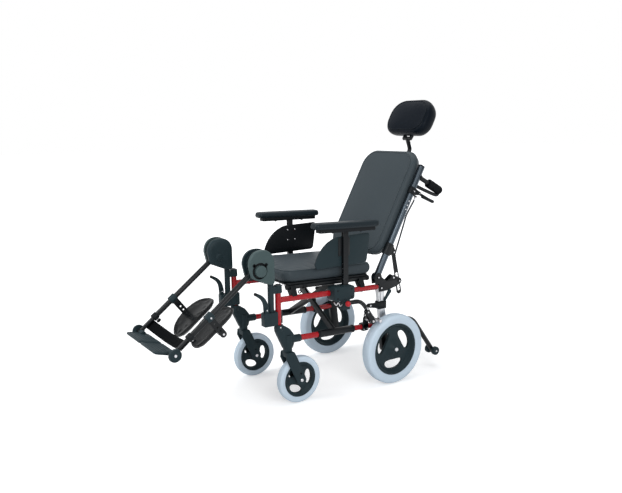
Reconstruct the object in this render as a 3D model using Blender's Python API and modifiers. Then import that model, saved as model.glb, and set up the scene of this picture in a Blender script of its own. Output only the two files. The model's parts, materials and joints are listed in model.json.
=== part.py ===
"""Reclining wheelchair with elevating legrests.

Metres, +Z up, the chair faces -Y and its left side is +X. Sizes are measured from the rear axle line,
which stands AXLE_Y behind the middle of the chair's footprint.
"""
import math

import bmesh
import bpy
from mathutils import Matrix, Vector

# Overall layout
AXLE_Y = 0.3405
SLOPE = 0.0367
SEAT_GAP = 0.0003
ROUND_GAP = 0.0006
PIN_HEAD = 0.002
PIN_SIDES = 8
ROUND_SIDES = 10
RAIL_SIDES = 12
PIN_LIMIT_R = 0.005

# Side frames
FRAME_X = 0.190
TUBE_R = 0.012
UPRIGHT_Y = -0.556
UPRIGHT_BOTTOM = 0.335
UPRIGHT_TOP = 0.482
TOP_RAIL_Z = 0.452
LOWER_RAIL_Z = 0.277
LOWER_RAIL_Y = UPRIGHT_Y + 0.086
RAIL_WELD = 0.004

# Axle posts and rear wheels
POST_WIDTH = 0.020
POST_DEPTH = 0.034
POST_TOP_Y = -0.031
POST_TOP_Z = 0.440
POST_BOTTOM_Z = 0.130
AXLE_R = 0.006
AXLE_CAP_R = 0.010
AXLE_CAP_THICK = 0.006
WHEEL_X = 0.249
WHEEL_R = 0.1575
WHEEL_RIM_R = 0.117
WHEEL_TYRE_WIDTH = 0.055
WHEEL_RIM_WIDTH = 0.046
WHEEL_HUB_R = 0.026
WHEEL_HUB_WIDTH = 0.050
WHEEL_WEB = 0.010
WHEEL_STEPS = 24
LENS_COUNT = 3
LENS_INNER_R = 0.036
LENS_OUTER_R = 0.096
LENS_HALF_ANGLE = 46.0
LENS_FIRST_ANGLE = 30.0
RIM_LIP = 0.010
RIM_DISH = 0.004

# Castors
SWIVEL_Y = UPRIGHT_Y + 0.041
CASTOR_TRAIL = 0.052
CASTOR_R = 0.100
CASTOR_RIM_R = 0.075
CASTOR_TYRE_WIDTH = 0.036
CASTOR_RIM_WIDTH = 0.030
CASTOR_HUB_R = 0.016
CASTOR_HUB_WIDTH = 0.041
CASTOR_STEPS = 16
CASTOR_LEAVES = 5
CASTOR_LEAF_INNER_R = 0.027
CASTOR_LEAF_OUTER_R = 0.062
CASTOR_LEAF_HALF_ANGLE = 24.0
CASTOR_LEAF_FIRST_ANGLE = 18.0
CASTOR_WEB = 0.008
CASTOR_PIN_R = 0.004
FORK_INNER = 0.021
FORK_BLADE = 0.006
FORK_CROWN_LOW = 0.206
FORK_CROWN_TOP = 0.229
FORK_CROWN_HALF = 0.020
FORK_EYE_R = 0.015
FORK_FLARE = 0.006
STEM_R = 0.006
STEM_TOP = 0.290

# Front leg castings
CASTING_HEAD_R = 0.019
CASTING_HEAD_TOP = 0.300
CASTING_SOCKET_R = 0.018
CASTING_SOCKET_TOP = 0.350
CASTING_WEB = 0.024
CASTING_LIP = 0.012
CASTING_STEP = 0.006
CASTING_NECK = 0.030

# Seat rails and cross brace
SEAT_RAIL_X = 0.170
SEAT_RAIL_R = 0.011
SEAT_RAIL_Z = 0.493
SEAT_RAIL_FRONT = -0.505
SEAT_RAIL_REAR = -0.080
SLEEVE_R = 0.0155
SLEEVE_FRONT = -0.366
SLEEVE_REAR = -0.178
ARM_WIDTH = 0.028
ARM_THICK = 0.012
ARM_SPACE = 0.001
BRACE_Y = -0.272
BRACE_TOP_X = 0.163
BRACE_BOLT_R = 0.005
BRACE_HEAD_R = 0.010
BRACE_HEAD_THICK = 0.006
SADDLE_FRONT_Y = -0.480
SADDLE_REAR_Y = -0.130
SADDLE_LENGTH = 0.024
SADDLE_WALL = 0.004
SADDLE_CRADLE = 0.006

# Seat
BOARD_HALF_X = 0.182
BOARD_THICK = 0.007
BOARD_FRONT = -0.512
BOARD_REAR = -0.083
CUSHION_HALF_X = 0.186
CUSHION_FRONT = -0.522
CUSHION_REAR = -0.078
CUSHION_SIDE_HEIGHT = 0.046
CUSHION_CROWN_HEIGHT = 0.066
CUSHION_CORNER = 0.045
CUSHION_DRAW_IN = 0.012
BOARD_CORNER = 0.020

# Armrests
ARM_POST_X = 0.2165
ARM_POST_Y = -0.240
ARM_POST_WIDTH = 0.015
ARM_POST_DEPTH = 0.025
ARM_POST_BOTTOM = 0.370
RECEIVER_FRONT = -0.305
RECEIVER_REAR = -0.200
RECEIVER_BOTTOM = 0.412
RECEIVER_TOP = 0.472
RECEIVER_WALL = 0.004
RECEIVER_OUTER_WALL = 0.009
SOCKET_WALL = 0.005
SOCKET_BOTTOM = 0.368
ARM_PAD_X = 0.228
ARM_PAD_HALF_X = 0.026
ARM_PAD_FRONT = -0.414
ARM_PAD_REAR = -0.068
ARM_PAD_SIDE_HEIGHT = 0.030
ARM_PAD_CROWN_HEIGHT = 0.050
ARM_PAD_FRONT_Z = 0.712
ARM_PAD_CORNER = 0.022
ARM_PAD_DRAW_IN = 0.006
PANEL_THICK = 0.005
PANEL_TOP_FRONT = (-0.274, 0.683)
PANEL_NOSE = (-0.387, 0.577)
PANEL_HEEL = (-0.380, 0.557)
PANEL_REAR_LOW = (-0.118, 0.557)
PANEL_REAR_TOP = (-0.099, 0.686)
PANEL_ARC_SAG = 0.022

# Back
BACK_Y = -0.0465
BACK_Z = 0.478
BACK_RECLINE = 28.5
BACK_TUBE_HALF_X = 0.010
BACK_TUBE_HALF_B = 0.013
BACK_TUBE_LOW = -0.012
BACK_TUBE_TOP = 0.540
BACK_GROOVE_DEPTH = 0.002
BACK_GROOVE_HALF = 0.003
PIVOT_R = 0.005
BRACKET_THICK = 0.004
BRACKET_EDGE = 0.016
BRACKET_TOWER_R = 0.0195
BRACKET_BUMP_Z = 0.475
BRACKET_NOTCH_Z = 0.458
BRACKET_HEAD_R = 0.008
BRACKET_HEAD_THICK = 0.003
BRACKET_LIP = 0.003
BRACKET_SKIRT = 0.006
BRACKET_BUMP_REAR = 0.026
BRACKET_BUMP_FRONT = 0.042
BRACKET_NOTCH_REAR = 0.058
BRACKET_NOTCH_FRONT = 0.084
POST_BOLT_R = 0.004
POST_BOLT_Z = 0.428
LOCK_PIN_Y = 0.075
LOCK_PIN_Z = 0.447
LOCK_PIN_R = 0.004
STRUT_A = 0.135
STRUT_B = 0.0345
STRUT_THICK = 0.005
STRUT_HALF = 0.0125
STRUT_LENGTH = 0.200
STRUT_SLOT_START = 0.098
STRUT_SLOT_END = 0.185
STRUT_SLOT_HALF = 0.0065
STRUT_TEETH = 8
STRUT_TOOTH_DEPTH = 0.003
STRUT_TOOTH_LEAN = 0.75
STRUT_PIN_R = 0.004
LUG_THICK = 0.005
LUG_R = 0.010
COLLAR_LOW = 0.108
COLLAR_HIGH = 0.162
COLLAR_WALL = 0.003
CROSSBAR_LOW_A = 0.180
CROSSBAR_HIGH_A = 0.415
CROSSBAR_HALF = 0.015
CROSSBAR_FRONT_B = 0.0053
CROSSBAR_THICK = 0.0052
BACK_PAD_HALF_X = 0.165
BACK_PAD_LOW = 0.100
BACK_PAD_TOP = 0.590
BACK_PAD_REAR_B = 0.005
BACK_PAD_SIDE_DEPTH = 0.038
BACK_PAD_CROWN_DEPTH = 0.055
BACK_PAD_DRAW_IN = 0.010
BACK_PAD_CORNER = 0.055

# Push handles, recline levers and release cables
HANDLE_A = 0.493
HANDLE_CORE_R = 0.0105
HANDLE_END_B = 0.162
HANDLE_ARM_A = 0.447
HANDLE_ARM_R = 0.0055
GRIP_START_B = 0.048
GRIP_END_B = 0.150
GRIP_R = 0.016
GRIP_RIBS = 3
GRIP_RIB_DEPTH = 0.0015
LEVER_PIVOT_A = 0.428
LEVER_PIVOT_B = 0.045
LEVER_PIN_R = 0.003
LEVER_TIP_B = 0.141
LEVER_TIP_A = 0.437
LEVER_THICK = 0.006
LEVER_HALF = 0.005
PERCH_LOW = 0.405
PERCH_HIGH = 0.437
PERCH_EAR = 0.004
FERRULE_R = 0.0045
CABLE_R = 0.0025
CABLE_RESOLUTION = 1
CABLE_POINTS = 18
CABLE_END_GAP = 0.0008

# Headrest
BAR_HALF_X = 0.0125
BAR_B = 0.052
BAR_THICK = 0.006
BAR_LOW = 0.370
BAR_BEND = 0.650
CLAMP_HALF_X = 0.022
CLAMP_HALF_A = 0.020
CLAMP_WALL = 0.007
TILT_A = 0.688
TILT_B = 0.015
TILT_R = 0.009
TILT_PIN_R = 0.004
HEADREST_A = 0.783
HEADREST_HALF_A = 0.082
HEADREST_HALF_X = 0.130
HEADREST_REAR_B = 0.030
HEADREST_CROWN_DEPTH = 0.082
HEADREST_CORNER = 0.060
HEADREST_SIDE_DEPTH = 0.050
HEADREST_DRAW_IN = 0.012
BARREL_HALF_X = 0.020
EAR_THICK = 0.006

# Legrest hangers
HANGER_X = 0.189
HANGER_Y = UPRIGHT_Y - 0.033
HANGER_R = 0.0125
HANGER_BOTTOM = 0.358
KNEE_Y = UPRIGHT_Y - 0.061
KNEE_Z = 0.612
HANGER_TOP = KNEE_Z - 0.072
LEG_DROP = 38.0
KNEE_PIN_R = 0.006
KNEE_DISC_R = 0.036
CHEEK_INNER_X = 0.143
CHEEK_X = 0.163
COVER_X = 0.1922
COVER_OUTER_X = 0.2095
HOUSING_FRONT = -0.080
HOUSING_REAR = 0.038
HOUSING_LOW = -0.105
HOUSING_TOP = 0.034
KNOB_Y = KNEE_Y - 0.017
KNOB_Z = KNEE_Z - 0.052
KNOB_RECESS_R = 0.029
KNOB_R = 0.019
KNOB_RECESS_DEPTH = 0.007
CAP_R = 0.017
CAP_TOP = 0.515
CAP_PIN_R = 0.006
CAP_PIN_DEPTH = 0.028
LATCH_FRONT = UPRIGHT_Y - 0.072
LATCH_REAR = UPRIGHT_Y + 0.020
LATCH_BOTTOM = 0.3525
LATCH_TOP = 0.408
LATCH_HALF_X = 0.019
LATCH_CORNER = 0.008
WEB_ROOM = 0.008
SWING_EYE_R = 0.008
SWING_PIVOT_Y = UPRIGHT_Y - 0.060
SWING_PIVOT_Z = 0.421
SWING_TIP_Y = UPRIGHT_Y - 0.107
SWING_TIP_Z = 0.492
SWING_X = 0.197
SWING_THICK = 0.007
SWING_PIN_R = 0.003
SWING_EAR = 0.005

# Elevating legs, calf pads and footplates
LEG_X = 0.176
LEG_R = 0.0115
LEG_END = 0.416
LEG_BORE_TOP = 0.280
FOOT_R = 0.009
FOOT_TOP = 0.300
FOOT_HINGE = 0.491
CALF_AT = 0.300
CALF_COLLAR_HALF = 0.016
CALF_COLLAR_R = 0.0175
CALF_BAR_THICK = 0.004
CALF_BAR_HALF = 0.014
CALF_BAR_END = 0.118
CALF_HOLES = 3
CALF_HOLE_R = 0.004
CALF_HOLE_PITCH = 0.020
CALF_PIN_R = 0.004
CALF_PIN_REACH = 0.020
CALF_PIVOT = 0.104
CALF_BOSS_HALF = 0.010
CALF_BOSS_X = 0.120
CALF_PAD_X = 0.088
CALF_PAD_HALF_X = 0.066
CALF_PAD_HALF_Z = 0.108
CALF_PAD_THICK = 0.030
CALF_PAD_PERP = 0.086
CALF_PAD_WRAP_DEPTH = 0.022
CLAMP_COLLAR_R = 0.0155
CLAMP_COLLAR_LENGTH = 0.024
CLAMP_KNOB_R = 0.010
CLAMP_KNOB_REACH = 0.030
FOOT_EYE_R = 0.0115
FOOT_SHAFT_R = 0.007
FOOT_DISC_R = 0.026
FOOT_DISC_THICK = 0.012
FOOTPLATE_PITCH = 15.0
FOOTPLATE_INNER_X = 0.006
FOOTPLATE_OUTER_X = 0.160
FOOTPLATE_FORWARD = 0.066
FOOTPLATE_BEHIND = 0.028
FOOTPLATE_THICK = 0.009
FOOTPLATE_CORNER = 0.020
STRAP_HIGH = 0.418
STRAP_LOW = 0.462
STRAP_THICK = 0.0026
STRAP_SAG = 0.020
STRAP_MEET = 0.0002

# Brakes
BRAKE_Z = 0.303
BRAKE_PIVOT_GAP = 0.030
BRAKE_PIN_R = 0.004
BRAKE_HUB_R = 0.009
BRAKE_SHOE_R = 0.007
BRAKE_SHOE_GAP = 0.006
BRAKE_SHOE_LEAD = 7.4
BRAKE_SHOE_INSET = 0.004
BRAKE_ARM_INSET = 0.003
BRAKE_CLAMP_HALF = 0.016
BRAKE_CLAMP_WALL = 0.004
BRAKE_PLATE = 0.006
BRAKE_LEVER_X = 0.250
BRAKE_ROD_R = 0.005
BRAKE_KNEE_FORWARD = 0.018
BRAKE_KNEE_RISE = 0.063
BRAKE_BALL_FORWARD = 0.131
BRAKE_BALL_RISE = 0.097
BRAKE_BALL_R = 0.012

# Anti-tip tubes
ANTI_TIP_R = 0.011
ANTI_TIP_Z = 0.258
ANTI_TIP_BEND_Y = 0.165
ANTI_TIP_BEND_R = 0.040
ANTI_TIP_WHEEL_EDGE = 0.003
ANTI_TIP_WHEEL_Y = 0.300
ANTI_TIP_WHEEL_Z = 0.075
ANTI_TIP_WHEEL_R = 0.020
ANTI_TIP_WHEEL_WIDTH = 0.018
ANTI_TIP_PIN_R = 0.004
ANTI_TIP_SIDE_GAP = 0.002

# Colours with roughness and metallic values
FINISHES = {
    "red_paint": ((0.23, 0.012, 0.022, 1.0), 0.22, 0.0),
    "charcoal_plastic": ((0.036, 0.050, 0.056, 1.0), 0.55, 0.0),
    "grey_plastic": ((0.085, 0.105, 0.108, 1.0), 0.50, 0.0),
    "black_metal": ((0.012, 0.012, 0.014, 1.0), 0.40, 0.3),
    "black_plastic": ((0.014, 0.015, 0.017, 1.0), 0.50, 0.0),
    "blue_grey_metal": ((0.20, 0.24, 0.29, 1.0), 0.38, 1.0),
    "pale_rubber": ((0.47, 0.58, 0.66, 1.0), 0.75, 0.0),
    "grey_vinyl": ((0.052, 0.056, 0.063, 1.0), 0.50, 0.0),
    "navy_vinyl": ((0.020, 0.023, 0.033, 1.0), 0.55, 0.0),
    "black_webbing": ((0.010, 0.010, 0.011, 1.0), 0.85, 0.0),
}

# Scene setup
for leftover in list(bpy.data.objects):
    bpy.data.objects.remove(leftover, do_unlink=True)
PARTS = bpy.data.collections.new("reclining_wheelchair")
CUTTERS = bpy.data.collections.new("cutters")
bpy.context.scene.collection.children.link(PARTS)
bpy.context.scene.collection.children.link(CUTTERS)


def guide(name, location, parent=None, turn=0.0):
    """An empty on a joint line, turned about X in degrees."""
    empty = bpy.data.objects.new(name, None)
    PARTS.objects.link(empty)
    empty.parent = parent
    empty.location = location
    empty.rotation_euler = (math.radians(turn), 0.0, 0.0)
    return empty


ROOT = guide("rear_axle_line", (0.0, AXLE_Y, 0.0))
BACK = guide("back_pivot_line", (0.0, BACK_Y, BACK_Z), ROOT, -BACK_RECLINE)
KNEE = guide("knee_line", (0.0, KNEE_Y, KNEE_Z), ROOT, LEG_DROP - 90.0)


# Mesh helpers
def mesh_object(mesh):
    obj = bpy.data.objects.new(mesh.name, mesh)
    CUTTERS.objects.link(obj)
    return obj


def from_bmesh(bm):
    bmesh.ops.recalc_face_normals(bm, faces=bm.faces)
    mesh = bpy.data.meshes.new("piece")
    bm.to_mesh(mesh)
    bm.free()
    return mesh_object(mesh)


def settled(obj):
    """Turn an object with its modifiers, or a curve, into a plain welded mesh object."""
    depsgraph = bpy.context.evaluated_depsgraph_get()
    mesh = bpy.data.meshes.new_from_object(obj.evaluated_get(depsgraph))
    bm = bmesh.new()
    bm.from_mesh(mesh)
    bmesh.ops.remove_doubles(bm, verts=bm.verts, dist=0.000005)
    bmesh.ops.dissolve_degenerate(bm, edges=bm.edges, dist=0.000002)
    bpy.data.objects.remove(obj, do_unlink=True)
    bpy.data.meshes.remove(mesh)
    return from_bmesh(bm)


def combine(target, tools, operation):
    for tool in tools:
        tool.hide_render = True
        tool.display_type = "WIRE"
        modifier = target.modifiers.new(operation.lower(), "BOOLEAN")
        modifier.operation = operation
        modifier.object = tool
    result = settled(target)
    for tool in tools:
        bpy.data.objects.remove(tool, do_unlink=True)
    return result


def fused(first, *others):
    return combine(first, others, "UNION")


def cut(first, *others):
    return combine(first, others, "DIFFERENCE")


def box(low, high):
    low, high = Vector(low), Vector(high)
    bm = bmesh.new()
    size = Matrix.Diagonal((*(high - low), 1.0))
    bmesh.ops.create_cube(bm, size=1.0, matrix=Matrix.Translation((low + high) / 2) @ size)
    return from_bmesh(bm)


def rod(start, end, radius, sides=None, end_radius=None):
    """A straight rod between two points, with fewer facets on a thin pin."""
    start, end = Vector(start), Vector(end)
    if sides is None:
        sides = PIN_SIDES if radius < PIN_LIMIT_R else ROUND_SIDES
    turn = (end - start).to_track_quat("Z", "Y").to_matrix().to_4x4()
    bm = bmesh.new()
    bmesh.ops.create_cone(
        bm,
        cap_ends=True,
        segments=sides,
        radius1=radius,
        radius2=radius if end_radius is None else end_radius,
        depth=(end - start).length,
        matrix=Matrix.Translation((start + end) / 2) @ turn,
    )
    return from_bmesh(bm)


def ball(centre, radius, around=10, rings=6):
    bm = bmesh.new()
    bmesh.ops.create_uvsphere(
        bm, u_segments=around, v_segments=rings, radius=radius, matrix=Matrix.Translation(centre)
    )
    return from_bmesh(bm)


def tube(points, radius, resolution=4):
    """A bent tube along a smooth line of points, with closed ends."""
    curve = bpy.data.curves.new("tube", "CURVE")
    curve.dimensions = "3D"
    curve.bevel_depth = radius
    curve.bevel_resolution = resolution
    curve.use_fill_caps = True
    spline = curve.splines.new("POLY")
    spline.points.add(len(points) - 1)
    for point, place in zip(spline.points, points):
        point.co = (*place, 1.0)
    return settled(mesh_object(curve))


# Extrusion directions: the outline's two axes and its thickness become these world axes
ALONG_X = Matrix(((0, 0, 1, 0), (1, 0, 0, 0), (0, 1, 0, 0), (0, 0, 0, 1)))
ALONG_Y = Matrix(((1, 0, 0, 0), (0, 0, -1, 0), (0, 1, 0, 0), (0, 0, 0, 1)))
ALONG_Z = Matrix.Identity(4)


def extruded(outline, low, high, direction=ALONG_X, holes=()):
    """A flat outline with holes, as thick as low to high along the given direction."""
    curve = bpy.data.curves.new("outline", "CURVE")
    curve.dimensions = "2D"
    curve.fill_mode = "BOTH"
    curve.extrude = (high - low) / 2
    for loop in (outline, *holes):
        spline = curve.splines.new("POLY")
        spline.points.add(len(loop) - 1)
        spline.use_cyclic_u = True
        for point, place in zip(spline.points, loop):
            point.co = (place[0], place[1], 0.0, 1.0)
    obj = settled(mesh_object(curve))
    middle = (low + high) / 2
    if direction is ALONG_Y:
        middle = -middle
    obj.data.transform(direction @ Matrix.Translation((0.0, 0.0, middle)))
    return obj


def turned(profile, steps, centre):
    """A closed profile of (x, radius) points turned about the X line through the centre."""
    bm = bmesh.new()
    corners = [bm.verts.new((x, radius, 0.0)) for x, radius in profile]
    for first, second in zip(corners, corners[1:] + corners[:1]):
        bm.edges.new((first, second))
    mesh = bpy.data.meshes.new("profile")
    bm.to_mesh(mesh)
    bm.free()
    obj = mesh_object(mesh)
    screw = obj.modifiers.new("turn", "SCREW")
    screw.axis = "X"
    screw.steps = steps
    screw.render_steps = steps
    screw.use_merge_vertices = True
    screw.merge_threshold = 0.00001
    obj = settled(obj)
    half_step = Matrix.Rotation(math.pi / steps, 4, "X")
    obj.data.transform(Matrix.Translation(centre) @ half_step)
    return obj


def arc(centre, radius, start, stop, count):
    """Points on an arc, angles in degrees from the outline's first axis."""
    points = []
    for index in range(count):
        angle = math.radians(start + (stop - start) * index / (count - 1))
        points.append((centre[0] + radius * math.cos(angle), centre[1] + radius * math.sin(angle)))
    return points


def circle(centre, radius, sides=PIN_SIDES):
    return arc(centre, radius, 0.0, 360.0 - 360.0 / sides, sides)


def rounded_rectangle(low, high, radius, per_corner=4):
    corners = (
        ((high[0] - radius, high[1] - radius), 0.0),
        ((low[0] + radius, high[1] - radius), 90.0),
        ((low[0] + radius, low[1] + radius), 180.0),
        ((high[0] - radius, low[1] + radius), 270.0),
    )
    points = []
    for centre, start in corners:
        points += arc(centre, radius, start, start + 90.0, per_corner)
    return points


def capsule(start, stop, start_radius, stop_radius, per_end=6):
    """The outline of a flat link with a round end at each point."""
    start, stop = Vector(start), Vector(stop)
    heading = math.degrees(math.atan2(stop.y - start.y, stop.x - start.x))
    return [
        *arc(stop, stop_radius, heading - 90.0, heading + 90.0, per_end),
        *arc(start, start_radius, heading + 90.0, heading + 270.0, per_end),
    ]


def strip(points, thickness):
    """The outline of a bent strip whose middle runs through the points."""
    stops = [Vector(point) for point in points]
    left = []
    right = []
    for index, stop in enumerate(stops):
        before = stops[max(index - 1, 0)]
        after = stops[min(index + 1, len(stops) - 1)]
        into = (stop - before).normalized() if index > 0 else (after - stop).normalized()
        out = (after - stop).normalized() if index < len(stops) - 1 else into
        mean = (into + out).normalized()
        across = Vector((-mean.y, mean.x)) * thickness / 2 / max(mean.dot(into), 0.5)
        left.append(tuple(stop + across))
        right.append(tuple(stop - across))
    return left + right[::-1]


def smooth_line(points, count):
    """Evenly counted points on a smooth curve through the given ones."""
    stops = [Vector(point) for point in points]
    padded = [stops[0] * 2 - stops[1], *stops, stops[-1] * 2 - stops[-2]]
    spans = len(stops) - 1
    line = []
    for index in range(count):
        place = index * spans / (count - 1)
        span = min(int(place), spans - 1)
        t = place - span
        a, b, c, d = padded[span : span + 4]
        square = (2 * a - 5 * b + 4 * c - d) * t**2
        cube = (3 * b - a - 3 * c + d) * t**3
        line.append(0.5 * (2 * b + (c - a) * t + square + cube))
    return line


def loft(rings, tip):
    """A closed skin over rings of matching points, flat at the first ring and pointed at the tip."""
    bm = bmesh.new()
    loops = [[bm.verts.new(point) for point in ring] for ring in rings]
    count = len(loops[0])
    bm.faces.new(loops[0])
    for lower, upper in zip(loops, loops[1:]):
        for index in range(count):
            after = (index + 1) % count
            bm.faces.new((lower[index], lower[after], upper[after], upper[index]))
    top = bm.verts.new(tip)
    for index in range(count):
        bm.faces.new((loops[-1][index], loops[-1][(index + 1) % count], top))
    return from_bmesh(bm)


# Shares of a pad's half size and of its crown, from the outer top edge to the middle
CROWN_STEPS = ((0.97, 0.16), (0.86, 0.52), (0.66, 0.80), (0.36, 0.96))


def cushion(low, high, corner, side, crown, draw_in, per_corner=6):
    """A sewn pad on z 0: flat base, drawn-in foot, bulging sides, rolled edge and a crowned top."""
    middle = ((low[0] + high[0]) / 2, (low[1] + high[1]) / 2)
    outline = rounded_rectangle(low, high, corner, per_corner)

    def ring(share, height):
        return [
            (middle[0] + (x - middle[0]) * share, middle[1] + (y - middle[1]) * share, height)
            for x, y in outline
        ]

    half = (high[0] - low[0]) / 2
    foot = 1.0 - draw_in / half
    rings = [ring(foot, 0.0), ring((1.0 + foot) / 2, side * 0.22), ring(1.0, side * 0.55)]
    rings.append(ring(1.0 - 0.15 * draw_in / half, side * 0.85))
    for share, rise in CROWN_STEPS:
        rings.append(ring(share * (1.0 - 0.3 * draw_in / half), side + (crown - side) * rise))
    return loft(rings, (middle[0], middle[1], crown))


def mirrored(obj):
    bm = bmesh.new()
    bm.from_mesh(obj.data)
    bmesh.ops.scale(bm, vec=(-1.0, 1.0, 1.0), verts=bm.verts)
    bmesh.ops.reverse_faces(bm, faces=bm.faces)
    mesh = bpy.data.meshes.new("piece")
    bm.to_mesh(mesh)
    bm.free()
    return mesh_object(mesh)


MATERIALS = {}


def material(finish_name):
    if finish_name not in MATERIALS:
        colour, roughness, metallic = FINISHES[finish_name]
        made = bpy.data.materials.new(finish_name)
        made.use_nodes = True
        shader = made.node_tree.nodes["Principled BSDF"]
        shader.inputs["Base Color"].default_value = colour
        shader.inputs["Roughness"].default_value = roughness
        shader.inputs["Metallic"].default_value = metallic
        MATERIALS[finish_name] = made
    return MATERIALS[finish_name]


def finish(obj, name, finish_name, pivot=(0.0, 0.0, 0.0), parent=ROOT):
    """Name a sub-part, give it its finish and put its origin on its joint."""
    obj.name = name
    obj.data.name = name
    obj.data.transform(Matrix.Translation(-Vector(pivot)))
    obj.location = pivot
    obj.parent = parent
    obj.data.materials.append(material(finish_name))
    obj.data.shade_smooth()
    obj.data.set_sharp_from_angle(angle=math.radians(35.0))
    CUTTERS.objects.unlink(obj)
    PARTS.objects.link(obj)


def finish_pair(obj, name, finish_name, pivot=(0.0, 0.0, 0.0), parent=ROOT):
    twin = mirrored(obj)
    finish(obj, "left_" + name, finish_name, pivot, parent)
    finish(twin, "right_" + name, finish_name, (-pivot[0], pivot[1], pivot[2]), parent)


def top_rail_z(y):
    return TOP_RAIL_Z - SLOPE * (y - UPRIGHT_Y)


def lower_rail_z(y):
    return LOWER_RAIL_Z - SLOPE * (y - LOWER_RAIL_Y)


def seat_rail_z(y):
    return SEAT_RAIL_Z - SLOPE * (y - SEAT_RAIL_FRONT)


def post_y(z):
    return POST_TOP_Y * (z - POST_BOTTOM_Z) / (POST_TOP_Z - POST_BOTTOM_Z)


def rail_rod(x, height, start, stop, radius, sides=ROUND_SIDES):
    """A straight rod along one of the sloping rails."""
    return rod((x, start, height(start)), (x, stop, height(stop)), radius, sides)


# Rear wheels
def wheel_tyre(centre, radius, bore, width, steps):
    outer = radius / math.cos(math.pi / steps)
    half = width / 2
    crown = half * 0.55
    profile = [
        (-crown, outer),
        (crown, outer),
        (half * 0.9, outer - half * 0.25),
        (half, outer - half * 0.65),
        (half * 0.75, bore),
        (-half * 0.75, bore),
        (-half, outer - half * 0.65),
        (-half * 0.9, outer - half * 0.25),
    ]
    return turned(profile, steps, centre)


def wheel_rim(radius, width, hub_radius, hub_width, web, bore, steps):
    """A dished rim with its hub, on its own axle line at the origin."""
    ring = radius - RIM_LIP
    profile = [
        (-width / 2, radius),
        (width / 2, radius),
        (width / 2, ring),
        (web / 2, ring - RIM_DISH),
        (web / 2, hub_radius + RIM_DISH),
        (hub_width / 2, hub_radius),
        (hub_width / 2, bore),
        (-hub_width / 2, bore),
        (-hub_width / 2, hub_radius),
        (-web / 2, hub_radius + RIM_DISH),
        (-web / 2, ring - RIM_DISH),
        (-width / 2, ring),
    ]
    return turned(profile, steps, (0.0, 0.0, 0.0))


def lens_cutters(count, inner, outer, half_angle, thickness, first_angle, points=7):
    """Leaf-shaped cutters spread evenly round the wheel, pointed at both ends."""
    tools = []
    for index in range(count):
        turn = first_angle + 360.0 * index / count
        outline = arc((0.0, 0.0), outer, turn - half_angle, turn + half_angle, points)
        for step in range(1, points - 1):
            share = 1.0 - 2.0 * step / (points - 1)
            reach = inner + (outer - inner) * share**2
            angle = math.radians(turn + half_angle * share)
            outline.append((reach * math.cos(angle), reach * math.sin(angle)))
        tools.append(extruded(outline, -thickness, thickness))
    return tools


def rear_wheels():
    centre = (WHEEL_X, 0.0, WHEEL_R)
    tyre = wheel_tyre(centre, WHEEL_R, WHEEL_RIM_R + SEAT_GAP, WHEEL_TYRE_WIDTH, WHEEL_STEPS)
    finish_pair(tyre, "rear_tyre", "pale_rubber", centre)
    rim = wheel_rim(
        WHEEL_RIM_R, WHEEL_RIM_WIDTH, WHEEL_HUB_R, WHEEL_HUB_WIDTH, WHEEL_WEB, AXLE_R + ROUND_GAP, WHEEL_STEPS
    )
    lenses = lens_cutters(
        LENS_COUNT, LENS_INNER_R, LENS_OUTER_R, LENS_HALF_ANGLE, WHEEL_WEB, LENS_FIRST_ANGLE
    )
    rim = cut(rim, *lenses)
    rim.data.transform(Matrix.Translation(centre))
    finish_pair(rim, "rear_rim", "charcoal_plastic", centre)


# Castors
def castors():
    centre_y = SWIVEL_Y + CASTOR_TRAIL
    centre = (FRAME_X, centre_y, CASTOR_R)
    tyre = wheel_tyre(centre, CASTOR_R, CASTOR_RIM_R + SEAT_GAP, CASTOR_TYRE_WIDTH, CASTOR_STEPS)
    finish_pair(tyre, "castor_tyre", "pale_rubber", centre)
    rim = wheel_rim(
        CASTOR_RIM_R,
        CASTOR_RIM_WIDTH,
        CASTOR_HUB_R,
        CASTOR_HUB_WIDTH,
        CASTOR_WEB,
        CASTOR_PIN_R + ROUND_GAP,
        CASTOR_STEPS,
    )
    leaves = lens_cutters(
        CASTOR_LEAVES,
        CASTOR_LEAF_INNER_R,
        CASTOR_LEAF_OUTER_R,
        CASTOR_LEAF_HALF_ANGLE,
        CASTOR_WEB,
        CASTOR_LEAF_FIRST_ANGLE,
        5,
    )
    rim = cut(rim, *leaves)
    rim.data.transform(Matrix.Translation(centre))
    finish_pair(rim, "castor_rim", "charcoal_plastic", centre)
    swivel = (FRAME_X, SWIVEL_Y, FORK_CROWN_TOP)
    finish_pair(castor_fork(centre_y), "castor_fork", "charcoal_plastic", swivel)


def castor_fork(centre_y):
    front = SWIVEL_Y - FORK_CROWN_HALF
    rear = SWIVEL_Y + FORK_CROWN_HALF
    outline = [(front, FORK_CROWN_LOW), (front, FORK_CROWN_TOP), (rear, FORK_CROWN_TOP)]
    outline.append((rear + FORK_FLARE, FORK_CROWN_LOW))
    outline += arc((centre_y, CASTOR_R), FORK_EYE_R, 25.0, -155.0, 7)
    outer = FORK_INNER + FORK_BLADE
    blades = [
        extruded(outline, FRAME_X + FORK_INNER, FRAME_X + outer),
        extruded(outline, FRAME_X - outer, FRAME_X - FORK_INNER),
    ]
    half = FORK_INNER + FORK_BLADE / 3
    crown = box((FRAME_X - half, front, FORK_CROWN_LOW), (FRAME_X + half, rear, FORK_CROWN_TOP))
    stem = rod((FRAME_X, SWIVEL_Y, FORK_CROWN_TOP - STEM_R), (FRAME_X, SWIVEL_Y, STEM_TOP), STEM_R)
    reach = outer + PIN_HEAD
    pin = rod((FRAME_X - reach, centre_y, CASTOR_R), (FRAME_X + reach, centre_y, CASTOR_R), CASTOR_PIN_R)
    return fused(crown, *blades, stem, pin)


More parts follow.
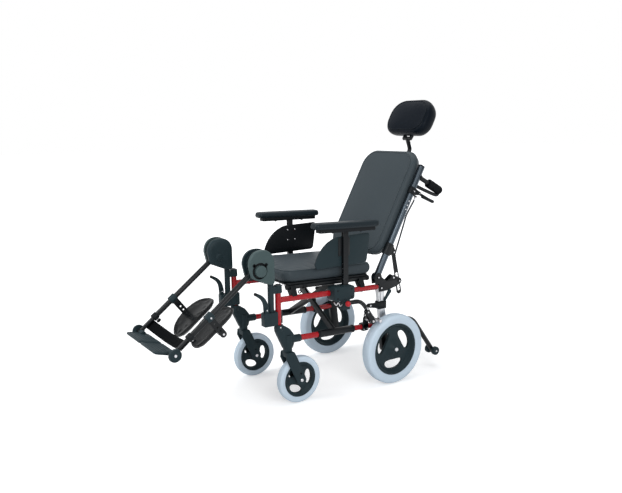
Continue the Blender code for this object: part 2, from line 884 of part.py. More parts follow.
# Side frames
def axle_post():
    half_y = POST_DEPTH / 2
    outline = [
        (-half_y, POST_BOTTOM_Z),
        (half_y, POST_BOTTOM_Z),
        (POST_TOP_Y + half_y, POST_TOP_Z),
        (POST_TOP_Y - half_y, POST_TOP_Z),
    ]
    return extruded(outline, FRAME_X - POST_WIDTH / 2, FRAME_X + POST_WIDTH / 2)


def rear_axle():
    """The shoulder, axle and end cap that hold the rear wheel."""
    cap_x = WHEEL_X + WHEEL_HUB_WIDTH / 2 + SEAT_GAP
    shoulder_x = WHEEL_X - WHEEL_HUB_WIDTH / 2 - SEAT_GAP
    cap_end = cap_x + AXLE_CAP_THICK
    return [
        rod((FRAME_X, 0.0, WHEEL_R), (shoulder_x, 0.0, WHEEL_R), AXLE_CAP_R),
        rod((FRAME_X, 0.0, WHEEL_R), (cap_x + AXLE_CAP_THICK / 2, 0.0, WHEEL_R), AXLE_R),
        rod((cap_x, 0.0, WHEEL_R), (cap_end, 0.0, WHEEL_R), AXLE_CAP_R, end_radius=AXLE_CAP_R * 0.8),
    ]


def seat_saddle(y):
    """A saddle on the top rail with an open cradle for the seat rail."""
    start = y - SADDLE_LENGTH / 2
    stop = y + SADDLE_LENGTH / 2
    low = top_rail_z(y) - TUBE_R - SADDLE_WALL
    lip = seat_rail_z(y) + SADDLE_CRADLE
    inner = SEAT_RAIL_X - SEAT_RAIL_R - SADDLE_WALL
    outer = FRAME_X + TUBE_R + SADDLE_WALL
    outline = [
        (FRAME_X - TUBE_R - SADDLE_WALL, low),
        (outer, low),
        (outer, top_rail_z(y) + TUBE_R + SADDLE_WALL),
        (SEAT_RAIL_X + SEAT_RAIL_R + SADDLE_WALL, lip),
        (inner, lip),
        (inner, seat_rail_z(y) - SEAT_RAIL_R - SADDLE_WALL),
    ]
    half_mouth = SEAT_RAIL_R + ROUND_GAP
    cradle = rail_rod(SEAT_RAIL_X, seat_rail_z, start - TUBE_R, stop + TUBE_R, half_mouth)
    mouth = box(
        (SEAT_RAIL_X - half_mouth, start - TUBE_R, seat_rail_z(y)),
        (SEAT_RAIL_X + half_mouth, stop + TUBE_R, lip + TUBE_R),
    )
    return cut(extruded(outline, start, stop, ALONG_Y), cradle, mouth)


def brake_pivot():
    """The brake's pivot in (y, z), a clearance away from the tyre."""
    rise = BRAKE_Z - WHEEL_R
    return (-math.sqrt((WHEEL_R + BRAKE_PIVOT_GAP) ** 2 - rise**2), BRAKE_Z)


def brake_shoe():
    """The shoe's middle in (y, z), a little further round the tyre than the pivot and just off it."""
    y, z = brake_pivot()
    turn = math.atan2(z - WHEEL_R, -y) + math.radians(BRAKE_SHOE_LEAD)
    reach = WHEEL_R + BRAKE_SHOE_GAP + BRAKE_SHOE_R
    return (-reach * math.cos(turn), WHEEL_R + reach * math.sin(turn))


def brake_mount():
    """The clamp on the lower rail with its upright plate and the brake's pivot pin."""
    clamp_half = TUBE_R + BRAKE_CLAMP_WALL
    pivot = brake_pivot()
    z = lower_rail_z(pivot[0])
    front = pivot[0] - BRAKE_CLAMP_HALF
    rear = pivot[0] + BRAKE_CLAMP_HALF
    plate_x = FRAME_X + clamp_half
    clamp = box((FRAME_X - clamp_half, front, z - clamp_half), (plate_x, rear, z + clamp_half))
    eye = arc(pivot, BRAKE_CLAMP_HALF * 0.8, 0.0, 180.0, 7)
    plate = extruded([(front, z), (rear, z), *eye], plate_x - BRAKE_PLATE, plate_x)
    pin = rod((plate_x - BRAKE_PLATE, *pivot), (BRAKE_LEVER_X + BRAKE_HUB_R, *pivot), BRAKE_PIN_R)
    return [clamp, plate, pin]


def anti_tip_axle():
    return Vector((FRAME_X, ANTI_TIP_WHEEL_Y, ANTI_TIP_WHEEL_Z))


def anti_tip_tube():
    """A tube that leaves the post level, bends and falls to the rollers."""
    axle = anti_tip_axle()
    bend = Vector((FRAME_X, ANTI_TIP_BEND_Y, ANTI_TIP_Z))
    fall = (axle - bend).normalized()
    route = [Vector((FRAME_X, post_y(ANTI_TIP_Z), ANTI_TIP_Z))]
    for share in (0.0, 0.25, 0.5, 0.75, 1.0):
        level = Vector((0.0, -ANTI_TIP_BEND_R, 0.0)) * (1.0 - share) ** 2
        route.append(bend + level + fall * ANTI_TIP_BEND_R * share**2)
    route.append(axle + fall * ANTI_TIP_R)
    return tube(route, ANTI_TIP_R, 3)


def side_frames():
    foot = (FRAME_X, UPRIGHT_Y, UPRIGHT_BOTTOM)
    upright = rod(foot, (FRAME_X, UPRIGHT_Y, UPRIGHT_TOP), TUBE_R, RAIL_SIDES)
    post_front = POST_DEPTH / 2 - RAIL_WELD
    top_rail = rail_rod(FRAME_X, top_rail_z, UPRIGHT_Y, POST_TOP_Y - post_front, TUBE_R, RAIL_SIDES)
    lower_end = post_y(LOWER_RAIL_Z) - post_front
    lower_rail = rail_rod(FRAME_X, lower_rail_z, LOWER_RAIL_Y, lower_end, TUBE_R, RAIL_SIDES)
    saddles = [seat_saddle(SADDLE_FRONT_Y), seat_saddle(SADDLE_REAR_Y)]
    frame = fused(upright, top_rail, axle_post(), lower_rail, *rear_axle())
    frame = fused(frame, *saddles, *brake_mount(), anti_tip_tube())
    pin_bore = rod(
        (FRAME_X, UPRIGHT_Y, UPRIGHT_TOP - CAP_PIN_DEPTH - ROUND_GAP),
        (FRAME_X, UPRIGHT_Y, UPRIGHT_TOP + TUBE_R),
        CAP_PIN_R + ROUND_GAP,
    )
    bolt_y = post_y(POST_BOLT_Z)
    bolt_bore = rod((0.0, bolt_y, POST_BOLT_Z), (WHEEL_X, bolt_y, POST_BOLT_Z), POST_BOLT_R + ROUND_GAP)
    axle = anti_tip_axle()
    sideways = Vector((ANTI_TIP_R * 2, 0.0, 0.0))
    roller_bore = rod(axle - sideways, axle + sideways, ANTI_TIP_PIN_R + ROUND_GAP)
    finish_pair(cut(frame, pin_bore, bolt_bore, roller_bore), "side_frame", "red_paint")


def front_castings():
    """Cast front legs: a socket for the upright, a socket for the lower rail and the castor head."""
    head_low = (FRAME_X, SWIVEL_Y, FORK_CROWN_TOP + SEAT_GAP)
    head = rod(head_low, (FRAME_X, SWIVEL_Y, CASTING_HEAD_TOP), CASTING_HEAD_R, RAIL_SIDES)
    socket_low = (FRAME_X, UPRIGHT_Y, UPRIGHT_BOTTOM - CASTING_LIP)
    socket = rod(socket_low, (FRAME_X, UPRIGHT_Y, CASTING_SOCKET_TOP), CASTING_SOCKET_R, RAIL_SIDES)
    rail_end = LOWER_RAIL_Y + CASTING_WEB
    rail_socket = rail_rod(FRAME_X, lower_rail_z, SWIVEL_Y, rail_end, CASTING_SOCKET_R, RAIL_SIDES)
    web_front = UPRIGHT_Y - CASTING_SOCKET_R
    web = [
        (SWIVEL_Y - CASTING_HEAD_R, FORK_CROWN_TOP + CASTING_LIP),
        (SWIVEL_Y + CASTING_HEAD_R, FORK_CROWN_TOP + CASTING_LIP),
        (LOWER_RAIL_Y + CASTING_LIP, lower_rail_z(LOWER_RAIL_Y) - CASTING_STEP),
        (LOWER_RAIL_Y + CASTING_STEP, CASTING_HEAD_TOP + CASTING_STEP),
        (SWIVEL_Y + CASTING_LIP, CASTING_HEAD_TOP + CASTING_NECK),
        (UPRIGHT_Y + CASTING_SOCKET_R, CASTING_SOCKET_TOP - CASTING_STEP),
        (web_front, CASTING_SOCKET_TOP - CASTING_STEP),
        (web_front, UPRIGHT_BOTTOM - CASTING_LIP),
    ]
    half = CASTING_WEB / 2
    casting = fused(head, socket, rail_socket, extruded(web, FRAME_X - half, FRAME_X + half))
    bore_low = (FRAME_X, UPRIGHT_Y, UPRIGHT_BOTTOM - SEAT_GAP)
    bore_r = TUBE_R + SEAT_GAP
    casting = cut(
        casting,
        rod((FRAME_X, SWIVEL_Y, 0.0), (FRAME_X, SWIVEL_Y, STEM_TOP + ROUND_GAP), STEM_R + ROUND_GAP),
        rod(bore_low, (FRAME_X, UPRIGHT_Y, UPRIGHT_TOP), bore_r, RAIL_SIDES),
        rail_rod(FRAME_X, lower_rail_z, LOWER_RAIL_Y - SEAT_GAP, SLEEVE_FRONT, bore_r, RAIL_SIDES),
    )
    finish_pair(casting, "front_casting", "charcoal_plastic")


def brace_arm(side, y):
    """One arm of the cross brace: a sleeve on its lower rail, a flat bar and the opposite seat rail."""
    low_x = side * FRAME_X
    top_x = -side * BRACE_TOP_X
    low_z = lower_rail_z(BRACE_Y)
    reach = BRACE_TOP_X + FRAME_X
    rise = (seat_rail_z(BRACE_Y) - low_z) * reach / (SEAT_RAIL_X + FRAME_X)
    along = Vector((top_x - low_x, rise)).normalized()
    across = Vector((-along.y, along.x)) * ARM_WIDTH / 2
    ends = (Vector((low_x, low_z)), Vector((top_x, low_z + rise)))
    outline = [ends[0] - across, ends[1] - across, ends[1] + across, ends[0] + across]
    if side > 0:
        outline.reverse()
    bar = extruded(outline, y - ARM_THICK / 2, y + ARM_THICK / 2, ALONG_Y)
    sleeve = rail_rod(low_x, lower_rail_z, SLEEVE_FRONT, SLEEVE_REAR, SLEEVE_R, RAIL_SIDES)
    rail = rail_rod(-side * SEAT_RAIL_X, seat_rail_z, SEAT_RAIL_FRONT, SEAT_RAIL_REAR, SEAT_RAIL_R)
    arm = fused(bar, sleeve, rail)
    bore_ends = (SLEEVE_FRONT - TUBE_R, SLEEVE_REAR + TUBE_R)
    return cut(arm, rail_rod(low_x, lower_rail_z, *bore_ends, TUBE_R + SEAT_GAP, RAIL_SIDES))


def brace_pivot_z():
    low = lower_rail_z(BRACE_Y)
    return low + (seat_rail_z(BRACE_Y) - low) * FRAME_X / (SEAT_RAIL_X + FRAME_X)


def cross_brace():
    """Two arms that cross at a bolt, which the front arm carries."""
    step = (ARM_THICK + ARM_SPACE) / 2
    z = brace_pivot_z()
    rear_face = BRACE_Y + step + ARM_THICK / 2 + SEAT_GAP
    bolt = rod((0.0, BRACE_Y - step, z), (0.0, rear_face + BRACE_HEAD_THICK / 2, z), BRACE_BOLT_R)
    nut = rod((0.0, rear_face, z), (0.0, rear_face + BRACE_HEAD_THICK, z), BRACE_HEAD_R, 6)
    front_face = BRACE_Y - step - ARM_THICK / 2
    head = rod((0.0, front_face + ARM_SPACE, z), (0.0, front_face - BRACE_HEAD_THICK, z), BRACE_HEAD_R, 6)
    front_arm = fused(brace_arm(1.0, BRACE_Y - step), bolt, nut, head)
    rear_arm = brace_arm(-1.0, BRACE_Y + step)
    pivot_bore = rod((0.0, BRACE_Y, z), (0.0, rear_face + ARM_THICK, z), BRACE_BOLT_R + ROUND_GAP)
    low_z = lower_rail_z(BRACE_Y)
    finish(front_arm, "brace_arm_front", "black_metal", (FRAME_X, BRACE_Y, low_z))
    finish(cut(rear_arm, pivot_bore), "brace_arm_rear", "black_metal", (-FRAME_X, BRACE_Y, low_z))


def on_slope(obj, y, z):
    """Lay a piece that was made flat at z 0 on the chair's slope, about the line at y."""
    tilt = Matrix.Rotation(-math.atan(SLOPE), 4, "X")
    obj.data.transform(Matrix.Translation((0.0, y, z)) @ tilt @ Matrix.Translation((0.0, -y, 0.0)))
    return obj


def seat():
    rail_top = SEAT_RAIL_R * math.sqrt(1.0 + SLOPE**2) + SEAT_GAP
    board = extruded(
        rounded_rectangle((-BOARD_HALF_X, BOARD_FRONT), (BOARD_HALF_X, BOARD_REAR), BOARD_CORNER, 3),
        0.0,
        BOARD_THICK,
        ALONG_Z,
    )
    finish(on_slope(board, SEAT_RAIL_FRONT, SEAT_RAIL_Z + rail_top), "seat_board", "black_plastic")
    pad = cushion(
        (-CUSHION_HALF_X, CUSHION_FRONT),
        (CUSHION_HALF_X, CUSHION_REAR),
        CUSHION_CORNER,
        CUSHION_SIDE_HEIGHT,
        CUSHION_CROWN_HEIGHT,
        CUSHION_DRAW_IN,
    )
    base = SEAT_RAIL_Z + rail_top + (BOARD_THICK + SEAT_GAP) * math.sqrt(1.0 + SLOPE**2)
    finish(on_slope(pad, SEAT_RAIL_FRONT, base), "seat_cushion", "grey_vinyl")


# Anti-tip rollers
def anti_tip_rollers():
    """Twin rollers on one hollow spindle that runs through the tube."""
    inner = ANTI_TIP_R + ANTI_TIP_SIDE_GAP
    outer = inner + ANTI_TIP_WHEEL_WIDTH
    edge = ANTI_TIP_WHEEL_EDGE
    r = ANTI_TIP_WHEEL_R
    profile = [
        (-outer, r - edge),
        (-outer + edge, r),
        (-inner - edge, r),
        (-inner, r - edge),
        (-inner, ANTI_TIP_PIN_R),
        (inner, ANTI_TIP_PIN_R),
        (inner, r - edge),
        (inner + edge, r),
        (outer - edge, r),
        (outer, r - edge),
        (outer, ANTI_TIP_PIN_R / 2),
        (-outer, ANTI_TIP_PIN_R / 2),
    ]
    axle = tuple(anti_tip_axle())
    finish_pair(turned(profile, ROUND_SIDES, axle), "anti_tip_rollers", "charcoal_plastic", axle)


# Armrests
def armrest_receivers():
    """Moulded blocks on the top rails with a deep socket for the armrest post."""
    half_x = ARM_POST_WIDTH / 2 + SEAT_GAP
    half_y = ARM_POST_DEPTH / 2 + SEAT_GAP
    inner = FRAME_X - TUBE_R - RECEIVER_WALL
    outer = ARM_POST_X + half_x + RECEIVER_OUTER_WALL
    edge = RECEIVER_WALL
    outline = [
        (RECEIVER_FRONT, RECEIVER_BOTTOM + edge * 2),
        (RECEIVER_FRONT + edge * 2, RECEIVER_BOTTOM),
        (RECEIVER_REAR - edge * 2, RECEIVER_BOTTOM),
        (RECEIVER_REAR, RECEIVER_BOTTOM + edge * 2),
        (RECEIVER_REAR, RECEIVER_TOP - edge * 3),
        (RECEIVER_REAR - edge * 3, RECEIVER_TOP),
        (RECEIVER_FRONT + edge * 3, RECEIVER_TOP),
        (RECEIVER_FRONT, RECEIVER_TOP - edge * 3),
    ]
    block = extruded(outline, inner, outer)
    wall_x = half_x + SOCKET_WALL
    wall_y = half_y + SOCKET_WALL
    socket = box(
        (ARM_POST_X - wall_x, ARM_POST_Y - wall_y, SOCKET_BOTTOM),
        (ARM_POST_X + wall_x, ARM_POST_Y + wall_y, RECEIVER_BOTTOM + edge),
    )
    slot = box(
        (ARM_POST_X - half_x, ARM_POST_Y - half_y, SOCKET_BOTTOM - edge),
        (ARM_POST_X + half_x, ARM_POST_Y + half_y, RECEIVER_TOP + edge),
    )
    ends = (RECEIVER_FRONT - edge, RECEIVER_REAR + edge)
    rail = rail_rod(FRAME_X, top_rail_z, *ends, TUBE_R + SEAT_GAP, RAIL_SIDES)
    finish_pair(cut(fused(block, socket), slot, rail), "armrest_receiver", "black_plastic")


def arm_pad_bottom(y):
    return ARM_PAD_FRONT_Z - SLOPE * (y - ARM_PAD_FRONT)


def armrests():
    half_x = ARM_POST_WIDTH / 2
    half_y = ARM_POST_DEPTH / 2
    pivot = (ARM_POST_X, ARM_POST_Y, RECEIVER_TOP)
    front = ARM_POST_Y - half_y
    rear = ARM_POST_Y + half_y
    outline = [
        (front, ARM_POST_BOTTOM),
        (rear, ARM_POST_BOTTOM),
        (rear, arm_pad_bottom(rear) - SEAT_GAP),
        (front, arm_pad_bottom(front) - SEAT_GAP),
    ]
    post = extruded(outline, ARM_POST_X - half_x, ARM_POST_X + half_x)
    finish_pair(post, "armrest_post", "black_metal", pivot)
    pad = cushion(
        (ARM_PAD_X - ARM_PAD_HALF_X, ARM_PAD_FRONT),
        (ARM_PAD_X + ARM_PAD_HALF_X, ARM_PAD_REAR),
        ARM_PAD_CORNER,
        ARM_PAD_SIDE_HEIGHT,
        ARM_PAD_CROWN_HEIGHT,
        ARM_PAD_DRAW_IN,
        4,
    )
    finish_pair(on_slope(pad, ARM_PAD_FRONT, ARM_PAD_FRONT_Z), "armrest_pad", "black_plastic", pivot)
    finish_pair(armrest_panel(), "armrest_panel", "charcoal_plastic", pivot)


def armrest_panel():
    """The clothing guard: a flat sheet whose front edge sweeps down in an arc."""
    start = Vector(PANEL_TOP_FRONT)
    stop = Vector(PANEL_NOSE)
    across = Vector((stop.y - start.y, start.x - stop.x)).normalized()
    sweep = []
    for index in range(9):
        share = index / 8
        bulge = 4.0 * share * (1.0 - share) * PANEL_ARC_SAG
        sweep.append(tuple(start.lerp(stop, share) + across * bulge))
    outline = [*sweep, PANEL_HEEL, PANEL_REAR_LOW, PANEL_REAR_TOP]
    outer = ARM_POST_X - ARM_POST_WIDTH / 2 - SEAT_GAP
    return extruded(outline, outer - PANEL_THICK, outer)


# Release cable: points across, up along the tube and rearward of it
CABLE_ROUTE = (
    (0.1900, 0.3885, 0.0345),
    (0.1900, 0.3143, 0.0257),
    (0.1885, 0.2765, 0.0315),
    (0.1820, 0.2010, 0.0474),
    (0.1795, 0.1311, 0.0592),
)


# Back frame
def in_back(x, a, b):
    """A point of the reclined back: across, up along the tubes and rearward of them."""
    return Vector((x, b, a))


def back_tube():
    """A rectangular extrusion with a groove along each face and a bore for the pivot bolt."""
    corner = Vector((BACK_TUBE_HALF_X, BACK_TUBE_HALF_B, 0.0))
    foot = in_back(FRAME_X, BACK_TUBE_LOW, 0.0)
    top = in_back(FRAME_X, BACK_TUBE_TOP, 0.0)
    body = box(foot - corner, top + corner)
    past = Vector((0.0, 0.0, BACK_TUBE_HALF_B))
    half = BACK_GROOVE_HALF
    deep = BACK_GROOVE_DEPTH
    grooves = []
    for way in (-1.0, 1.0):
        side = Vector((way * BACK_TUBE_HALF_X, 0.0, 0.0))
        face = Vector((0.0, way * BACK_TUBE_HALF_B, 0.0))
        side_room = Vector((deep, half, 0.0)) + past
        face_room = Vector((half, deep, 0.0)) + past
        grooves.append(box(foot + side - side_room, top + side + side_room))
        grooves.append(box(foot + face - face_room, top + face + face_room))
    bore = rod(in_back(0.0, 0.0, 0.0), in_back(WHEEL_X, 0.0, 0.0), PIVOT_R + ROUND_GAP)
    return cut(body, *grooves, bore)


def strut_lugs():
    """A collar on the tube with two ears and the pin that the recline strut hangs on."""
    wall_x = BACK_TUBE_HALF_X + COLLAR_WALL
    collar = box(
        in_back(FRAME_X - wall_x, COLLAR_LOW, -BACK_TUBE_HALF_B - COLLAR_WALL),
        in_back(FRAME_X + wall_x, COLLAR_HIGH, BACK_TUBE_HALF_B + COLLAR_WALL),
    )
    inner = STRUT_THICK / 2 + SEAT_GAP
    outline = [(BACK_TUBE_HALF_B, COLLAR_HIGH), (BACK_TUBE_HALF_B, COLLAR_LOW)]
    outline += arc((STRUT_B, STRUT_A), LUG_R, -70.0, 70.0, 7)
    ears = [
        extruded(outline, FRAME_X + inner, FRAME_X + inner + LUG_THICK),
        extruded(outline, FRAME_X - inner - LUG_THICK, FRAME_X - inner),
    ]
    reach = Vector((inner + LUG_THICK + PIN_HEAD, 0.0, 0.0))
    hang = in_back(FRAME_X, STRUT_A, STRUT_B)
    pin = rod(hang - reach, hang + reach, STRUT_PIN_R)
    return [collar, *ears, pin]


def push_handle():
    """The grip's core and the arm below it, which bends up to meet the core's end."""
    start = BACK_TUBE_HALF_B - BACK_GROOVE_DEPTH * 2
    core = rod(in_back(FRAME_X, HANDLE_A, start), in_back(FRAME_X, HANDLE_A, HANDLE_END_B), HANDLE_CORE_R)
    knee = HANDLE_END_B - HANDLE_CORE_R
    drop = HANDLE_A - GRIP_R - HANDLE_ARM_R * 2
    stops = [
        in_back(FRAME_X, HANDLE_ARM_A, start),
        in_back(FRAME_X, (HANDLE_ARM_A + drop) / 2, (start + knee) / 2),
        in_back(FRAME_X, drop, knee - HANDLE_ARM_R),
        in_back(FRAME_X, HANDLE_A - HANDLE_CORE_R, knee + HANDLE_ARM_R),
        in_back(FRAME_X, HANDLE_A, knee + HANDLE_ARM_R),
    ]
    return [core, tube(smooth_line(stops, 9), HANDLE_ARM_R, 2)]


def lever_perch():
    """The clamp on the tube that carries the recline lever, with the cable's ferrule below it."""
    wall_x = BACK_TUBE_HALF_X + COLLAR_WALL
    wall_b = BACK_TUBE_HALF_B + COLLAR_WALL
    clamp_low = in_back(FRAME_X - wall_x, PERCH_LOW, -wall_b)
    clamp = box(clamp_low, in_back(FRAME_X + wall_x, PERCH_HIGH, wall_b))
    inner = LEVER_THICK / 2 + SEAT_GAP
    outline = [(BACK_TUBE_HALF_B, PERCH_HIGH), (BACK_TUBE_HALF_B, PERCH_LOW)]
    outline += arc((LEVER_PIVOT_B, LEVER_PIVOT_A), LEVER_HALF * 1.6, -80.0, 80.0, 6)
    ears = [
        extruded(outline, FRAME_X + inner, FRAME_X + inner + PERCH_EAR),
        extruded(outline, FRAME_X - inner - PERCH_EAR, FRAME_X - inner),
    ]
    reach = Vector((inner + PERCH_EAR + PIN_HEAD, 0.0, 0.0))
    pivot = in_back(FRAME_X, LEVER_PIVOT_A, LEVER_PIVOT_B)
    pin = rod(pivot - reach, pivot + reach, LEVER_PIN_R)
    x, top, b = CABLE_ROUTE[0]
    shelf = box(
        in_back(FRAME_X - inner - PERCH_EAR, PERCH_LOW, BACK_TUBE_HALF_B),
        in_back(FRAME_X + inner + PERCH_EAR, PERCH_LOW + FERRULE_R, b + FERRULE_R),
    )
    ferrule = rod(in_back(x, top + CABLE_END_GAP, b), in_back(x, PERCH_LOW + FERRULE_R, b), FERRULE_R)
    return [clamp, *ears, pin, shelf, ferrule]


def cable_anchor():
    """The tab at the strut's collar that the lower end of the cable runs into."""
    x, end, b = CABLE_ROUTE[-1]
    ear = FRAME_X - STRUT_THICK / 2 - SEAT_GAP - LUG_THICK / 2
    return box(
        in_back(x - FERRULE_R, end - FERRULE_R * 2, BACK_TUBE_HALF_B),
        in_back(ear, end - CABLE_END_GAP, b + FERRULE_R),
    )


def headrest_clamp():
    """The block behind the upper crossbar that the headrest bar slides through."""
    half = CLAMP_HALF_A
    block = box(
        in_back(-CLAMP_HALF_X, CROSSBAR_HIGH_A - half, CROSSBAR_FRONT_B + CROSSBAR_THICK / 2),
        in_back(CLAMP_HALF_X, CROSSBAR_HIGH_A + half, BAR_B + BAR_THICK + CLAMP_WALL),
    )
    slot = box(
        in_back(-BAR_HALF_X - SEAT_GAP, CROSSBAR_HIGH_A - half * 2, BAR_B - SEAT_GAP),
        in_back(BAR_HALF_X + SEAT_GAP, CROSSBAR_HIGH_A + half * 2, BAR_B + BAR_THICK + SEAT_GAP),
    )
    return cut(block, slot)


def crossbar(a):
    reach = FRAME_X - BACK_TUBE_HALF_X + BACK_GROOVE_DEPTH / 2
    rear = CROSSBAR_FRONT_B + CROSSBAR_THICK
    return box(in_back(-reach, a - CROSSBAR_HALF, CROSSBAR_FRONT_B), in_back(reach, a + CROSSBAR_HALF, rear))


def back_frame():
    side = fused(back_tube(), *strut_lugs(), *push_handle(), *lever_perch(), cable_anchor())
    frame = fused(side, mirrored(side), crossbar(CROSSBAR_LOW_A), crossbar(CROSSBAR_HIGH_A), headrest_clamp())
    finish(frame, "back_frame", "blue_grey_metal", parent=BACK)


def release_cables():
    line = smooth_line([in_back(*stop) for stop in CABLE_ROUTE], CABLE_POINTS)
    finish_pair(tube(line, CABLE_R, CABLE_RESOLUTION), "release_cable", "black_plastic", parent=BACK)


def push_grips():
    """Moulded grips with rings round them, on the handle cores."""
    rib_pitch = (GRIP_END_B - GRIP_START_B) / (GRIP_RIBS + 1)
    profile = [(GRIP_START_B, GRIP_R)]
    for index in range(1, GRIP_RIBS + 1):
        middle = GRIP_START_B + rib_pitch * index
        profile += [
            (middle - GRIP_RIB_DEPTH, GRIP_R),
            (middle, GRIP_R - GRIP_RIB_DEPTH),
            (middle + GRIP_RIB_DEPTH, GRIP_R),
        ]
    bore = HANDLE_CORE_R + ROUND_GAP
    profile += [(GRIP_END_B, GRIP_R), (GRIP_END_B, bore), (GRIP_START_B, bore)]
    grip = turned(profile, ROUND_SIDES, (0.0, 0.0, 0.0))
    quarter = Matrix.Rotation(math.pi / 2, 4, "Z")
    grip.data.transform(Matrix.Translation(in_back(FRAME_X, HANDLE_A, 0.0)) @ quarter)
    finish_pair(grip, "push_grip", "black_plastic", parent=BACK)


def recline_levers():
    pivot = (LEVER_PIVOT_B, LEVER_PIVOT_A)
    outline = capsule(pivot, (LEVER_TIP_B, LEVER_TIP_A), LEVER_HALF * 1.4, LEVER_HALF)
    bore = circle(pivot, LEVER_PIN_R + ROUND_GAP, 8)
    half = LEVER_THICK / 2
    lever = extruded(outline, FRAME_X - half, FRAME_X + half, holes=[bore])
    hinge = in_back(FRAME_X, LEVER_PIVOT_A, LEVER_PIVOT_B)
    finish_pair(lever, "recline_lever", "black_plastic", hinge, BACK)


def lock_pin_in_back():
    """The lock pin's place as the reclined back sees it: rearward of the tube and up along it."""
    lean = math.radians(BACK_RECLINE)
    y = LOCK_PIN_Y - BACK_Y
    z = LOCK_PIN_Z - BACK_Z
    return Vector((y * math.cos(lean) - z * math.sin(lean), y * math.sin(lean) + z * math.cos(lean)))


def recline_struts():
    """Comb struts: a long slot whose one side has teeth that drop over the lock pin."""
    pivot = Vector((STRUT_B, STRUT_A))
    heading = (lock_pin_in_back() - pivot).normalized()
    across = Vector((-heading.y, heading.x))

    def at(along, side):
        return tuple(pivot + heading * along + across * side)

    slot = [at(STRUT_SLOT_END, -STRUT_SLOT_HALF), at(STRUT_SLOT_START, -STRUT_SLOT_HALF)]
    pitch = (STRUT_SLOT_END - STRUT_SLOT_START) / STRUT_TEETH
    for index in range(STRUT_TEETH):
        start = STRUT_SLOT_START + pitch * index
        slot.append(at(start, STRUT_SLOT_HALF))
        slot.append(at(start + pitch * STRUT_TOOTH_LEAN, STRUT_SLOT_HALF + STRUT_TOOTH_DEPTH))
    slot.append(at(STRUT_SLOT_END, STRUT_SLOT_HALF))
    outline = capsule(pivot, at(STRUT_LENGTH - STRUT_HALF, 0.0), LUG_R, STRUT_HALF, 7)
    bore = circle(pivot, STRUT_PIN_R + ROUND_GAP)
    half = STRUT_THICK / 2
    strut = extruded(outline, FRAME_X - half, FRAME_X + half, holes=[slot, bore])
    finish_pair(strut, "recline_strut", "black_metal", in_back(FRAME_X, STRUT_A, STRUT_B), BACK)


def back_brackets():
    """Twin plates either side of the post and back tube, with the pivot bolt, post bolt and lock pin."""
    pivot = (BACK_Y, BACK_Z)
    rail_end = POST_TOP_Y - POST_DEPTH / 2 + RAIL_WELD
    rail_top = top_rail_z(rail_end) + TUBE_R
    low = POST_BOLT_Z - BRACKET_EDGE
    outline = [
        (rail_end + SEAT_GAP * 4, low),
        (POST_TOP_Y + POST_DEPTH, low),
        (LOCK_PIN_Y - BRACKET_EDGE, LOCK_PIN_Z - BRACKET_EDGE - BRACKET_SKIRT),
    ]
    outline += arc((LOCK_PIN_Y, LOCK_PIN_Z), BRACKET_EDGE * 0.85, -80.0, 60.0, 6)
    for forward in (BRACKET_BUMP_REAR, BRACKET_BUMP_FRONT):
        outline.append((LOCK_PIN_Y - forward, BRACKET_BUMP_Z))
    for forward in (BRACKET_NOTCH_REAR, BRACKET_NOTCH_FRONT):
        outline.append((LOCK_PIN_Y - forward, BRACKET_NOTCH_Z))
    outline += arc(pivot, BRACKET_TOWER_R, 0.0, 185.0, 9)
    for y in (BACK_Y - BRACKET_EDGE, rail_end + SEAT_GAP * 4):
        outline.append((y, rail_top + BRACKET_LIP))
    inner = BACK_TUBE_HALF_X + SEAT_GAP
    outer = inner + BRACKET_THICK
    plates = [
        extruded(outline, FRAME_X + inner, FRAME_X + outer),
        extruded(outline, FRAME_X - outer, FRAME_X - inner),
    ]
    bolts = []
    for (y, z), radius in (
        (pivot, PIVOT_R),
        ((post_y(POST_BOLT_Z), POST_BOLT_Z), POST_BOLT_R),
        ((LOCK_PIN_Y, LOCK_PIN_Z), LOCK_PIN_R),
    ):
        end = outer + BRACKET_HEAD_THICK
        bolts.append(rod((FRAME_X - outer, y, z), (FRAME_X + outer, y, z), radius))
        bolts.append(rod((FRAME_X + inner, y, z), (FRAME_X + end, y, z), BRACKET_HEAD_R, PIN_SIDES))
    finish_pair(fused(*plates, *bolts), "back_bracket", "black_metal", (FRAME_X, BACK_Y, BACK_Z))


def back_pad():
    pad = cushion(
        (-BACK_PAD_HALF_X, BACK_PAD_LOW),
        (BACK_PAD_HALF_X, BACK_PAD_TOP),
        BACK_PAD_CORNER,
        BACK_PAD_SIDE_DEPTH,
        BACK_PAD_CROWN_DEPTH,
        BACK_PAD_DRAW_IN,
    )
    pad.data.transform(Matrix.Translation((0.0, BACK_PAD_REAR_B, 0.0)) @ ALONG_Y)
    finish(pad, "back_pad", "grey_vinyl", parent=BACK)


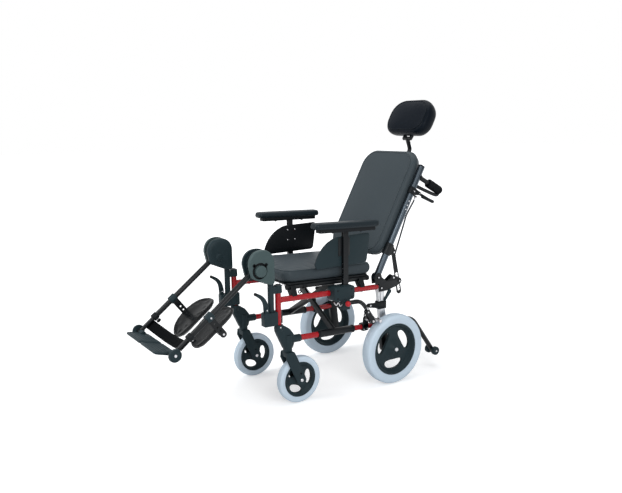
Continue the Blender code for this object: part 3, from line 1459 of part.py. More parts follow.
# Headrest
def headrest():
    middle = BAR_B + BAR_THICK / 2
    path = [(middle, BAR_LOW), (middle, BAR_BEND), (TILT_B, TILT_A)]
    bar = extruded(strip(path, BAR_THICK), -BAR_HALF_X, BAR_HALF_X)
    tilt = in_back(0.0, TILT_A, TILT_B)
    half = Vector((BARREL_HALF_X, 0.0, 0.0))
    barrel = rod(tilt - half, tilt + half, TILT_R)
    reach = half + Vector((SEAT_GAP + EAR_THICK, 0.0, 0.0))
    pin = rod(tilt - reach, tilt + reach, TILT_PIN_R)
    slide_origin = in_back(0.0, CROSSBAR_HIGH_A, middle)
    finish(fused(bar, barrel, pin), "headrest_bar", "black_metal", slide_origin, BACK)
    low = HEADREST_A - HEADREST_HALF_A
    pad = cushion(
        (-HEADREST_HALF_X, low),
        (HEADREST_HALF_X, HEADREST_A + HEADREST_HALF_A),
        HEADREST_CORNER,
        HEADREST_SIDE_DEPTH,
        HEADREST_CROWN_DEPTH,
        HEADREST_DRAW_IN,
        4,
    )
    pad.data.transform(Matrix.Translation((0.0, HEADREST_REAR_B, 0.0)) @ ALONG_Y)
    ears = []
    for side in (-1.0, 1.0):
        inner = side * (BARREL_HALF_X + SEAT_GAP)
        root = low + TILT_R * 3
        outline = [(HEADREST_REAR_B - PIN_HEAD, root), (TILT_B - TILT_R, root)]
        outline += arc((TILT_B, TILT_A), TILT_R, 180.0, 360.0, 7)
        bore = circle((TILT_B, TILT_A), TILT_PIN_R + ROUND_GAP)
        ends = sorted((inner, inner + side * EAR_THICK))
        ears.append(extruded(outline, ends[0], ends[1], holes=[bore]))
    finish(fused(pad, *ears), "headrest_pad", "navy_vinyl", tilt, BACK)


# Legrest hangers
def housing_outline(share=1.0):
    """The rounded D of the knee housing, seen from the side, shrunk about its middle by a share."""
    outline = arc((0.0, 0.0), HOUSING_REAR, -20.0, 90.0, 6)
    nose = HOUSING_FRONT - HOUSING_REAR * 0.2
    depth = HOUSING_TOP - HOUSING_LOW
    middle = (HOUSING_TOP + HOUSING_LOW) / 2
    for angle in (112.0, 140.0, 165.0, 190.0, 215.0, 240.0, 262.0):
        turn = math.radians(angle)
        outline.append((-nose * 0.5 * math.cos(turn) + nose * 0.5, middle + depth / 2 * math.sin(turn)))
    outline.append((HOUSING_REAR * 0.7, HOUSING_LOW * 0.9))
    centre = Vector((HOUSING_FRONT * 0.25, middle))
    return [tuple(centre + (Vector(point) - centre) * share) for point in outline]


def housing_shell(stations):
    """A lofted side of the housing: (x, share of the outline) from its flat face to its outer face."""
    rings = []
    for x, share in stations:
        rings.append([(x, KNEE_Y + y, KNEE_Z + z) for y, z in housing_outline(share)])
    middle = (HOUSING_TOP + HOUSING_LOW) / 2
    return loft(rings, (stations[-1][0], KNEE_Y + HOUSING_FRONT * 0.25, KNEE_Z + middle))


def hangers():
    """Swing-away hanger: upright tube, cap with pin, latch block, inner knee cheek and knee pin."""
    stem = rod((HANGER_X, HANGER_Y, HANGER_BOTTOM), (HANGER_X, HANGER_Y, HANGER_TOP), HANGER_R)
    cap_low = UPRIGHT_TOP + SEAT_GAP
    cap = rod((FRAME_X, UPRIGHT_Y, cap_low), (FRAME_X, UPRIGHT_Y, CAP_TOP), CAP_R)
    bridge_top = CAP_TOP - SWING_EAR
    bridge = box((FRAME_X - HANGER_R, HANGER_Y, cap_low), (FRAME_X + HANGER_R, UPRIGHT_Y, bridge_top))
    pin_low = (FRAME_X, UPRIGHT_Y, UPRIGHT_TOP - CAP_PIN_DEPTH)
    pin = rod(pin_low, (FRAME_X, UPRIGHT_Y, bridge_top), CAP_PIN_R)
    latch = extruded(
        rounded_rectangle(
            (FRAME_X - LATCH_HALF_X, LATCH_FRONT), (FRAME_X + LATCH_HALF_X, LATCH_REAR), LATCH_CORNER, 3
        ),
        LATCH_BOTTOM,
        LATCH_TOP,
        ALONG_Z,
    )
    rounding = CHEEK_X - CHEEK_INNER_X
    cheek = housing_shell(
        (
            (CHEEK_X, 1.0),
            (CHEEK_INNER_X + rounding * 0.5, 0.97),
            (CHEEK_INNER_X + rounding * 0.15, 0.84),
            (CHEEK_INNER_X, 0.6),
        )
    )
    web = box(
        (CHEEK_X - rounding * 0.2, KNEE_Y + SEAT_GAP, KNEE_Z + HOUSING_LOW * 0.9),
        (COVER_X - SEAT_GAP, HANGER_Y + HANGER_R * 0.6, KNEE_Z - KNEE_DISC_R - WEB_ROOM),
    )
    knee = (KNEE_Y, KNEE_Z)
    knee_pin = rod((CHEEK_X - rounding * 0.3, *knee), (COVER_X + KNEE_PIN_R, *knee), KNEE_PIN_R)
    inner_ear = SWING_X - SWING_THICK / 2 - SEAT_GAP
    outer_ear = SWING_X + SWING_THICK / 2 + SEAT_GAP
    eye = (SWING_PIVOT_Y, SWING_PIVOT_Z)
    outline = [(eye[0] + SWING_EYE_R, LATCH_TOP - SWING_EAR), *arc(eye, SWING_EYE_R, 0.0, 180.0, 6)]
    outline.append((eye[0] - SWING_EYE_R, LATCH_TOP - SWING_EAR))
    ears = [
        extruded(outline, inner_ear - SWING_EAR, inner_ear),
        extruded(outline, outer_ear, outer_ear + SWING_EAR),
    ]
    lever_pin = rod((inner_ear - SWING_EAR / 2, *eye), (outer_ear + SWING_EAR / 2, *eye), SWING_PIN_R)
    body = fused(stem, cap, bridge, pin, latch, cheek, web, knee_pin, *ears, lever_pin)
    bore_low = (FRAME_X, UPRIGHT_Y, LATCH_BOTTOM - SWING_EAR)
    bore_top = (FRAME_X, UPRIGHT_Y, LATCH_TOP + SWING_EAR)
    upright_bore = rod(bore_low, bore_top, TUBE_R + ROUND_GAP, RAIL_SIDES)
    finish_pair(cut(body, upright_bore), "hanger", "black_metal", (FRAME_X, UPRIGHT_Y, CAP_TOP))


def knee_covers():
    """The outer half of the knee housing, with a round knob sunk in a dished recess."""
    rounding = COVER_OUTER_X - COVER_X
    shell = housing_shell(((COVER_X, 1.0), (COVER_X + rounding * 0.6, 0.98), (COVER_OUTER_X, 0.88)))
    floor = COVER_OUTER_X - KNOB_RECESS_DEPTH
    knob_at = (KNOB_Y, KNOB_Z)
    recess = rod((floor, *knob_at), (COVER_OUTER_X + rounding, *knob_at), KNOB_RECESS_R, CASTOR_STEPS)
    tube_top = (HANGER_X, HANGER_Y, HANGER_TOP + SEAT_GAP)
    tube_room = rod((HANGER_X, HANGER_Y, HANGER_BOTTOM), tube_top, HANGER_R + SEAT_GAP)
    pin_reach = KNEE_PIN_R + ROUND_GAP
    knee = (KNEE_Y, KNEE_Z)
    pin_room = rod((COVER_X - pin_reach, *knee), (COVER_X + pin_reach, *knee), pin_reach)
    shell = cut(shell, recess, tube_room, pin_room)
    knob_root = (floor - PIN_HEAD, *knob_at)
    knob = rod(knob_root, (COVER_OUTER_X, *knob_at), KNOB_R, RAIL_SIDES, KNOB_R * 0.9)
    finish_pair(fused(shell, knob), "knee_cover", "grey_plastic", (COVER_X, KNEE_Y, KNEE_Z))


def swing_levers():
    pivot = (SWING_PIVOT_Y, SWING_PIVOT_Z)
    outline = capsule(pivot, (SWING_TIP_Y, SWING_TIP_Z), SWING_EYE_R * 0.9, SWING_EYE_R * 0.7)
    bore = circle(pivot, SWING_PIN_R + ROUND_GAP, 8)
    half = SWING_THICK / 2
    lever = extruded(outline, SWING_X - half, SWING_X + half, holes=[bore])
    finish_pair(lever, "swing_lever", "black_plastic", (SWING_X, *pivot))


# Elevating legs
def in_leg(x, along, behind):
    """A point of the leg before it is raised: across, down from the knee and behind the tube."""
    return Vector((x, behind, -along))


def leg_tubes():
    """Knee disc, outer tube, calf collar with its drilled bar, and the clamp collar with its knob."""
    disc = rod((CHEEK_X + SEAT_GAP, 0.0, 0.0), (COVER_X - SEAT_GAP, 0.0, 0.0), KNEE_DISC_R, CASTOR_STEPS)
    stem = rod(in_leg(LEG_X, KNEE_PIN_R * 2, 0.0), in_leg(LEG_X, LEG_END, 0.0), LEG_R)
    collar_top = in_leg(LEG_X, CALF_AT - CALF_COLLAR_HALF, 0.0)
    collar = rod(collar_top, in_leg(LEG_X, CALF_AT + CALF_COLLAR_HALF, 0.0), CALF_COLLAR_R)
    clamp_top = in_leg(LEG_X, LEG_END - CLAMP_COLLAR_LENGTH, 0.0)
    clamp = rod(clamp_top, in_leg(LEG_X, LEG_END, 0.0), CLAMP_COLLAR_R)
    knob_at = LEG_END - CLAMP_COLLAR_LENGTH / 2
    knob = rod(
        in_leg(LEG_X, knob_at, CLAMP_KNOB_REACH - CLAMP_KNOB_R),
        in_leg(LEG_X, knob_at, CLAMP_KNOB_REACH),
        CLAMP_KNOB_R,
        8,
    )
    stud = rod(in_leg(LEG_X, knob_at, FOOT_R), in_leg(LEG_X, knob_at, CLAMP_KNOB_REACH), CALF_PIN_R, 8)
    bar_x = calf_bar_x()
    bar_outline = [
        (0.0, -CALF_AT - CALF_BAR_HALF),
        *arc((CALF_BAR_END - CALF_BAR_HALF, -CALF_AT), CALF_BAR_HALF, -90.0, 90.0, 7),
        (0.0, -CALF_AT + CALF_BAR_HALF),
    ]
    holes = []
    for index in range(CALF_HOLES):
        behind = CALF_PIVOT - CALF_HOLE_PITCH * (index + 1)
        holes.append(circle((behind, -CALF_AT), CALF_HOLE_R, 8))
    bar = extruded(bar_outline, bar_x - CALF_BAR_THICK, bar_x, holes=holes)
    pin_end = in_leg(calf_boss_outer() - CALF_PIN_REACH, CALF_AT, CALF_PIVOT)
    calf_pin = rod(in_leg(bar_x, CALF_AT, CALF_PIVOT), pin_end, CALF_PIN_R)
    leg = fused(stem, disc, collar, clamp, stud, knob, bar, calf_pin)
    knee_bore = rod((CHEEK_INNER_X, 0.0, 0.0), (COVER_OUTER_X, 0.0, 0.0), KNEE_PIN_R + ROUND_GAP)
    foot_bore = rod(in_leg(LEG_X, LEG_BORE_TOP, 0.0), in_leg(LEG_X, LEG_END + LEG_R, 0.0), FOOT_R + ROUND_GAP)
    finish_pair(cut(leg, knee_bore, foot_bore), "leg_tube", "black_metal", (LEG_X, 0.0, 0.0), KNEE)


def calf_bar_x():
    return LEG_X - LEG_R


def calf_boss_outer():
    return calf_bar_x() - CALF_BAR_THICK - SEAT_GAP


def calf_pads():
    """Oval calf pads that wrap round the leg, each with a boss on its back for the bracket's pin."""
    bm = bmesh.new()
    bmesh.ops.create_uvsphere(bm, u_segments=18, v_segments=8, radius=1.0)
    for vert in bm.verts:
        x, y, z = vert.co
        fullness = math.sqrt(max(1.0 - abs(y) ** 3, 0.0)) if abs(y) < 1.0 else 0.0
        width = CALF_PAD_HALF_X * x * (1.0 + 0.12 * fullness * z * z)
        behind = CALF_PAD_PERP + CALF_PAD_THICK / 2 * y - CALF_PAD_WRAP_DEPTH * x * x
        vert.co = in_leg(CALF_PAD_X + width, CALF_AT + CALF_PAD_HALF_Z * z, behind)
    pad = from_bmesh(bm)
    boss = box(
        in_leg(CALF_BOSS_X, CALF_AT + CALF_BOSS_HALF, CALF_PAD_PERP),
        in_leg(calf_boss_outer(), CALF_AT - CALF_BOSS_HALF, CALF_PIVOT + CALF_BOSS_HALF),
    )
    bore = rod(
        in_leg(calf_boss_outer() - CALF_PIN_REACH - ROUND_GAP, CALF_AT, CALF_PIVOT),
        in_leg(LEG_X, CALF_AT, CALF_PIVOT),
        CALF_PIN_R + ROUND_GAP,
    )
    pivot = in_leg(CALF_PAD_X, CALF_AT, CALF_PIVOT)
    finish_pair(cut(fused(pad, boss), bore), "calf_pad", "grey_vinyl", pivot, KNEE)


def foot_tubes():
    """Telescoping inner tubes that end in the footplate's hinge eye."""
    stem = rod(in_leg(LEG_X, FOOT_TOP, 0.0), in_leg(LEG_X, FOOT_HINGE, 0.0), FOOT_R)
    hinge = in_leg(LEG_X, FOOT_HINGE, 0.0)
    half = Vector((FOOT_EYE_R, 0.0, 0.0))
    eye = rod(hinge - half, hinge + half, FOOT_EYE_R)
    bore = rod(hinge - half * 2, hinge + half * 2, FOOT_SHAFT_R + ROUND_GAP)
    finish_pair(cut(fused(stem, eye), bore), "foot_tube", "black_metal", hinge, KNEE)


def footplates():
    """Flip-up footplates: a plate with a raised rim, a shaft through the eye and a round end disc."""
    drop = math.radians(LEG_DROP)
    hinge = Vector((0.0, KNEE_Y - FOOT_HINGE * math.cos(drop), KNEE_Z - FOOT_HINGE * math.sin(drop)))
    plate = extruded(
        rounded_rectangle(
            (FOOTPLATE_INNER_X, -FOOTPLATE_FORWARD),
            (FOOTPLATE_OUTER_X, FOOTPLATE_BEHIND),
            FOOTPLATE_CORNER,
        ),
        -FOOTPLATE_THICK,
        0.0,
        ALONG_Z,
    )
    eye_inner = LEG_X - FOOT_EYE_R - SEAT_GAP
    eye_outer = LEG_X + FOOT_EYE_R + SEAT_GAP
    boss = rod((FOOTPLATE_OUTER_X - FOOT_DISC_R, 0.0, 0.0), (eye_inner, 0.0, 0.0), FOOT_EYE_R)
    disc_end = eye_outer + FOOT_DISC_THICK
    shaft = rod((eye_inner - FOOT_SHAFT_R, 0.0, 0.0), (eye_outer + FOOT_SHAFT_R, 0.0, 0.0), FOOT_SHAFT_R)
    disc = rod((eye_outer, 0.0, 0.0), (disc_end, 0.0, 0.0), FOOT_DISC_R, CASTOR_STEPS, FOOT_DISC_R * 0.9)
    whole = fused(plate, boss, shaft, disc)
    pitch = Matrix.Rotation(math.radians(-FOOTPLATE_PITCH), 4, "X")
    whole.data.transform(Matrix.Translation(hinge) @ pitch)
    finish_pair(whole, "footplate", "charcoal_plastic", (LEG_X, hinge.y, hinge.z))


def heel_straps():
    """Webbing that hooks round each foot tube and sags to the middle, where its halves meet."""
    radius = FOOT_R + ROUND_GAP + STRAP_THICK / 2
    path = arc((LEG_X, 0.0), radius, 0.0, 105.0, 7)
    leave = Vector(path[-1])
    for share in (0.3, 0.65, 1.0):
        sag = STRAP_SAG * math.sin(share * math.pi / 2)
        path.append((leave.x + (STRAP_MEET - leave.x) * share, leave.y + sag))
    strap = extruded(strip(path, STRAP_THICK), -STRAP_LOW, -STRAP_HIGH, ALONG_Z)
    finish_pair(strap, "heel_strap", "black_webbing", in_leg(LEG_X, STRAP_HIGH, 0.0), KNEE)


# Brakes
def brake_levers():
    """Hub on the mount's pin, shoe bar across the tyre and a bent lever with a ball end."""
    hub_x = FRAME_X + TUBE_R + BRAKE_CLAMP_WALL + SEAT_GAP
    pivot = brake_pivot()
    shoe = brake_shoe()
    half = WHEEL_TYRE_WIDTH / 2 - BRAKE_SHOE_INSET
    hub_end = BRAKE_LEVER_X + BRAKE_HUB_R - SEAT_GAP
    hub = rod((hub_x, *pivot), (hub_end, *pivot), BRAKE_HUB_R)
    bar = rod((WHEEL_X - half, *shoe), (WHEEL_X + half, *shoe), BRAKE_SHOE_R)
    link = capsule(pivot, shoe, BRAKE_SHOE_R * 0.7, BRAKE_SHOE_R * 0.7)
    arm = extruded(link, WHEEL_X - half + BRAKE_ARM_INSET, hub_end - BRAKE_ARM_INSET)
    stops = [
        (BRAKE_LEVER_X, *pivot),
        (BRAKE_LEVER_X, pivot[0] - BRAKE_KNEE_FORWARD, pivot[1] + BRAKE_KNEE_RISE),
        (BRAKE_LEVER_X, pivot[0] - BRAKE_BALL_FORWARD, pivot[1] + BRAKE_BALL_RISE),
    ]
    lever = tube(smooth_line(stops, 7), BRAKE_ROD_R, 2)
    knob = ball(stops[-1], BRAKE_BALL_R)
    bore = rod((FRAME_X, *pivot), (WHEEL_X + WHEEL_TYRE_WIDTH, *pivot), BRAKE_PIN_R + ROUND_GAP)
    brake = cut(fused(hub, bar, arm, lever, knob), bore)
    finish_pair(brake, "brake_lever", "black_metal", (BRAKE_LEVER_X, *pivot))


side_frames()
front_castings()
cross_brace()
seat()
armrest_receivers()
armrests()
back_brackets()
back_frame()
back_pad()
push_grips()
recline_levers()
recline_struts()
release_cables()
headrest()
anti_tip_rollers()
rear_wheels()
castors()
hangers()
knee_covers()
swing_levers()
leg_tubes()
calf_pads()
foot_tubes()
footplates()
heel_straps()
brake_levers()
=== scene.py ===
"""Looks of the reclining wheelchair: finishes, moulded and sewn pieces, floor, light and camera."""

import json
import math

import bmesh
import bpy
from mathutils import Matrix, Vector
from mathutils.bvhtree import BVHTree

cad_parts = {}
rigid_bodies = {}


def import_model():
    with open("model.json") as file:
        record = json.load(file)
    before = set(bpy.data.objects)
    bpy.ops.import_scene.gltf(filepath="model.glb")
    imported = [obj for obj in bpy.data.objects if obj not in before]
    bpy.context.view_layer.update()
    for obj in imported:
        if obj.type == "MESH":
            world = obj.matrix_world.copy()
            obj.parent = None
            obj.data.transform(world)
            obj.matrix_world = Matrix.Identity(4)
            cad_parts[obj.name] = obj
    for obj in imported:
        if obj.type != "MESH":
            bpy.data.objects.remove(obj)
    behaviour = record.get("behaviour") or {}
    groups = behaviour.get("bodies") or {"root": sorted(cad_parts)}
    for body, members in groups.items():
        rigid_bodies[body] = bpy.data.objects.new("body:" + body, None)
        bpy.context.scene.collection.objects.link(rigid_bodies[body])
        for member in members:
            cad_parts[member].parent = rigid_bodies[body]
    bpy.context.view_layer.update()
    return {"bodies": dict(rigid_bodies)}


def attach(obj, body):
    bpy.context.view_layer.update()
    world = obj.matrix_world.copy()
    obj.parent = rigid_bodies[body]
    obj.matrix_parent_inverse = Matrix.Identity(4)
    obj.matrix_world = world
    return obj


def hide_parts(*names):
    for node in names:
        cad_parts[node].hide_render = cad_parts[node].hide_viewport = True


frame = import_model()

# Overall layout
AXLE_Y = 0.3405
SLOPE = 0.0367
PIN_HEAD = 0.002

# Side frames
FRAME_X = 0.190
TUBE_R = 0.012
UPRIGHT_Y = -0.556
UPRIGHT_BOTTOM = 0.335
UPRIGHT_TOP = 0.482
TOP_RAIL_Z = 0.452
LOWER_RAIL_Z = 0.277
LOWER_RAIL_Y = UPRIGHT_Y + 0.086
RAIL_WELD = 0.004

# Axle posts and rear wheels
POST_WIDTH = 0.020
POST_DEPTH = 0.034
POST_TOP_Y = -0.031
POST_TOP_Z = 0.440
POST_BOTTOM_Z = 0.130
AXLE_R = 0.006
AXLE_CAP_R = 0.010
AXLE_CAP_THICK = 0.006
WHEEL_X = 0.249
WHEEL_R = 0.1575
WHEEL_RIM_R = 0.117
WHEEL_TYRE_WIDTH = 0.055
WHEEL_RIM_WIDTH = 0.046
WHEEL_HUB_R = 0.026
WHEEL_HUB_WIDTH = 0.050
WHEEL_WEB = 0.010
LENS_COUNT = 3
LENS_FIRST_ANGLE = 30.0
RIM_LIP = 0.010

# Castors
SWIVEL_Y = UPRIGHT_Y + 0.041
CASTOR_TRAIL = 0.052
CASTOR_R = 0.100
CASTOR_RIM_R = 0.075
CASTOR_TYRE_WIDTH = 0.036
CASTOR_RIM_WIDTH = 0.030
CASTOR_HUB_R = 0.016
CASTOR_HUB_WIDTH = 0.041
CASTOR_WEB = 0.008
CASTOR_PIN_R = 0.004
FORK_INNER = 0.021
FORK_BLADE = 0.006
FORK_CROWN_LOW = 0.206
FORK_CROWN_TOP = 0.229
FORK_CROWN_HALF = 0.020
FORK_EYE_R = 0.015
STEM_R = 0.006
STEM_TOP = 0.290

# Front leg castings
CASTING_HEAD_R = 0.019
CASTING_HEAD_TOP = 0.300
CASTING_SOCKET_R = 0.018
CASTING_SOCKET_TOP = 0.350
CASTING_WEB = 0.024

# Seat rails and cross brace
SEAT_RAIL_X = 0.170
SEAT_RAIL_R = 0.011
SEAT_RAIL_Z = 0.493
SEAT_RAIL_FRONT = -0.505
SEAT_RAIL_REAR = -0.080
SLEEVE_R = 0.0155
SLEEVE_FRONT = -0.366
SLEEVE_REAR = -0.178
ARM_WIDTH = 0.028
ARM_THICK = 0.012
BRACE_Y = -0.272
BRACE_TOP_X = 0.163
BRACE_HEAD_R = 0.010
BRACE_HEAD_THICK = 0.006
SADDLE_FRONT_Y = -0.480
SADDLE_REAR_Y = -0.130
SADDLE_LENGTH = 0.024
SADDLE_WALL = 0.004
SADDLE_CRADLE = 0.006

# Seat
BOARD_HALF_X = 0.182
BOARD_THICK = 0.007
BOARD_FRONT = -0.512
BOARD_REAR = -0.083
CUSHION_HALF_X = 0.186
CUSHION_FRONT = -0.522
CUSHION_REAR = -0.078
CUSHION_SIDE_HEIGHT = 0.046
CUSHION_CROWN_HEIGHT = 0.066
CUSHION_CORNER = 0.045
CUSHION_DRAW_IN = 0.012
BOARD_CORNER = 0.020

# Armrests
ARM_POST_X = 0.2165
ARM_POST_Y = -0.240
ARM_POST_WIDTH = 0.015
ARM_POST_DEPTH = 0.025
ARM_POST_BOTTOM = 0.370
RECEIVER_FRONT = -0.305
RECEIVER_REAR = -0.200
RECEIVER_BOTTOM = 0.412
RECEIVER_TOP = 0.472
RECEIVER_WALL = 0.004
RECEIVER_OUTER_WALL = 0.009
SOCKET_WALL = 0.005
SOCKET_BOTTOM = 0.368
ARM_PAD_X = 0.228
ARM_PAD_HALF_X = 0.026
ARM_PAD_FRONT = -0.414
ARM_PAD_REAR = -0.068
ARM_PAD_CROWN_HEIGHT = 0.050
ARM_PAD_FRONT_Z = 0.712
ARM_PAD_CORNER = 0.022
PANEL_THICK = 0.005
PANEL_TOP_FRONT = (-0.274, 0.683)
PANEL_NOSE = (-0.387, 0.577)
PANEL_HEEL = (-0.380, 0.557)
PANEL_REAR_LOW = (-0.118, 0.557)
PANEL_REAR_TOP = (-0.099, 0.686)
PANEL_ARC_SAG = 0.022

# Back
BACK_Y = -0.0465
BACK_Z = 0.478
BACK_RECLINE = 28.5
BACK_TUBE_HALF_X = 0.010
BACK_TUBE_HALF_B = 0.013
BACK_TUBE_LOW = -0.012
BACK_TUBE_TOP = 0.540
BACK_GROOVE_DEPTH = 0.002
BACK_GROOVE_HALF = 0.003
PIVOT_R = 0.005
BRACKET_THICK = 0.004
BRACKET_EDGE = 0.016
BRACKET_TOWER_R = 0.0195
BRACKET_BUMP_Z = 0.475
BRACKET_NOTCH_Z = 0.458
BRACKET_HEAD_R = 0.008
BRACKET_HEAD_THICK = 0.003
BRACKET_LIP = 0.003
BRACKET_SKIRT = 0.006
BRACKET_BUMP_REAR = 0.026
BRACKET_BUMP_FRONT = 0.042
BRACKET_NOTCH_REAR = 0.058
BRACKET_NOTCH_FRONT = 0.084
POST_BOLT_R = 0.004
POST_BOLT_Z = 0.428
LOCK_PIN_Y = 0.075
LOCK_PIN_Z = 0.447
LOCK_PIN_R = 0.004
STRUT_A = 0.135
STRUT_B = 0.0345
STRUT_THICK = 0.005
STRUT_HALF = 0.0125
STRUT_LENGTH = 0.200
STRUT_SLOT_START = 0.098
STRUT_SLOT_END = 0.185
STRUT_SLOT_HALF = 0.0065
STRUT_TEETH = 8
STRUT_TOOTH_DEPTH = 0.003
STRUT_TOOTH_LEAN = 0.75
STRUT_PIN_R = 0.004
LUG_THICK = 0.005
LUG_R = 0.010
COLLAR_LOW = 0.108
COLLAR_HIGH = 0.162
COLLAR_WALL = 0.003
CROSSBAR_LOW_A = 0.180
CROSSBAR_HIGH_A = 0.415
CROSSBAR_HALF = 0.015
CROSSBAR_FRONT_B = 0.0053
CROSSBAR_THICK = 0.0052
BACK_PAD_HALF_X = 0.165
BACK_PAD_LOW = 0.100
BACK_PAD_TOP = 0.590
BACK_PAD_REAR_B = 0.005
BACK_PAD_CORNER = 0.055

# Push handles, recline levers and release cables
HANDLE_A = 0.493
HANDLE_CORE_R = 0.0105
HANDLE_END_B = 0.162
HANDLE_ARM_A = 0.447
GRIP_END_B = 0.150
GRIP_RIB_DEPTH = 0.0015
LEVER_PIVOT_A = 0.428
LEVER_PIVOT_B = 0.045
LEVER_PIN_R = 0.003
LEVER_TIP_B = 0.141
LEVER_TIP_A = 0.437
LEVER_THICK = 0.006
LEVER_HALF = 0.005
PERCH_LOW = 0.405
PERCH_HIGH = 0.437
PERCH_EAR = 0.004
FERRULE_R = 0.0045
CABLE_END_GAP = 0.0008

# Headrest
BAR_HALF_X = 0.0125
BAR_B = 0.052
BAR_THICK = 0.006
BAR_LOW = 0.370
BAR_BEND = 0.650
CLAMP_HALF_X = 0.022
CLAMP_HALF_A = 0.020
CLAMP_WALL = 0.007
TILT_A = 0.688
TILT_B = 0.015
TILT_R = 0.009
TILT_PIN_R = 0.004
HEADREST_A = 0.783
HEADREST_HALF_A = 0.082
HEADREST_HALF_X = 0.130
HEADREST_REAR_B = 0.030
HEADREST_CROWN_DEPTH = 0.082
HEADREST_CORNER = 0.060
BARREL_HALF_X = 0.020
EAR_THICK = 0.006

# Legrest hangers
HANGER_X = 0.189
HANGER_Y = UPRIGHT_Y - 0.033
HANGER_R = 0.0125
HANGER_BOTTOM = 0.358
KNEE_Y = UPRIGHT_Y - 0.061
KNEE_Z = 0.612
HANGER_TOP = KNEE_Z - 0.072
LEG_DROP = 38.0
KNEE_PIN_R = 0.006
KNEE_DISC_R = 0.036
CHEEK_INNER_X = 0.143
CHEEK_X = 0.163
COVER_X = 0.1922
COVER_OUTER_X = 0.2095
HOUSING_FRONT = -0.080
HOUSING_REAR = 0.038
KNOB_Y = KNEE_Y - 0.017
KNOB_RECESS_DEPTH = 0.007
CAP_R = 0.017
CAP_TOP = 0.515
LATCH_FRONT = UPRIGHT_Y - 0.072
LATCH_REAR = UPRIGHT_Y + 0.020
LATCH_BOTTOM = 0.3525
LATCH_TOP = 0.408
LATCH_HALF_X = 0.019
LATCH_CORNER = 0.008
WEB_ROOM = 0.008
SWING_EYE_R = 0.008
SWING_PIVOT_Y = UPRIGHT_Y - 0.060
SWING_PIVOT_Z = 0.421
SWING_TIP_Y = UPRIGHT_Y - 0.107
SWING_TIP_Z = 0.492
SWING_X = 0.197
SWING_THICK = 0.007
SWING_PIN_R = 0.003
SWING_EAR = 0.005

# Elevating legs, calf pads and footplates
LEG_X = 0.176
LEG_R = 0.0115
LEG_END = 0.416
FOOT_R = 0.009
FOOT_TOP = 0.300
FOOT_HINGE = 0.491
CALF_AT = 0.300
CALF_COLLAR_HALF = 0.016
CALF_COLLAR_R = 0.0175
CALF_BAR_THICK = 0.004
CALF_BAR_HALF = 0.014
CALF_BAR_END = 0.118
CALF_HOLES = 3
CALF_HOLE_R = 0.004
CALF_HOLE_PITCH = 0.020
CALF_PIN_R = 0.004
CALF_PIN_REACH = 0.020
CALF_PIVOT = 0.104
CALF_BOSS_HALF = 0.010
CALF_BOSS_X = 0.120
CALF_PAD_X = 0.088
CALF_PAD_HALF_X = 0.066
CALF_PAD_HALF_Z = 0.108
CALF_PAD_THICK = 0.030
CALF_PAD_PERP = 0.086
CALF_PAD_WRAP_DEPTH = 0.022
CLAMP_COLLAR_R = 0.0155
CLAMP_COLLAR_LENGTH = 0.024
CLAMP_KNOB_R = 0.010
CLAMP_KNOB_REACH = 0.030
FOOT_EYE_R = 0.0115
FOOT_SHAFT_R = 0.007
FOOT_DISC_R = 0.026
FOOT_DISC_THICK = 0.012
FOOTPLATE_PITCH = 15.0
FOOTPLATE_INNER_X = 0.006
FOOTPLATE_OUTER_X = 0.160
FOOTPLATE_FORWARD = 0.066
FOOTPLATE_BEHIND = 0.028
FOOTPLATE_THICK = 0.009
FOOTPLATE_CORNER = 0.020
STRAP_HIGH = 0.418
STRAP_LOW = 0.462
STRAP_THICK = 0.0026
STRAP_SAG = 0.020

# Brakes
BRAKE_Z = 0.303
BRAKE_PIVOT_GAP = 0.030
BRAKE_PIN_R = 0.004
BRAKE_HUB_R = 0.009
BRAKE_SHOE_R = 0.007
BRAKE_SHOE_GAP = 0.006
BRAKE_SHOE_LEAD = 7.4
BRAKE_SHOE_INSET = 0.004
BRAKE_ARM_INSET = 0.003
BRAKE_CLAMP_HALF = 0.016
BRAKE_CLAMP_WALL = 0.004
BRAKE_PLATE = 0.006
BRAKE_LEVER_X = 0.250
BRAKE_ROD_R = 0.005
BRAKE_BALL_FORWARD = 0.131
BRAKE_BALL_RISE = 0.097
BRAKE_BALL_R = 0.012

# Anti-tip tubes
ANTI_TIP_R = 0.011
ANTI_TIP_Z = 0.258
ANTI_TIP_BEND_Y = 0.165
ANTI_TIP_BEND_R = 0.040
ANTI_TIP_WHEEL_EDGE = 0.003
ANTI_TIP_WHEEL_Y = 0.300
ANTI_TIP_WHEEL_Z = 0.075
ANTI_TIP_WHEEL_R = 0.020
ANTI_TIP_WHEEL_WIDTH = 0.018
ANTI_TIP_PIN_R = 0.004
ANTI_TIP_SIDE_GAP = 0.002

# Release cable: points across, up along the tube and rearward of it
CABLE_ROUTE = (
    (0.1900, 0.3885, 0.0345),
    (0.1900, 0.3143, 0.0257),
    (0.1885, 0.2765, 0.0315),
    (0.1820, 0.2010, 0.0474),
    (0.1795, 0.1311, 0.0592),
)

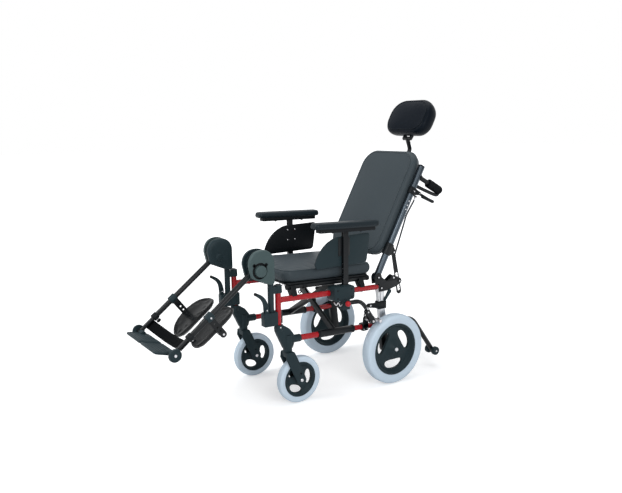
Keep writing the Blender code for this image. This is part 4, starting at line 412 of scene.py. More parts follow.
# Sizes of the dressed pieces
TREAD_DEPTH = 0.0012
LEAF_COUNT = 3
LEAF_INNER_R = 0.030
LEAF_OUTER_R = 0.0645
LEAF_HALF_ANGLE = 40.0
SPOKE_INNER_R = 0.053
SPOKE_OUTER_R = 0.097
SPOKE_HALF_ANGLE = 41.0
LEAF_FIRST_ANGLE = 4.0
SLEEVE_TOP = 0.288
POST_CLAMP_Z = 0.350
CUSHION_TAIL = 0.008
BACK_PAD_PROUD = 0.018
COVER_SHOULDER = -0.004
COVER_ROUND = 0.058
DIAL_Y = KNOB_Y - 0.012
DIAL_Z = KNEE_Z - 0.027
DIAL_R = 0.0235
DIAL_PROUD = 0.014
DIAL_RECESS_R = 0.033
COVER_NARROW = 0.95
DIAL_EARS = ((-0.025, 0.024), (0.028, 0.022))
DIAL_EAR_R = 0.0075
POST_HOLES = (0.215, 0.300, 0.345)
SEAT_CLIPS = (-0.420, -0.200)
SLOPE_STRETCH = math.sqrt(1.0 + SLOPE**2)
PAD_BOLTS = (0.330, 0.350, 0.370)
GRIP_WAVES = 11
COVER_SCREWS = ((-0.048, 0.002), (0.004, -0.004))
SWING_BOW = 0.014
BRAKE_ROOT_FORWARD = 0.029
BRAKE_ROOT_RISE = 0.046
FOOTPLATE_RIBS = 5
STRAP_CUP = 0.003
STRAP_DROOP = 0.009
SLEEVED_CABLE_R = 0.0038
FAT_GRIP_R = 0.0205
FAT_GRIP_START = 0.072
HANDLE_LOOP_R = 0.0080
ARM_PAD_TRIM = 0.007
ARM_PAD_LOWER = 0.007
LEVER_DIP = 0.0060
STRAP_END = 0.0001
HEADREST_PLATE = (0.056, 0.044, 0.016)
SWING_WIDTHS = (1.50, 0.75)
PIPING_R = 0.0022
CLOTH_FRAMES = 20

# Fits and edges
FIT = 0.0003
BORE_GAP = 0.0006
AXIS_R = 0.0005
WELD = 0.000005
SHARP_ANGLE = 38.0

# Widths of rounded edges, from the sharpest to the roundest
SHARP = 0.0002
KEEN = 0.0008
FINE = 0.001
CRISP = 0.0012
EASED = 0.0015
WORN = 0.0018
SOFT = 0.002
BLUNT = 0.0025
ROUND = 0.003

# Finer shapes of the wheels: powers and shares of the half width
TREAD_SQUARE = 0.72
TREAD_DROP = 0.72
TREAD_ROUND = 0.55
GROOVE_SHARE = 0.05
WHEEL_GROOVE = 0.42
TYRE_SHOULDER = 0.80
TYRE_FOOT = 0.75
LEAF_ROUND = 0.85
LEAF_SAG = 0.08
CASTOR_AXLE = (SWIVEL_Y + CASTOR_TRAIL, CASTOR_R)
FORK_FRONT = SWIVEL_Y - FORK_CROWN_HALF
FORK_REAR = SWIVEL_Y + FORK_CROWN_HALF
FORK_TOP = (
    (FORK_FRONT - 0.001, FORK_CROWN_LOW - 0.004),
    (FORK_FRONT + 0.002, FORK_CROWN_TOP - 0.004),
    (FORK_FRONT + 0.005, FORK_CROWN_TOP),
    (FORK_REAR - 0.004, FORK_CROWN_TOP),
    (FORK_REAR, FORK_CROWN_TOP - 0.004),
    (FORK_REAR + 0.012, FORK_CROWN_LOW - 0.006),
)

# Finer shapes of the frame and armrests
POST_HOLE_R = 0.0045
WELD_BEAD_R = 0.0016
SLEEVE_WALL = 0.0012
CASTING_OUTLINE = (
    (SWIVEL_Y - CASTING_HEAD_R, FORK_CROWN_TOP + 0.012),
    (SWIVEL_Y + CASTING_HEAD_R, FORK_CROWN_TOP + 0.012),
    (SWIVEL_Y + 0.026, LOWER_RAIL_Z - 0.020),
    (SWIVEL_Y + 0.030, LOWER_RAIL_Z + 0.018),
    (SWIVEL_Y + 0.008, CASTING_HEAD_TOP + 0.026),
    (UPRIGHT_Y + CASTING_SOCKET_R, CASTING_SOCKET_TOP - 0.004),
    (UPRIGHT_Y - CASTING_SOCKET_R, CASTING_SOCKET_TOP - 0.006),
    (UPRIGHT_Y - CASTING_SOCKET_R + 0.003, UPRIGHT_BOTTOM - 0.016),
)
CASTING_CAP = ((0.0, AXIS_R), (0.0, 0.012), (0.003, 0.010), (0.004, AXIS_R))
RAIL_PLUG = 0.012
SLEEVE_BAND = 0.010
CLIP_HALF = 0.009
CLIP_WALL = 0.0035
PADDLE = ((-0.010, 0.374), (0.016, 0.408), 0.0065, 0.0100)
SPRING_CLIP = ((0.004, 0.004), (0.016, 0.018), (0.026, 0.008), (0.036, 0.024))
SPRING_CLIP_R = 0.0022
POST_STOPS = 4
ARM_PAD_FOOT = 0.016
ARM_PAD_ROLL = (
    (0.0085, 0.0015),
    (0.0040, 0.0),
    (0.0012, 0.0030),
    (0.0, 0.0090),
    (0.0004, 0.0140),
    (0.0014, 0.0195),
    (0.0038, 0.0232),
)
ARM_PAD_DOME = ((0.0075, 0.0022), (0.0140, 0.0008), (0.0250, 0.0))
ARM_TRAY_HALF = 0.019
PANEL_SCREWS = (0.615, 0.662)

# Finer shapes of the back and legs
GRIP_SWELL = 0.0004
GRIP_EDGE = 0.003
BRACKET_BUMP_Y = LOCK_PIN_Y - (BRACKET_BUMP_REAR + BRACKET_BUMP_FRONT) / 2
BAR_BEND_R = 0.009
HOUSING_ROUND = 0.90
HOUSING_FOOT = (
    (HOUSING_FRONT, COVER_SHOULDER),
    (HOUSING_FRONT + 0.012, -0.054),
    (0.0, -0.084),
    (0.020, -0.0895),
    (HOUSING_REAR, -0.086),
    (HOUSING_REAR, COVER_SHOULDER),
)
DIAL_SIDES = 56
DIAL_FLUTE = 0.025
DIAL_FLUTES = 12.0
CALF_BAR_X = LEG_X - LEG_R
CALF_BOSS_OUTER = CALF_BAR_X - CALF_BAR_THICK - FIT
CALF_PAD_RIM = 0.011
CALF_PAD_ROLL = ((0.10, 0.0), (0.035, 0.0025), (0.0, 0.007), (0.004, CALF_PAD_RIM), (0.03, CALF_PAD_RIM + 0.004))
CALF_PAD_CROWN_SHARE = 0.92
CALF_SHELL_SHARE = 0.86
CALF_HOLD = 0.003
FOOTPLATE_RIM_INSET = 0.007
RIB_MARGIN = 0.020
RIB_INSET = 0.016
RIB_HALF = 0.0015
RIB_RISE = 0.0012
STRAP_HOOK = 14
STRAP_RUN = 18
STRAP_ROWS = 8
KNURL_DEPTH = 0.0007

# Finer shapes of the brakes: places forward of the pivot and above it, and end radii
BRAKE_BENDS = (
    (BRAKE_ROOT_FORWARD, BRAKE_ROOT_RISE),
    (0.039, 0.074),
    (0.056, 0.093),
    (BRAKE_BALL_FORWARD, BRAKE_BALL_RISE),
)
BRAKE_LOBE = (0.044, 0.036)
BRAKE_CHEEK = 0.003
BRAKE_CHEEK_ENDS = (0.0125, 0.0105)
BRAKE_SPUR_ENDS = (0.0085, 0.0095)
BRAKE_TOGGLE_R = 0.0075

# Sides of the sewn pads, each row how far it is drawn in and its height
CUSHION_GUSSET = (
    (CUSHION_DRAW_IN, 0.0),
    (0.008, 0.004),
    (0.003, CUSHION_SIDE_HEIGHT * 0.30),
    (0.0006, CUSHION_SIDE_HEIGHT * 0.55),
    (0.0010, CUSHION_SIDE_HEIGHT * 0.80),
    (0.0040, CUSHION_SIDE_HEIGHT * 0.95),
    (0.0085, CUSHION_SIDE_HEIGHT + 0.002),
)
CUSHION_REAR_CORNER = 0.020
CUSHION_SETTLE = 0.003
BACK_PAD_CLEAR = BACK_PAD_REAR_B + BACK_TUBE_HALF_B
BACK_PAD_GUSSET = (
    (0.012, 0.0),
    (0.0075, 0.004),
    (0.0055, BACK_PAD_CLEAR),
    (0.0012, BACK_PAD_CLEAR + 0.007),
    (0.0, BACK_PAD_CLEAR + 0.013),
    (0.0020, BACK_PAD_CLEAR + 0.022),
    (0.0070, BACK_PAD_CLEAR + 0.030),
    (0.0170, BACK_PAD_CLEAR + 0.037),
)
BACK_PAD_TOP_CORNER = 0.072
BACK_PAD_CROWN = 0.043
HEADREST_GUSSET = (
    (0.018, 0.0),
    (0.011, 0.004),
    (0.0035, HEADREST_CROWN_DEPTH * 0.25),
    (0.0, HEADREST_CROWN_DEPTH * 0.48),
    (0.0010, HEADREST_CROWN_DEPTH * 0.66),
    (0.0055, HEADREST_CROWN_DEPTH * 0.78),
    (0.0150, HEADREST_CROWN_DEPTH * 0.85),
)

# Cloth of the pads
CROWN_ROUND = 0.7
SEAM_HOLD = 0.004
PAD_VOXEL = 0.005
CALF_VOXEL = 0.004
CUSHION_SWELL = (0.008, 0.006)
PAD_SWELL = (0.006, 0.0)
CALF_SWELL = (0.006, 0.01)
CLOTH = {
    "quality": 5,
    "mass": 0.25,
    "tension_stiffness": 30.0,
    "compression_stiffness": 30.0,
    "shear_stiffness": 15.0,
    "bending_stiffness": 6.0,
    "use_pressure": True,
    "uniform_pressure_force": 4.0,
}

# Surface of the finishes
COAT_ROUGHNESS = 0.08
MOTTLE_DETAIL = 5.0
MIX_FROM, MIX_TO, MIX_RESULT = 6, 7, 2
SPECK_RATIO = 9.0
GLOSS_SPREAD = 0.07
LEAST_ROUGHNESS = 0.03
GRAIN_DETAIL = 3.0
GRAIN_HEIGHT = 0.0006
BRUSHED_STRETCH = (1.0, 1.0, 0.02)

# Floor, light and camera
FLOOR_HALF = 30.0
FLOOR_GLOW = 0.42
FLOOR_FADE = (1.0, 3.2)
WORLD_FILL = 0.40
FLOOR_COLOUR = (0.80, 0.80, 0.80, 1.0)
SKY_COLOUR = (0.93, 0.96, 1.0, 1.0)
LIGHTS = (
    ("key_light", (-0.5, -3.2, 3.0), (0.0, 0.0, 0.5), 2.2, 95.0),
    ("side_light", (3.4, -0.6, 1.9), (0.0, 0.1, 0.6), 2.0, 60.0),
    ("top_light", (-0.3, 0.5, 3.6), (0.0, 0.0, 0.4), 3.0, 55.0),
)
CAMERA_TARGET = (0.0, -0.266, 0.612)
CAMERA_AZIMUTH = 56.12
CAMERA_ELEVATION = 10.094
CAMERA_ROLL = -0.631
CAMERA_DISTANCE = 3.001
CAMERA_LENS = 39.12


# Setting of Blender data
def assign(thing, **values):
    """Set attributes of a thing, and hand it back."""
    for key, value in values.items():
        setattr(thing, key, value)
    return thing


def set_inputs(shader, values):
    for key, value in values.items():
        shader.inputs[key].default_value = value
    return shader


def add_node(tree, kind, inputs=None, **values):
    """A new shader node with its attributes and inputs set."""
    return set_inputs(assign(tree.nodes.new("ShaderNode" + kind), **values), inputs or {})


# Materials
def finish_material(name, colour, roughness, shine, mottle, grain, metallic, coat):
    """A procedural finish: broad colour mottling, uneven gloss and a fine surface grain."""
    made = assign(bpy.data.materials.new(name), use_nodes=True)
    tree = made.node_tree
    link = tree.links.new
    scale, depth = mottle
    shader = set_inputs(
        tree.nodes["Principled BSDF"],
        {"Metallic": metallic, "Specular IOR Level": shine, "Coat Weight": coat, "Coat Roughness": COAT_ROUGHNESS},
    )
    place = add_node(tree, "TexCoord").outputs["Object"]
    cloud = add_node(tree, "TexNoise", {"Scale": scale, "Detail": MOTTLE_DETAIL})
    dark = (*[part * (1.0 - depth) for part in colour], 1.0)
    pale = (*[min(part * (1.0 + depth), 1.0) for part in colour], 1.0)
    tint = add_node(tree, "Mix", {MIX_FROM: dark, MIX_TO: pale}, data_type="RGBA")
    speck = add_node(tree, "TexNoise", {"Scale": scale * SPECK_RATIO})
    smoothest, roughest = max(roughness - GLOSS_SPREAD, LEAST_ROUGHNESS), min(roughness + GLOSS_SPREAD, 1.0)
    gloss = add_node(tree, "MapRange", {"To Min": smoothest, "To Max": roughest})
    link(place, cloud.inputs["Vector"])
    link(cloud.outputs["Fac"], tint.inputs[0])
    link(tint.outputs[MIX_RESULT], shader.inputs["Base Color"])
    link(place, speck.inputs["Vector"])
    link(speck.outputs["Fac"], gloss.inputs["Value"])
    link(gloss.outputs["Result"], shader.inputs["Roughness"])
    link(grain_bump(tree, place, grain), shader.inputs["Normal"])
    return made


def grain_bump(tree, place, grain):
    """The normal of a fine grain: sand, hide, brushed lines or woven ribs."""
    kind, scale, strength = grain
    height = "Fac"
    if kind == "hide":
        texture = add_node(tree, "TexVoronoi", feature="SMOOTH_F1")
        height = "Distance"
    elif kind == "weave":
        texture = add_node(tree, "TexWave", bands_direction="DIAGONAL")
    else:
        texture = add_node(tree, "TexNoise", {"Detail": GRAIN_DETAIL})
    stretch = add_node(tree, "Mapping")
    if kind == "brushed":
        set_inputs(stretch, {"Rotation": (math.radians(BACK_RECLINE), 0.0, 0.0), "Scale": BRUSHED_STRETCH})
    bump = add_node(tree, "Bump", {"Strength": strength, "Distance": GRAIN_HEIGHT})
    texture.inputs["Scale"].default_value = scale
    tree.links.new(place, stretch.inputs["Vector"])
    tree.links.new(stretch.outputs["Vector"], texture.inputs["Vector"])
    tree.links.new(texture.outputs[height], bump.inputs["Height"])
    return bump.outputs["Normal"]


# Finishes: name, colour, roughness, shine, mottle (scale, depth) and grain (kind, scale, strength)
FINISHES = {
    "red_paint": ("gloss_red_enamel", (0.34, 0.005, 0.01), 0.26, 0.2, (9.0, 0.06), ("noise", 420.0, 0.02)),
    "charcoal": ("charcoal_moulding", (0.014, 0.026, 0.031), 0.46, 0.12, (7.0, 0.12), ("noise", 1500.0, 0.1)),
    "grey_plastic": ("grey_moulding", (0.055, 0.083, 0.085), 0.45, 0.12, (7.0, 0.08), ("noise", 1500.0, 0.08)),
    "black_metal": ("black_powder_coat", (0.0045, 0.006, 0.0075), 0.34, 0.2, (8.0, 0.15), ("noise", 1100.0, 0.06)),
    "black_plastic": ("black_moulding", (0.004, 0.0055, 0.007), 0.44, 0.12, (8.0, 0.15), ("noise", 1300.0, 0.08)),
    "anodised": ("blue_grey_anodised", (0.085, 0.105, 0.125), 0.32, 0.3, (5.0, 0.06), ("brushed", 2600.0, 0.03)),
    "silver": ("silver_paint", (0.56, 0.57, 0.59), 0.32, 0.3, (6.0, 0.05), ("noise", 1400.0, 0.05)),
    "steel": ("zinc_plated_steel", (0.52, 0.52, 0.54), 0.28, 0.3, (12.0, 0.1), ("noise", 1600.0, 0.05)),
    "tyre": ("pale_solid_rubber", (0.53, 0.63, 0.72), 0.72, 0.2, (10.0, 0.06), ("noise", 1300.0, 0.16)),
    "grip_rubber": ("black_grip_rubber", (0.0025, 0.0032, 0.0045), 0.6, 0.08, (9.0, 0.15), ("noise", 1500.0, 0.14)),
    "cable_sleeve": ("grey_cable_sleeve", (0.05, 0.057, 0.062), 0.4, 0.2, (20.0, 0.15), ("noise", 1500.0, 0.06)),
    "grey_vinyl": ("dark_grey_vinyl", (0.036, 0.047, 0.054), 0.46, 0.12, (5.0, 0.1), ("hide", 620.0, 0.09)),
    "arm_vinyl": ("black_arm_vinyl", (0.006, 0.0125, 0.017), 0.4, 0.16, (6.0, 0.12), ("hide", 700.0, 0.09)),
    "navy_vinyl": ("navy_vinyl", (0.0014, 0.0038, 0.0075), 0.42, 0.07, (5.0, 0.14), ("hide", 620.0, 0.08)),
    "calf_vinyl": ("black_calf_vinyl", (0.0035, 0.0045, 0.0055), 0.28, 0.14, (5.0, 0.14), ("hide", 620.0, 0.07)),
    "webbing": ("black_webbing", (0.0025, 0.003, 0.0035), 0.8, 0.05, (30.0, 0.2), ("weave", 420.0, 0.55)),
    "red_plastic": ("red_ball_plastic", (0.38, 0.008, 0.014), 0.3, 0.25, (12.0, 0.08), ("noise", 1300.0, 0.04)),
}
METALLIC = {"anodised": 1.0, "silver": 0.9, "steel": 1.0}
COAT = {"red_paint": 0.15}
MATERIALS = {
    key: finish_material(*row, METALLIC.get(key, 0.0), COAT.get(key, 0.0)) for key, row in FINISHES.items()
}

# Places of the moving groups: points are written from the rear axle line, the back pivot and the knee
FRAME_SPACE = Matrix.Translation((0.0, AXLE_Y, 0.0))
BACK_TURN = Matrix.Rotation(math.radians(-BACK_RECLINE), 4, "X")
BACK_SPACE = FRAME_SPACE @ Matrix.Translation((0.0, BACK_Y, BACK_Z)) @ BACK_TURN
LEG_TURN = Matrix.Rotation(math.radians(LEG_DROP - 90.0), 4, "X")
LEG_SPACE = FRAME_SPACE @ Matrix.Translation((0.0, KNEE_Y, KNEE_Z)) @ LEG_TURN
ALONG_X = Matrix(((0, 0, 1, 0), (1, 0, 0, 0), (0, 1, 0, 0), (0, 0, 0, 1)))
ALONG_Y = Matrix(((1, 0, 0, 0), (0, 0, -1, 0), (0, 1, 0, 0), (0, 0, 0, 1)))
ALONG_Z = Matrix.Identity(4)
SIDES = (("left_", 1.0), ("right_", -1.0))
WAYS = (-1.0, 1.0)


# Mesh helpers
def to_mesh(bm):
    bmesh.ops.recalc_face_normals(bm, faces=bm.faces)
    mesh = bpy.data.meshes.new("part")
    bm.to_mesh(mesh)
    bm.free()
    return mesh


def placed(data, name="part"):
    obj = bpy.data.objects.new(name, data)
    bpy.context.scene.collection.objects.link(obj)
    return obj


def baked(obj):
    """The mesh of an object with its modifiers, or of a curve, with its joints welded."""
    depsgraph = bpy.context.evaluated_depsgraph_get()
    mesh = bpy.data.meshes.new_from_object(obj.evaluated_get(depsgraph))
    bpy.data.objects.remove(obj, do_unlink=True)
    bm = bmesh.new()
    bm.from_mesh(mesh)
    bmesh.ops.remove_doubles(bm, verts=bm.verts, dist=WELD)
    return to_mesh(bm)


def mirrored(mesh):
    mesh.transform(Matrix.Diagonal((-1.0, 1.0, 1.0, 1.0)))
    mesh.flip_normals()
    return mesh


def soften(bm, width, turn=32.0):
    """Round every edge that turns more than an angle."""
    edges = [e for e in bm.edges if len(e.link_faces) == 2 and e.calc_face_angle() > math.radians(turn)]
    bmesh.ops.bevel(bm, geom=edges, offset=width, segments=2, profile=0.5, affect="EDGES", clamp_overlap=True)


def box(low, high, edge=0.0015):
    low, high = Vector(low), Vector(high)
    bm = bmesh.new()
    size = Matrix.Diagonal((*(high - low), 1.0))
    bmesh.ops.create_cube(bm, size=1.0, matrix=Matrix.Translation((low + high) / 2) @ size)
    soften(bm, edge)
    return to_mesh(bm)


def rod(start, end, radius, end_radius=None, edge=0.0008, steps=36):
    """A round bar between two points, tapered where it has an end radius."""
    start, end = Vector(start), Vector(end)
    turn = (end - start).to_track_quat("Z", "Y").to_matrix().to_4x4()
    bm = bmesh.new()
    bmesh.ops.create_cone(
        bm,
        cap_ends=True,
        segments=steps,
        radius1=radius,
        radius2=radius if end_radius is None else end_radius,
        depth=(end - start).length,
        matrix=Matrix.Translation((start + end) / 2) @ turn,
    )
    soften(bm, edge, 50.0)
    return to_mesh(bm)


def cross_rod(start, stop, place, *shape):
    """A rod along X at a place (y, z)."""
    return rod((start, *place), (stop, *place), *shape)


def up_rod(place, low, high, *shape):
    """A rod along Z at a place (x, y)."""
    return rod((*place, low), (*place, high), *shape)


def screw_head(place, radius, way=1.0, height=0.0015):
    """A round screw head that faces along X."""
    x, y, z = place
    return rod((x, y, z), (x + way * height, y, z), radius, radius * 0.8, 0.0003, 20)


def ball(centre, radius):
    bm = bmesh.new()
    bmesh.ops.create_uvsphere(bm, u_segments=28, v_segments=16, radius=radius, matrix=Matrix.Translation(centre))
    return to_mesh(bm)


def add_line(curve, points, closed):
    spline = curve.splines.new("POLY")
    spline.points.add(len(points) - 1)
    spline.use_cyclic_u = closed
    for point, place in zip(spline.points, points):
        point.co = (*place, 0.0, 1.0) if len(place) == 2 else (*place, 1.0)


def sweep(points, radius, resolution=5, closed=False):
    """A round tube along a line of points, with closed ends or as a ring."""
    curve = bpy.data.curves.new("tube", "CURVE")
    assign(curve, dimensions="3D", bevel_depth=radius, bevel_resolution=resolution, use_fill_caps=not closed)
    add_line(curve, points, closed)
    return baked(placed(curve))


def ring_sweep(points, radius, resolution=2):
    return sweep(points, radius, resolution, True)


def extruded(outline, low, high, direction=ALONG_X, holes=(), edge=0.0010):
    """A flat outline with holes and rounded edges, as thick as low to high along the given direction."""
    edge = min(edge, (high - low) * 0.3)
    curve = assign(bpy.data.curves.new("outline", "CURVE"), dimensions="2D", fill_mode="BOTH")
    assign(curve, extrude=(high - low) / 2 - edge, bevel_depth=edge, bevel_resolution=1, offset=-edge)
    for loop in (outline, *holes):
        add_line(curve, loop, True)
    mesh = baked(placed(curve))
    middle = (low + high) / 2
    if direction is ALONG_Y:
        middle = -middle
    mesh.transform(direction @ Matrix.Translation((0.0, 0.0, middle)))
    return mesh


def slab(outline, middle, half, holes=(), edge=0.0010):
    """An outline seen from the side, as thick as a half to either side of a middle X."""
    return extruded(outline, middle - half, middle + half, holes=holes, edge=edge)


def turned(profile, centre=(0.0, 0.0, 0.0), steps=72, about="X"):
    """A closed profile of (along, radius) points turned about a line through the centre."""
    bm = bmesh.new()
    corners = [bm.verts.new((along, radius, 0.0)) for along, radius in profile]
    for first, second in zip(corners, corners[1:] + corners[:1]):
        bm.edges.new((first, second))
    obj = placed(to_mesh(bm))
    screw = assign(obj.modifiers.new("turn", "SCREW"), axis="X", steps=steps, render_steps=steps)
    assign(screw, use_merge_vertices=True, merge_threshold=WELD * 2)
    mesh = baked(obj)
    swing = Matrix.Identity(4) if about == "X" else Matrix.Rotation(math.pi / 2, 4, "Z")
    mesh.transform(Matrix.Translation(centre) @ swing)
    return mesh


def carved(mesh, cutters):
    target = placed(mesh)
    tools = [placed(cutter) for cutter in cutters]
    for tool in tools:
        assign(target.modifiers.new("carve", "BOOLEAN"), operation="DIFFERENCE", object=tool)
    result = baked(target)
    for tool in tools:
        bpy.data.objects.remove(tool, do_unlink=True)
    return result


# Lines and outlines
def flat(points):
    return [tuple(point) for point in points]


def shares(count):
    """Even shares from nought to one."""
    return [index / count for index in range(count + 1)]


def arc(centre, radius, start, stop, count=16):
    points = []
    for index in range(count):
        angle = math.radians(start + (stop - start) * index / (count - 1))
        points.append((centre[0] + radius * math.cos(angle), centre[1] + radius * math.sin(angle)))
    return points


def circle(centre, radius, sides=24):
    return arc(centre, radius, 0.0, 360.0 - 360.0 / sides, sides)


def cornered(low, high, corners):
    """An outline of round corners, each given as the angle where it starts, its radius and its count of points."""
    outline = []
    for start, radius, count in corners:
        x = low[0] + radius if start in (90.0, 180.0) else high[0] - radius
        y = high[1] - radius if start in (0.0, 90.0) else low[1] + radius
        outline += arc((x, y), radius, start, start + 90.0, count)
    return outline


def rounded_rectangle(low, high, radius, per_corner=8):
    return cornered(low, high, [(start, radius, per_corner) for start in (0.0, 90.0, 180.0, 270.0)])


def pad_edge(low, high, near, far, per_corner=14):
    """A pad's outline with one corner radius at its low end and another at its high end."""
    radii = ((-90.0, near), (0.0, far), (90.0, far), (180.0, near))
    return cornered(low, high, [(start, radius, per_corner) for start, radius in radii])


def plate_edge(low, high):
    """A footplate's outline, nearly square at the inner end where the two plates meet and round at the outer end."""
    inner, outer = 0.005, FOOTPLATE_CORNER * 0.8
    return cornered(low, high, ((-90.0, outer, 10), (0.0, outer, 10), (90.0, inner, 6), (180.0, inner, 6)))


def capsule(start, stop, start_radius, stop_radius, per_end=14):
    start, stop = Vector(start), Vector(stop)
    heading = math.degrees(math.atan2(stop.y - start.y, stop.x - start.x))
    return [
        *arc(stop, stop_radius, heading - 90.0, heading + 90.0, per_end),
        *arc(start, start_radius, heading + 90.0, heading + 270.0, per_end),
    ]


def sideways(line):
    """The direction across a flat line at each of its points."""
    found = []
    for before, after in zip(line[:1] + line, line[1:] + line[-1:]):
        heading = (after - before).normalized()
        found.append(Vector((-heading.y, heading.x)))
    return found


def strip(points, thickness):
    """The outline of a bent strip whose middle runs through the points."""
    stops = [Vector(point) for point in points]
    left = []
    right = []
    for index, stop in enumerate(stops):
        before = stops[max(index - 1, 0)]
        after = stops[min(index + 1, len(stops) - 1)]
        into = (stop - before).normalized() if index > 0 else (after - stop).normalized()
        out = (after - stop).normalized() if index < len(stops) - 1 else into
        mean = (into + out).normalized()
        across = Vector((-mean.y, mean.x)) * thickness / 2 / max(mean.dot(into), 0.5)
        left.append(tuple(stop + across))
        right.append(tuple(stop - across))
    return left + right[::-1]


def smooth_line(points, count):
    """Evenly counted points on a smooth curve through the given ones."""
    stops = [Vector(point) for point in points]
    padded = [stops[0] * 2 - stops[1], *stops, stops[-1] * 2 - stops[-2]]
    spans = len(stops) - 1
    line = []
    for index in range(count):
        place = index * spans / (count - 1)
        span = min(int(place), spans - 1)
        t = place - span
        a, b, c, d = padded[span : span + 4]
        cubic = (3 * b - a - 3 * c + d) * t**3
        line.append(0.5 * (2 * b + (c - a) * t + (2 * a - 5 * b + 4 * c - d) * t**2 + cubic))
    return line


def bend(before, corner, after, radius, most, count):
    """The points of one rounded corner, which takes up no more than a share of the runs beside it."""
    into, out = before - corner, after - corner
    reach = min(radius, into.length * most, out.length * most)
    into, out = into.normalized() * reach, out.normalized() * reach
    return [corner + into * (1.0 - share) ** 2 + out * share**2 for share in shares(count)]


def rounded_line(points, radius, per_bend=8):
    """A line of straight runs whose corners are bent to a radius."""
    stops = [Vector(point) for point in points]
    line = [stops[0]]
    for before, corner, after in zip(stops, stops[1:], stops[2:]):
        line += bend(before, corner, after, radius, 0.49, per_bend)
    return [*line, stops[-1]]


def rounded_ring(points, radius, per_bend=5):
    """A closed outline whose corners are rounded."""
    stops = [Vector(point) for point in points]
    line = []
    for before, corner, after in zip(stops[-1:] + stops, stops, stops[1:] + stops[:1]):
        line += bend(before, corner, after, radius, 0.45, per_bend)
    return flat(line)


def skinned(rings):
    """A skin over rings of matching points, with flat ends."""
    bm = bmesh.new()
    loops = [[bm.verts.new(point) for point in ring] for ring in rings]
    count = len(loops[0])
    for lower, upper in zip(loops, loops[1:]):
        for index in range(count):
            after = (index + 1) % count
            bm.faces.new((lower[index], lower[after], upper[after], upper[index]))
    bm.faces.new(loops[0])
    bm.faces.new(loops[-1])
    return to_mesh(bm)


# Assembly of a dressed piece
def joined(parts, space, mirror):
    finishes = []
    bm = bmesh.new()
    for mesh, finish in parts:
        if finish not in finishes:
            finishes.append(finish)
        start = len(bm.faces)
        bm.from_mesh(mesh)
        bm.faces.ensure_lookup_table()
        for index in range(start, len(bm.faces)):
            bm.faces[index].material_index = finishes.index(finish)
    mesh = bpy.data.meshes.new("piece")
    bm.to_mesh(mesh)
    bm.free()
    mesh.transform(space)
    if mirror:
        mirrored(mesh)
    for finish in finishes:
        mesh.materials.append(MATERIALS[finish])
    mesh.shade_smooth()
    mesh.set_sharp_from_angle(angle=math.radians(SHARP_ANGLE))
    return mesh


def dress(name, body, parts, space=FRAME_SPACE, node=None, mirror=False):
    """One dressed piece that rides on a body and stands for its solid."""
    obj = placed(joined(parts, space, mirror), name)
    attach(obj, body)
    if node:
        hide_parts(node)
    return obj


def dress_pair(name, body, parts, space=FRAME_SPACE, node=None):
    """The same piece on both sides. The body and the solid of each side have its prefix."""
    made = []
    for prefix, way in SIDES:
        side_body = body if body in frame["bodies"] else prefix + body
        solid = prefix + node if node else None
        made.append(dress(prefix + name, side_body, parts, space, solid, way < 0))
    return made


# Slopes of the rails
def top_rail_z(y):
    return TOP_RAIL_Z - SLOPE * (y - UPRIGHT_Y)


def lower_rail_z(y):
    return LOWER_RAIL_Z - SLOPE * (y - LOWER_RAIL_Y)


def seat_rail_z(y):
    return SEAT_RAIL_Z - SLOPE * (y - SEAT_RAIL_FRONT)


def post_y(z):
    return POST_TOP_Y * (z - POST_BOTTOM_Z) / (POST_TOP_Z - POST_BOTTOM_Z)


def rail_rod(x, height, start, stop, radius, edge=0.0008):
    return rod((x, start, height(start)), (x, stop, height(stop)), radius, edge=edge)


def slope_matrix(y, z):
    tilt = Matrix.Rotation(-math.atan(SLOPE), 4, "X")
    return Matrix.Translation((0.0, y, z)) @ tilt @ Matrix.Translation((0.0, -y, 0.0))


def in_back(x, a, b):
    return Vector((x, b, a))


def in_leg(x, along, behind):
    return Vector((x, behind, -along))


# Wheels
def tyre_profile(radius, bore, width, grooves):
    """A round-shouldered tread with shallow grooves round it."""
    half = width / 2
    tread = []
    for index in range(25):
        angle = math.radians(-90.0 + 180.0 * index / 24)
        across = half * math.copysign(abs(math.sin(angle)) ** TREAD_SQUARE, math.sin(angle))
        reach = radius - half * TREAD_DROP * (1.0 - abs(math.cos(angle)) ** TREAD_ROUND)
        if abs(across) < half * 0.98:
            close = min(abs(across - groove) for groove in grooves)
            tread.append((across, reach - (TREAD_DEPTH if close < half * GROOVE_SHARE else 0.0)))
    shoulder = radius - half * TYRE_SHOULDER
    side = half * TYRE_FOOT
    return [(-side, bore), (-half, shoulder), *tread, (half, shoulder), (side, bore)]


def rim_profile(radius, width, hub_radius, hub_width, web, bore):
    """A lipped ring that narrows to a web and swells again to the hub."""
    ring = radius - RIM_LIP
    lip = RIM_LIP * 0.25
    half = width / 2
    hub = hub_width / 2
    right = [
        (half - lip, radius),
        (half, radius - lip),
        (half, ring + lip),
        (half - lip, ring),
        (web * 1.1, ring - lip * 1.6),
        (web / 2, ring - lip * 4.0),
        (web / 2, hub_radius * 1.9),
        (web / 2 + (hub - web / 2) * 0.12, hub_radius * 1.5),
        (web / 2 + (hub - web / 2) * 0.55, hub_radius),
        (hub - lip, hub_radius * 0.62),
        (hub, hub_radius * 0.52),
        (hub, bore),
    ]
    return right + [(-x, reach) for x, reach in reversed(right)]


def leaf(inner, outer, half_angle, turn, points=17):
    """A lens-shaped outline with round ends, curved round the wheel's middle."""
    middle = (inner + outer) / 2
    outline = []
    for step in range(points * 2):
        share = math.pi * step / points
        across = math.copysign(abs(math.cos(share)) ** LEAF_ROUND, math.cos(share))
        reach = middle + (outer - inner) / 2 * math.sin(share) - (outer - inner) * LEAF_SAG * (1.0 - across**2)
        angle = math.radians(turn + half_angle * across)
        outline.append((reach * math.cos(angle), reach * math.sin(angle)))
    return outline


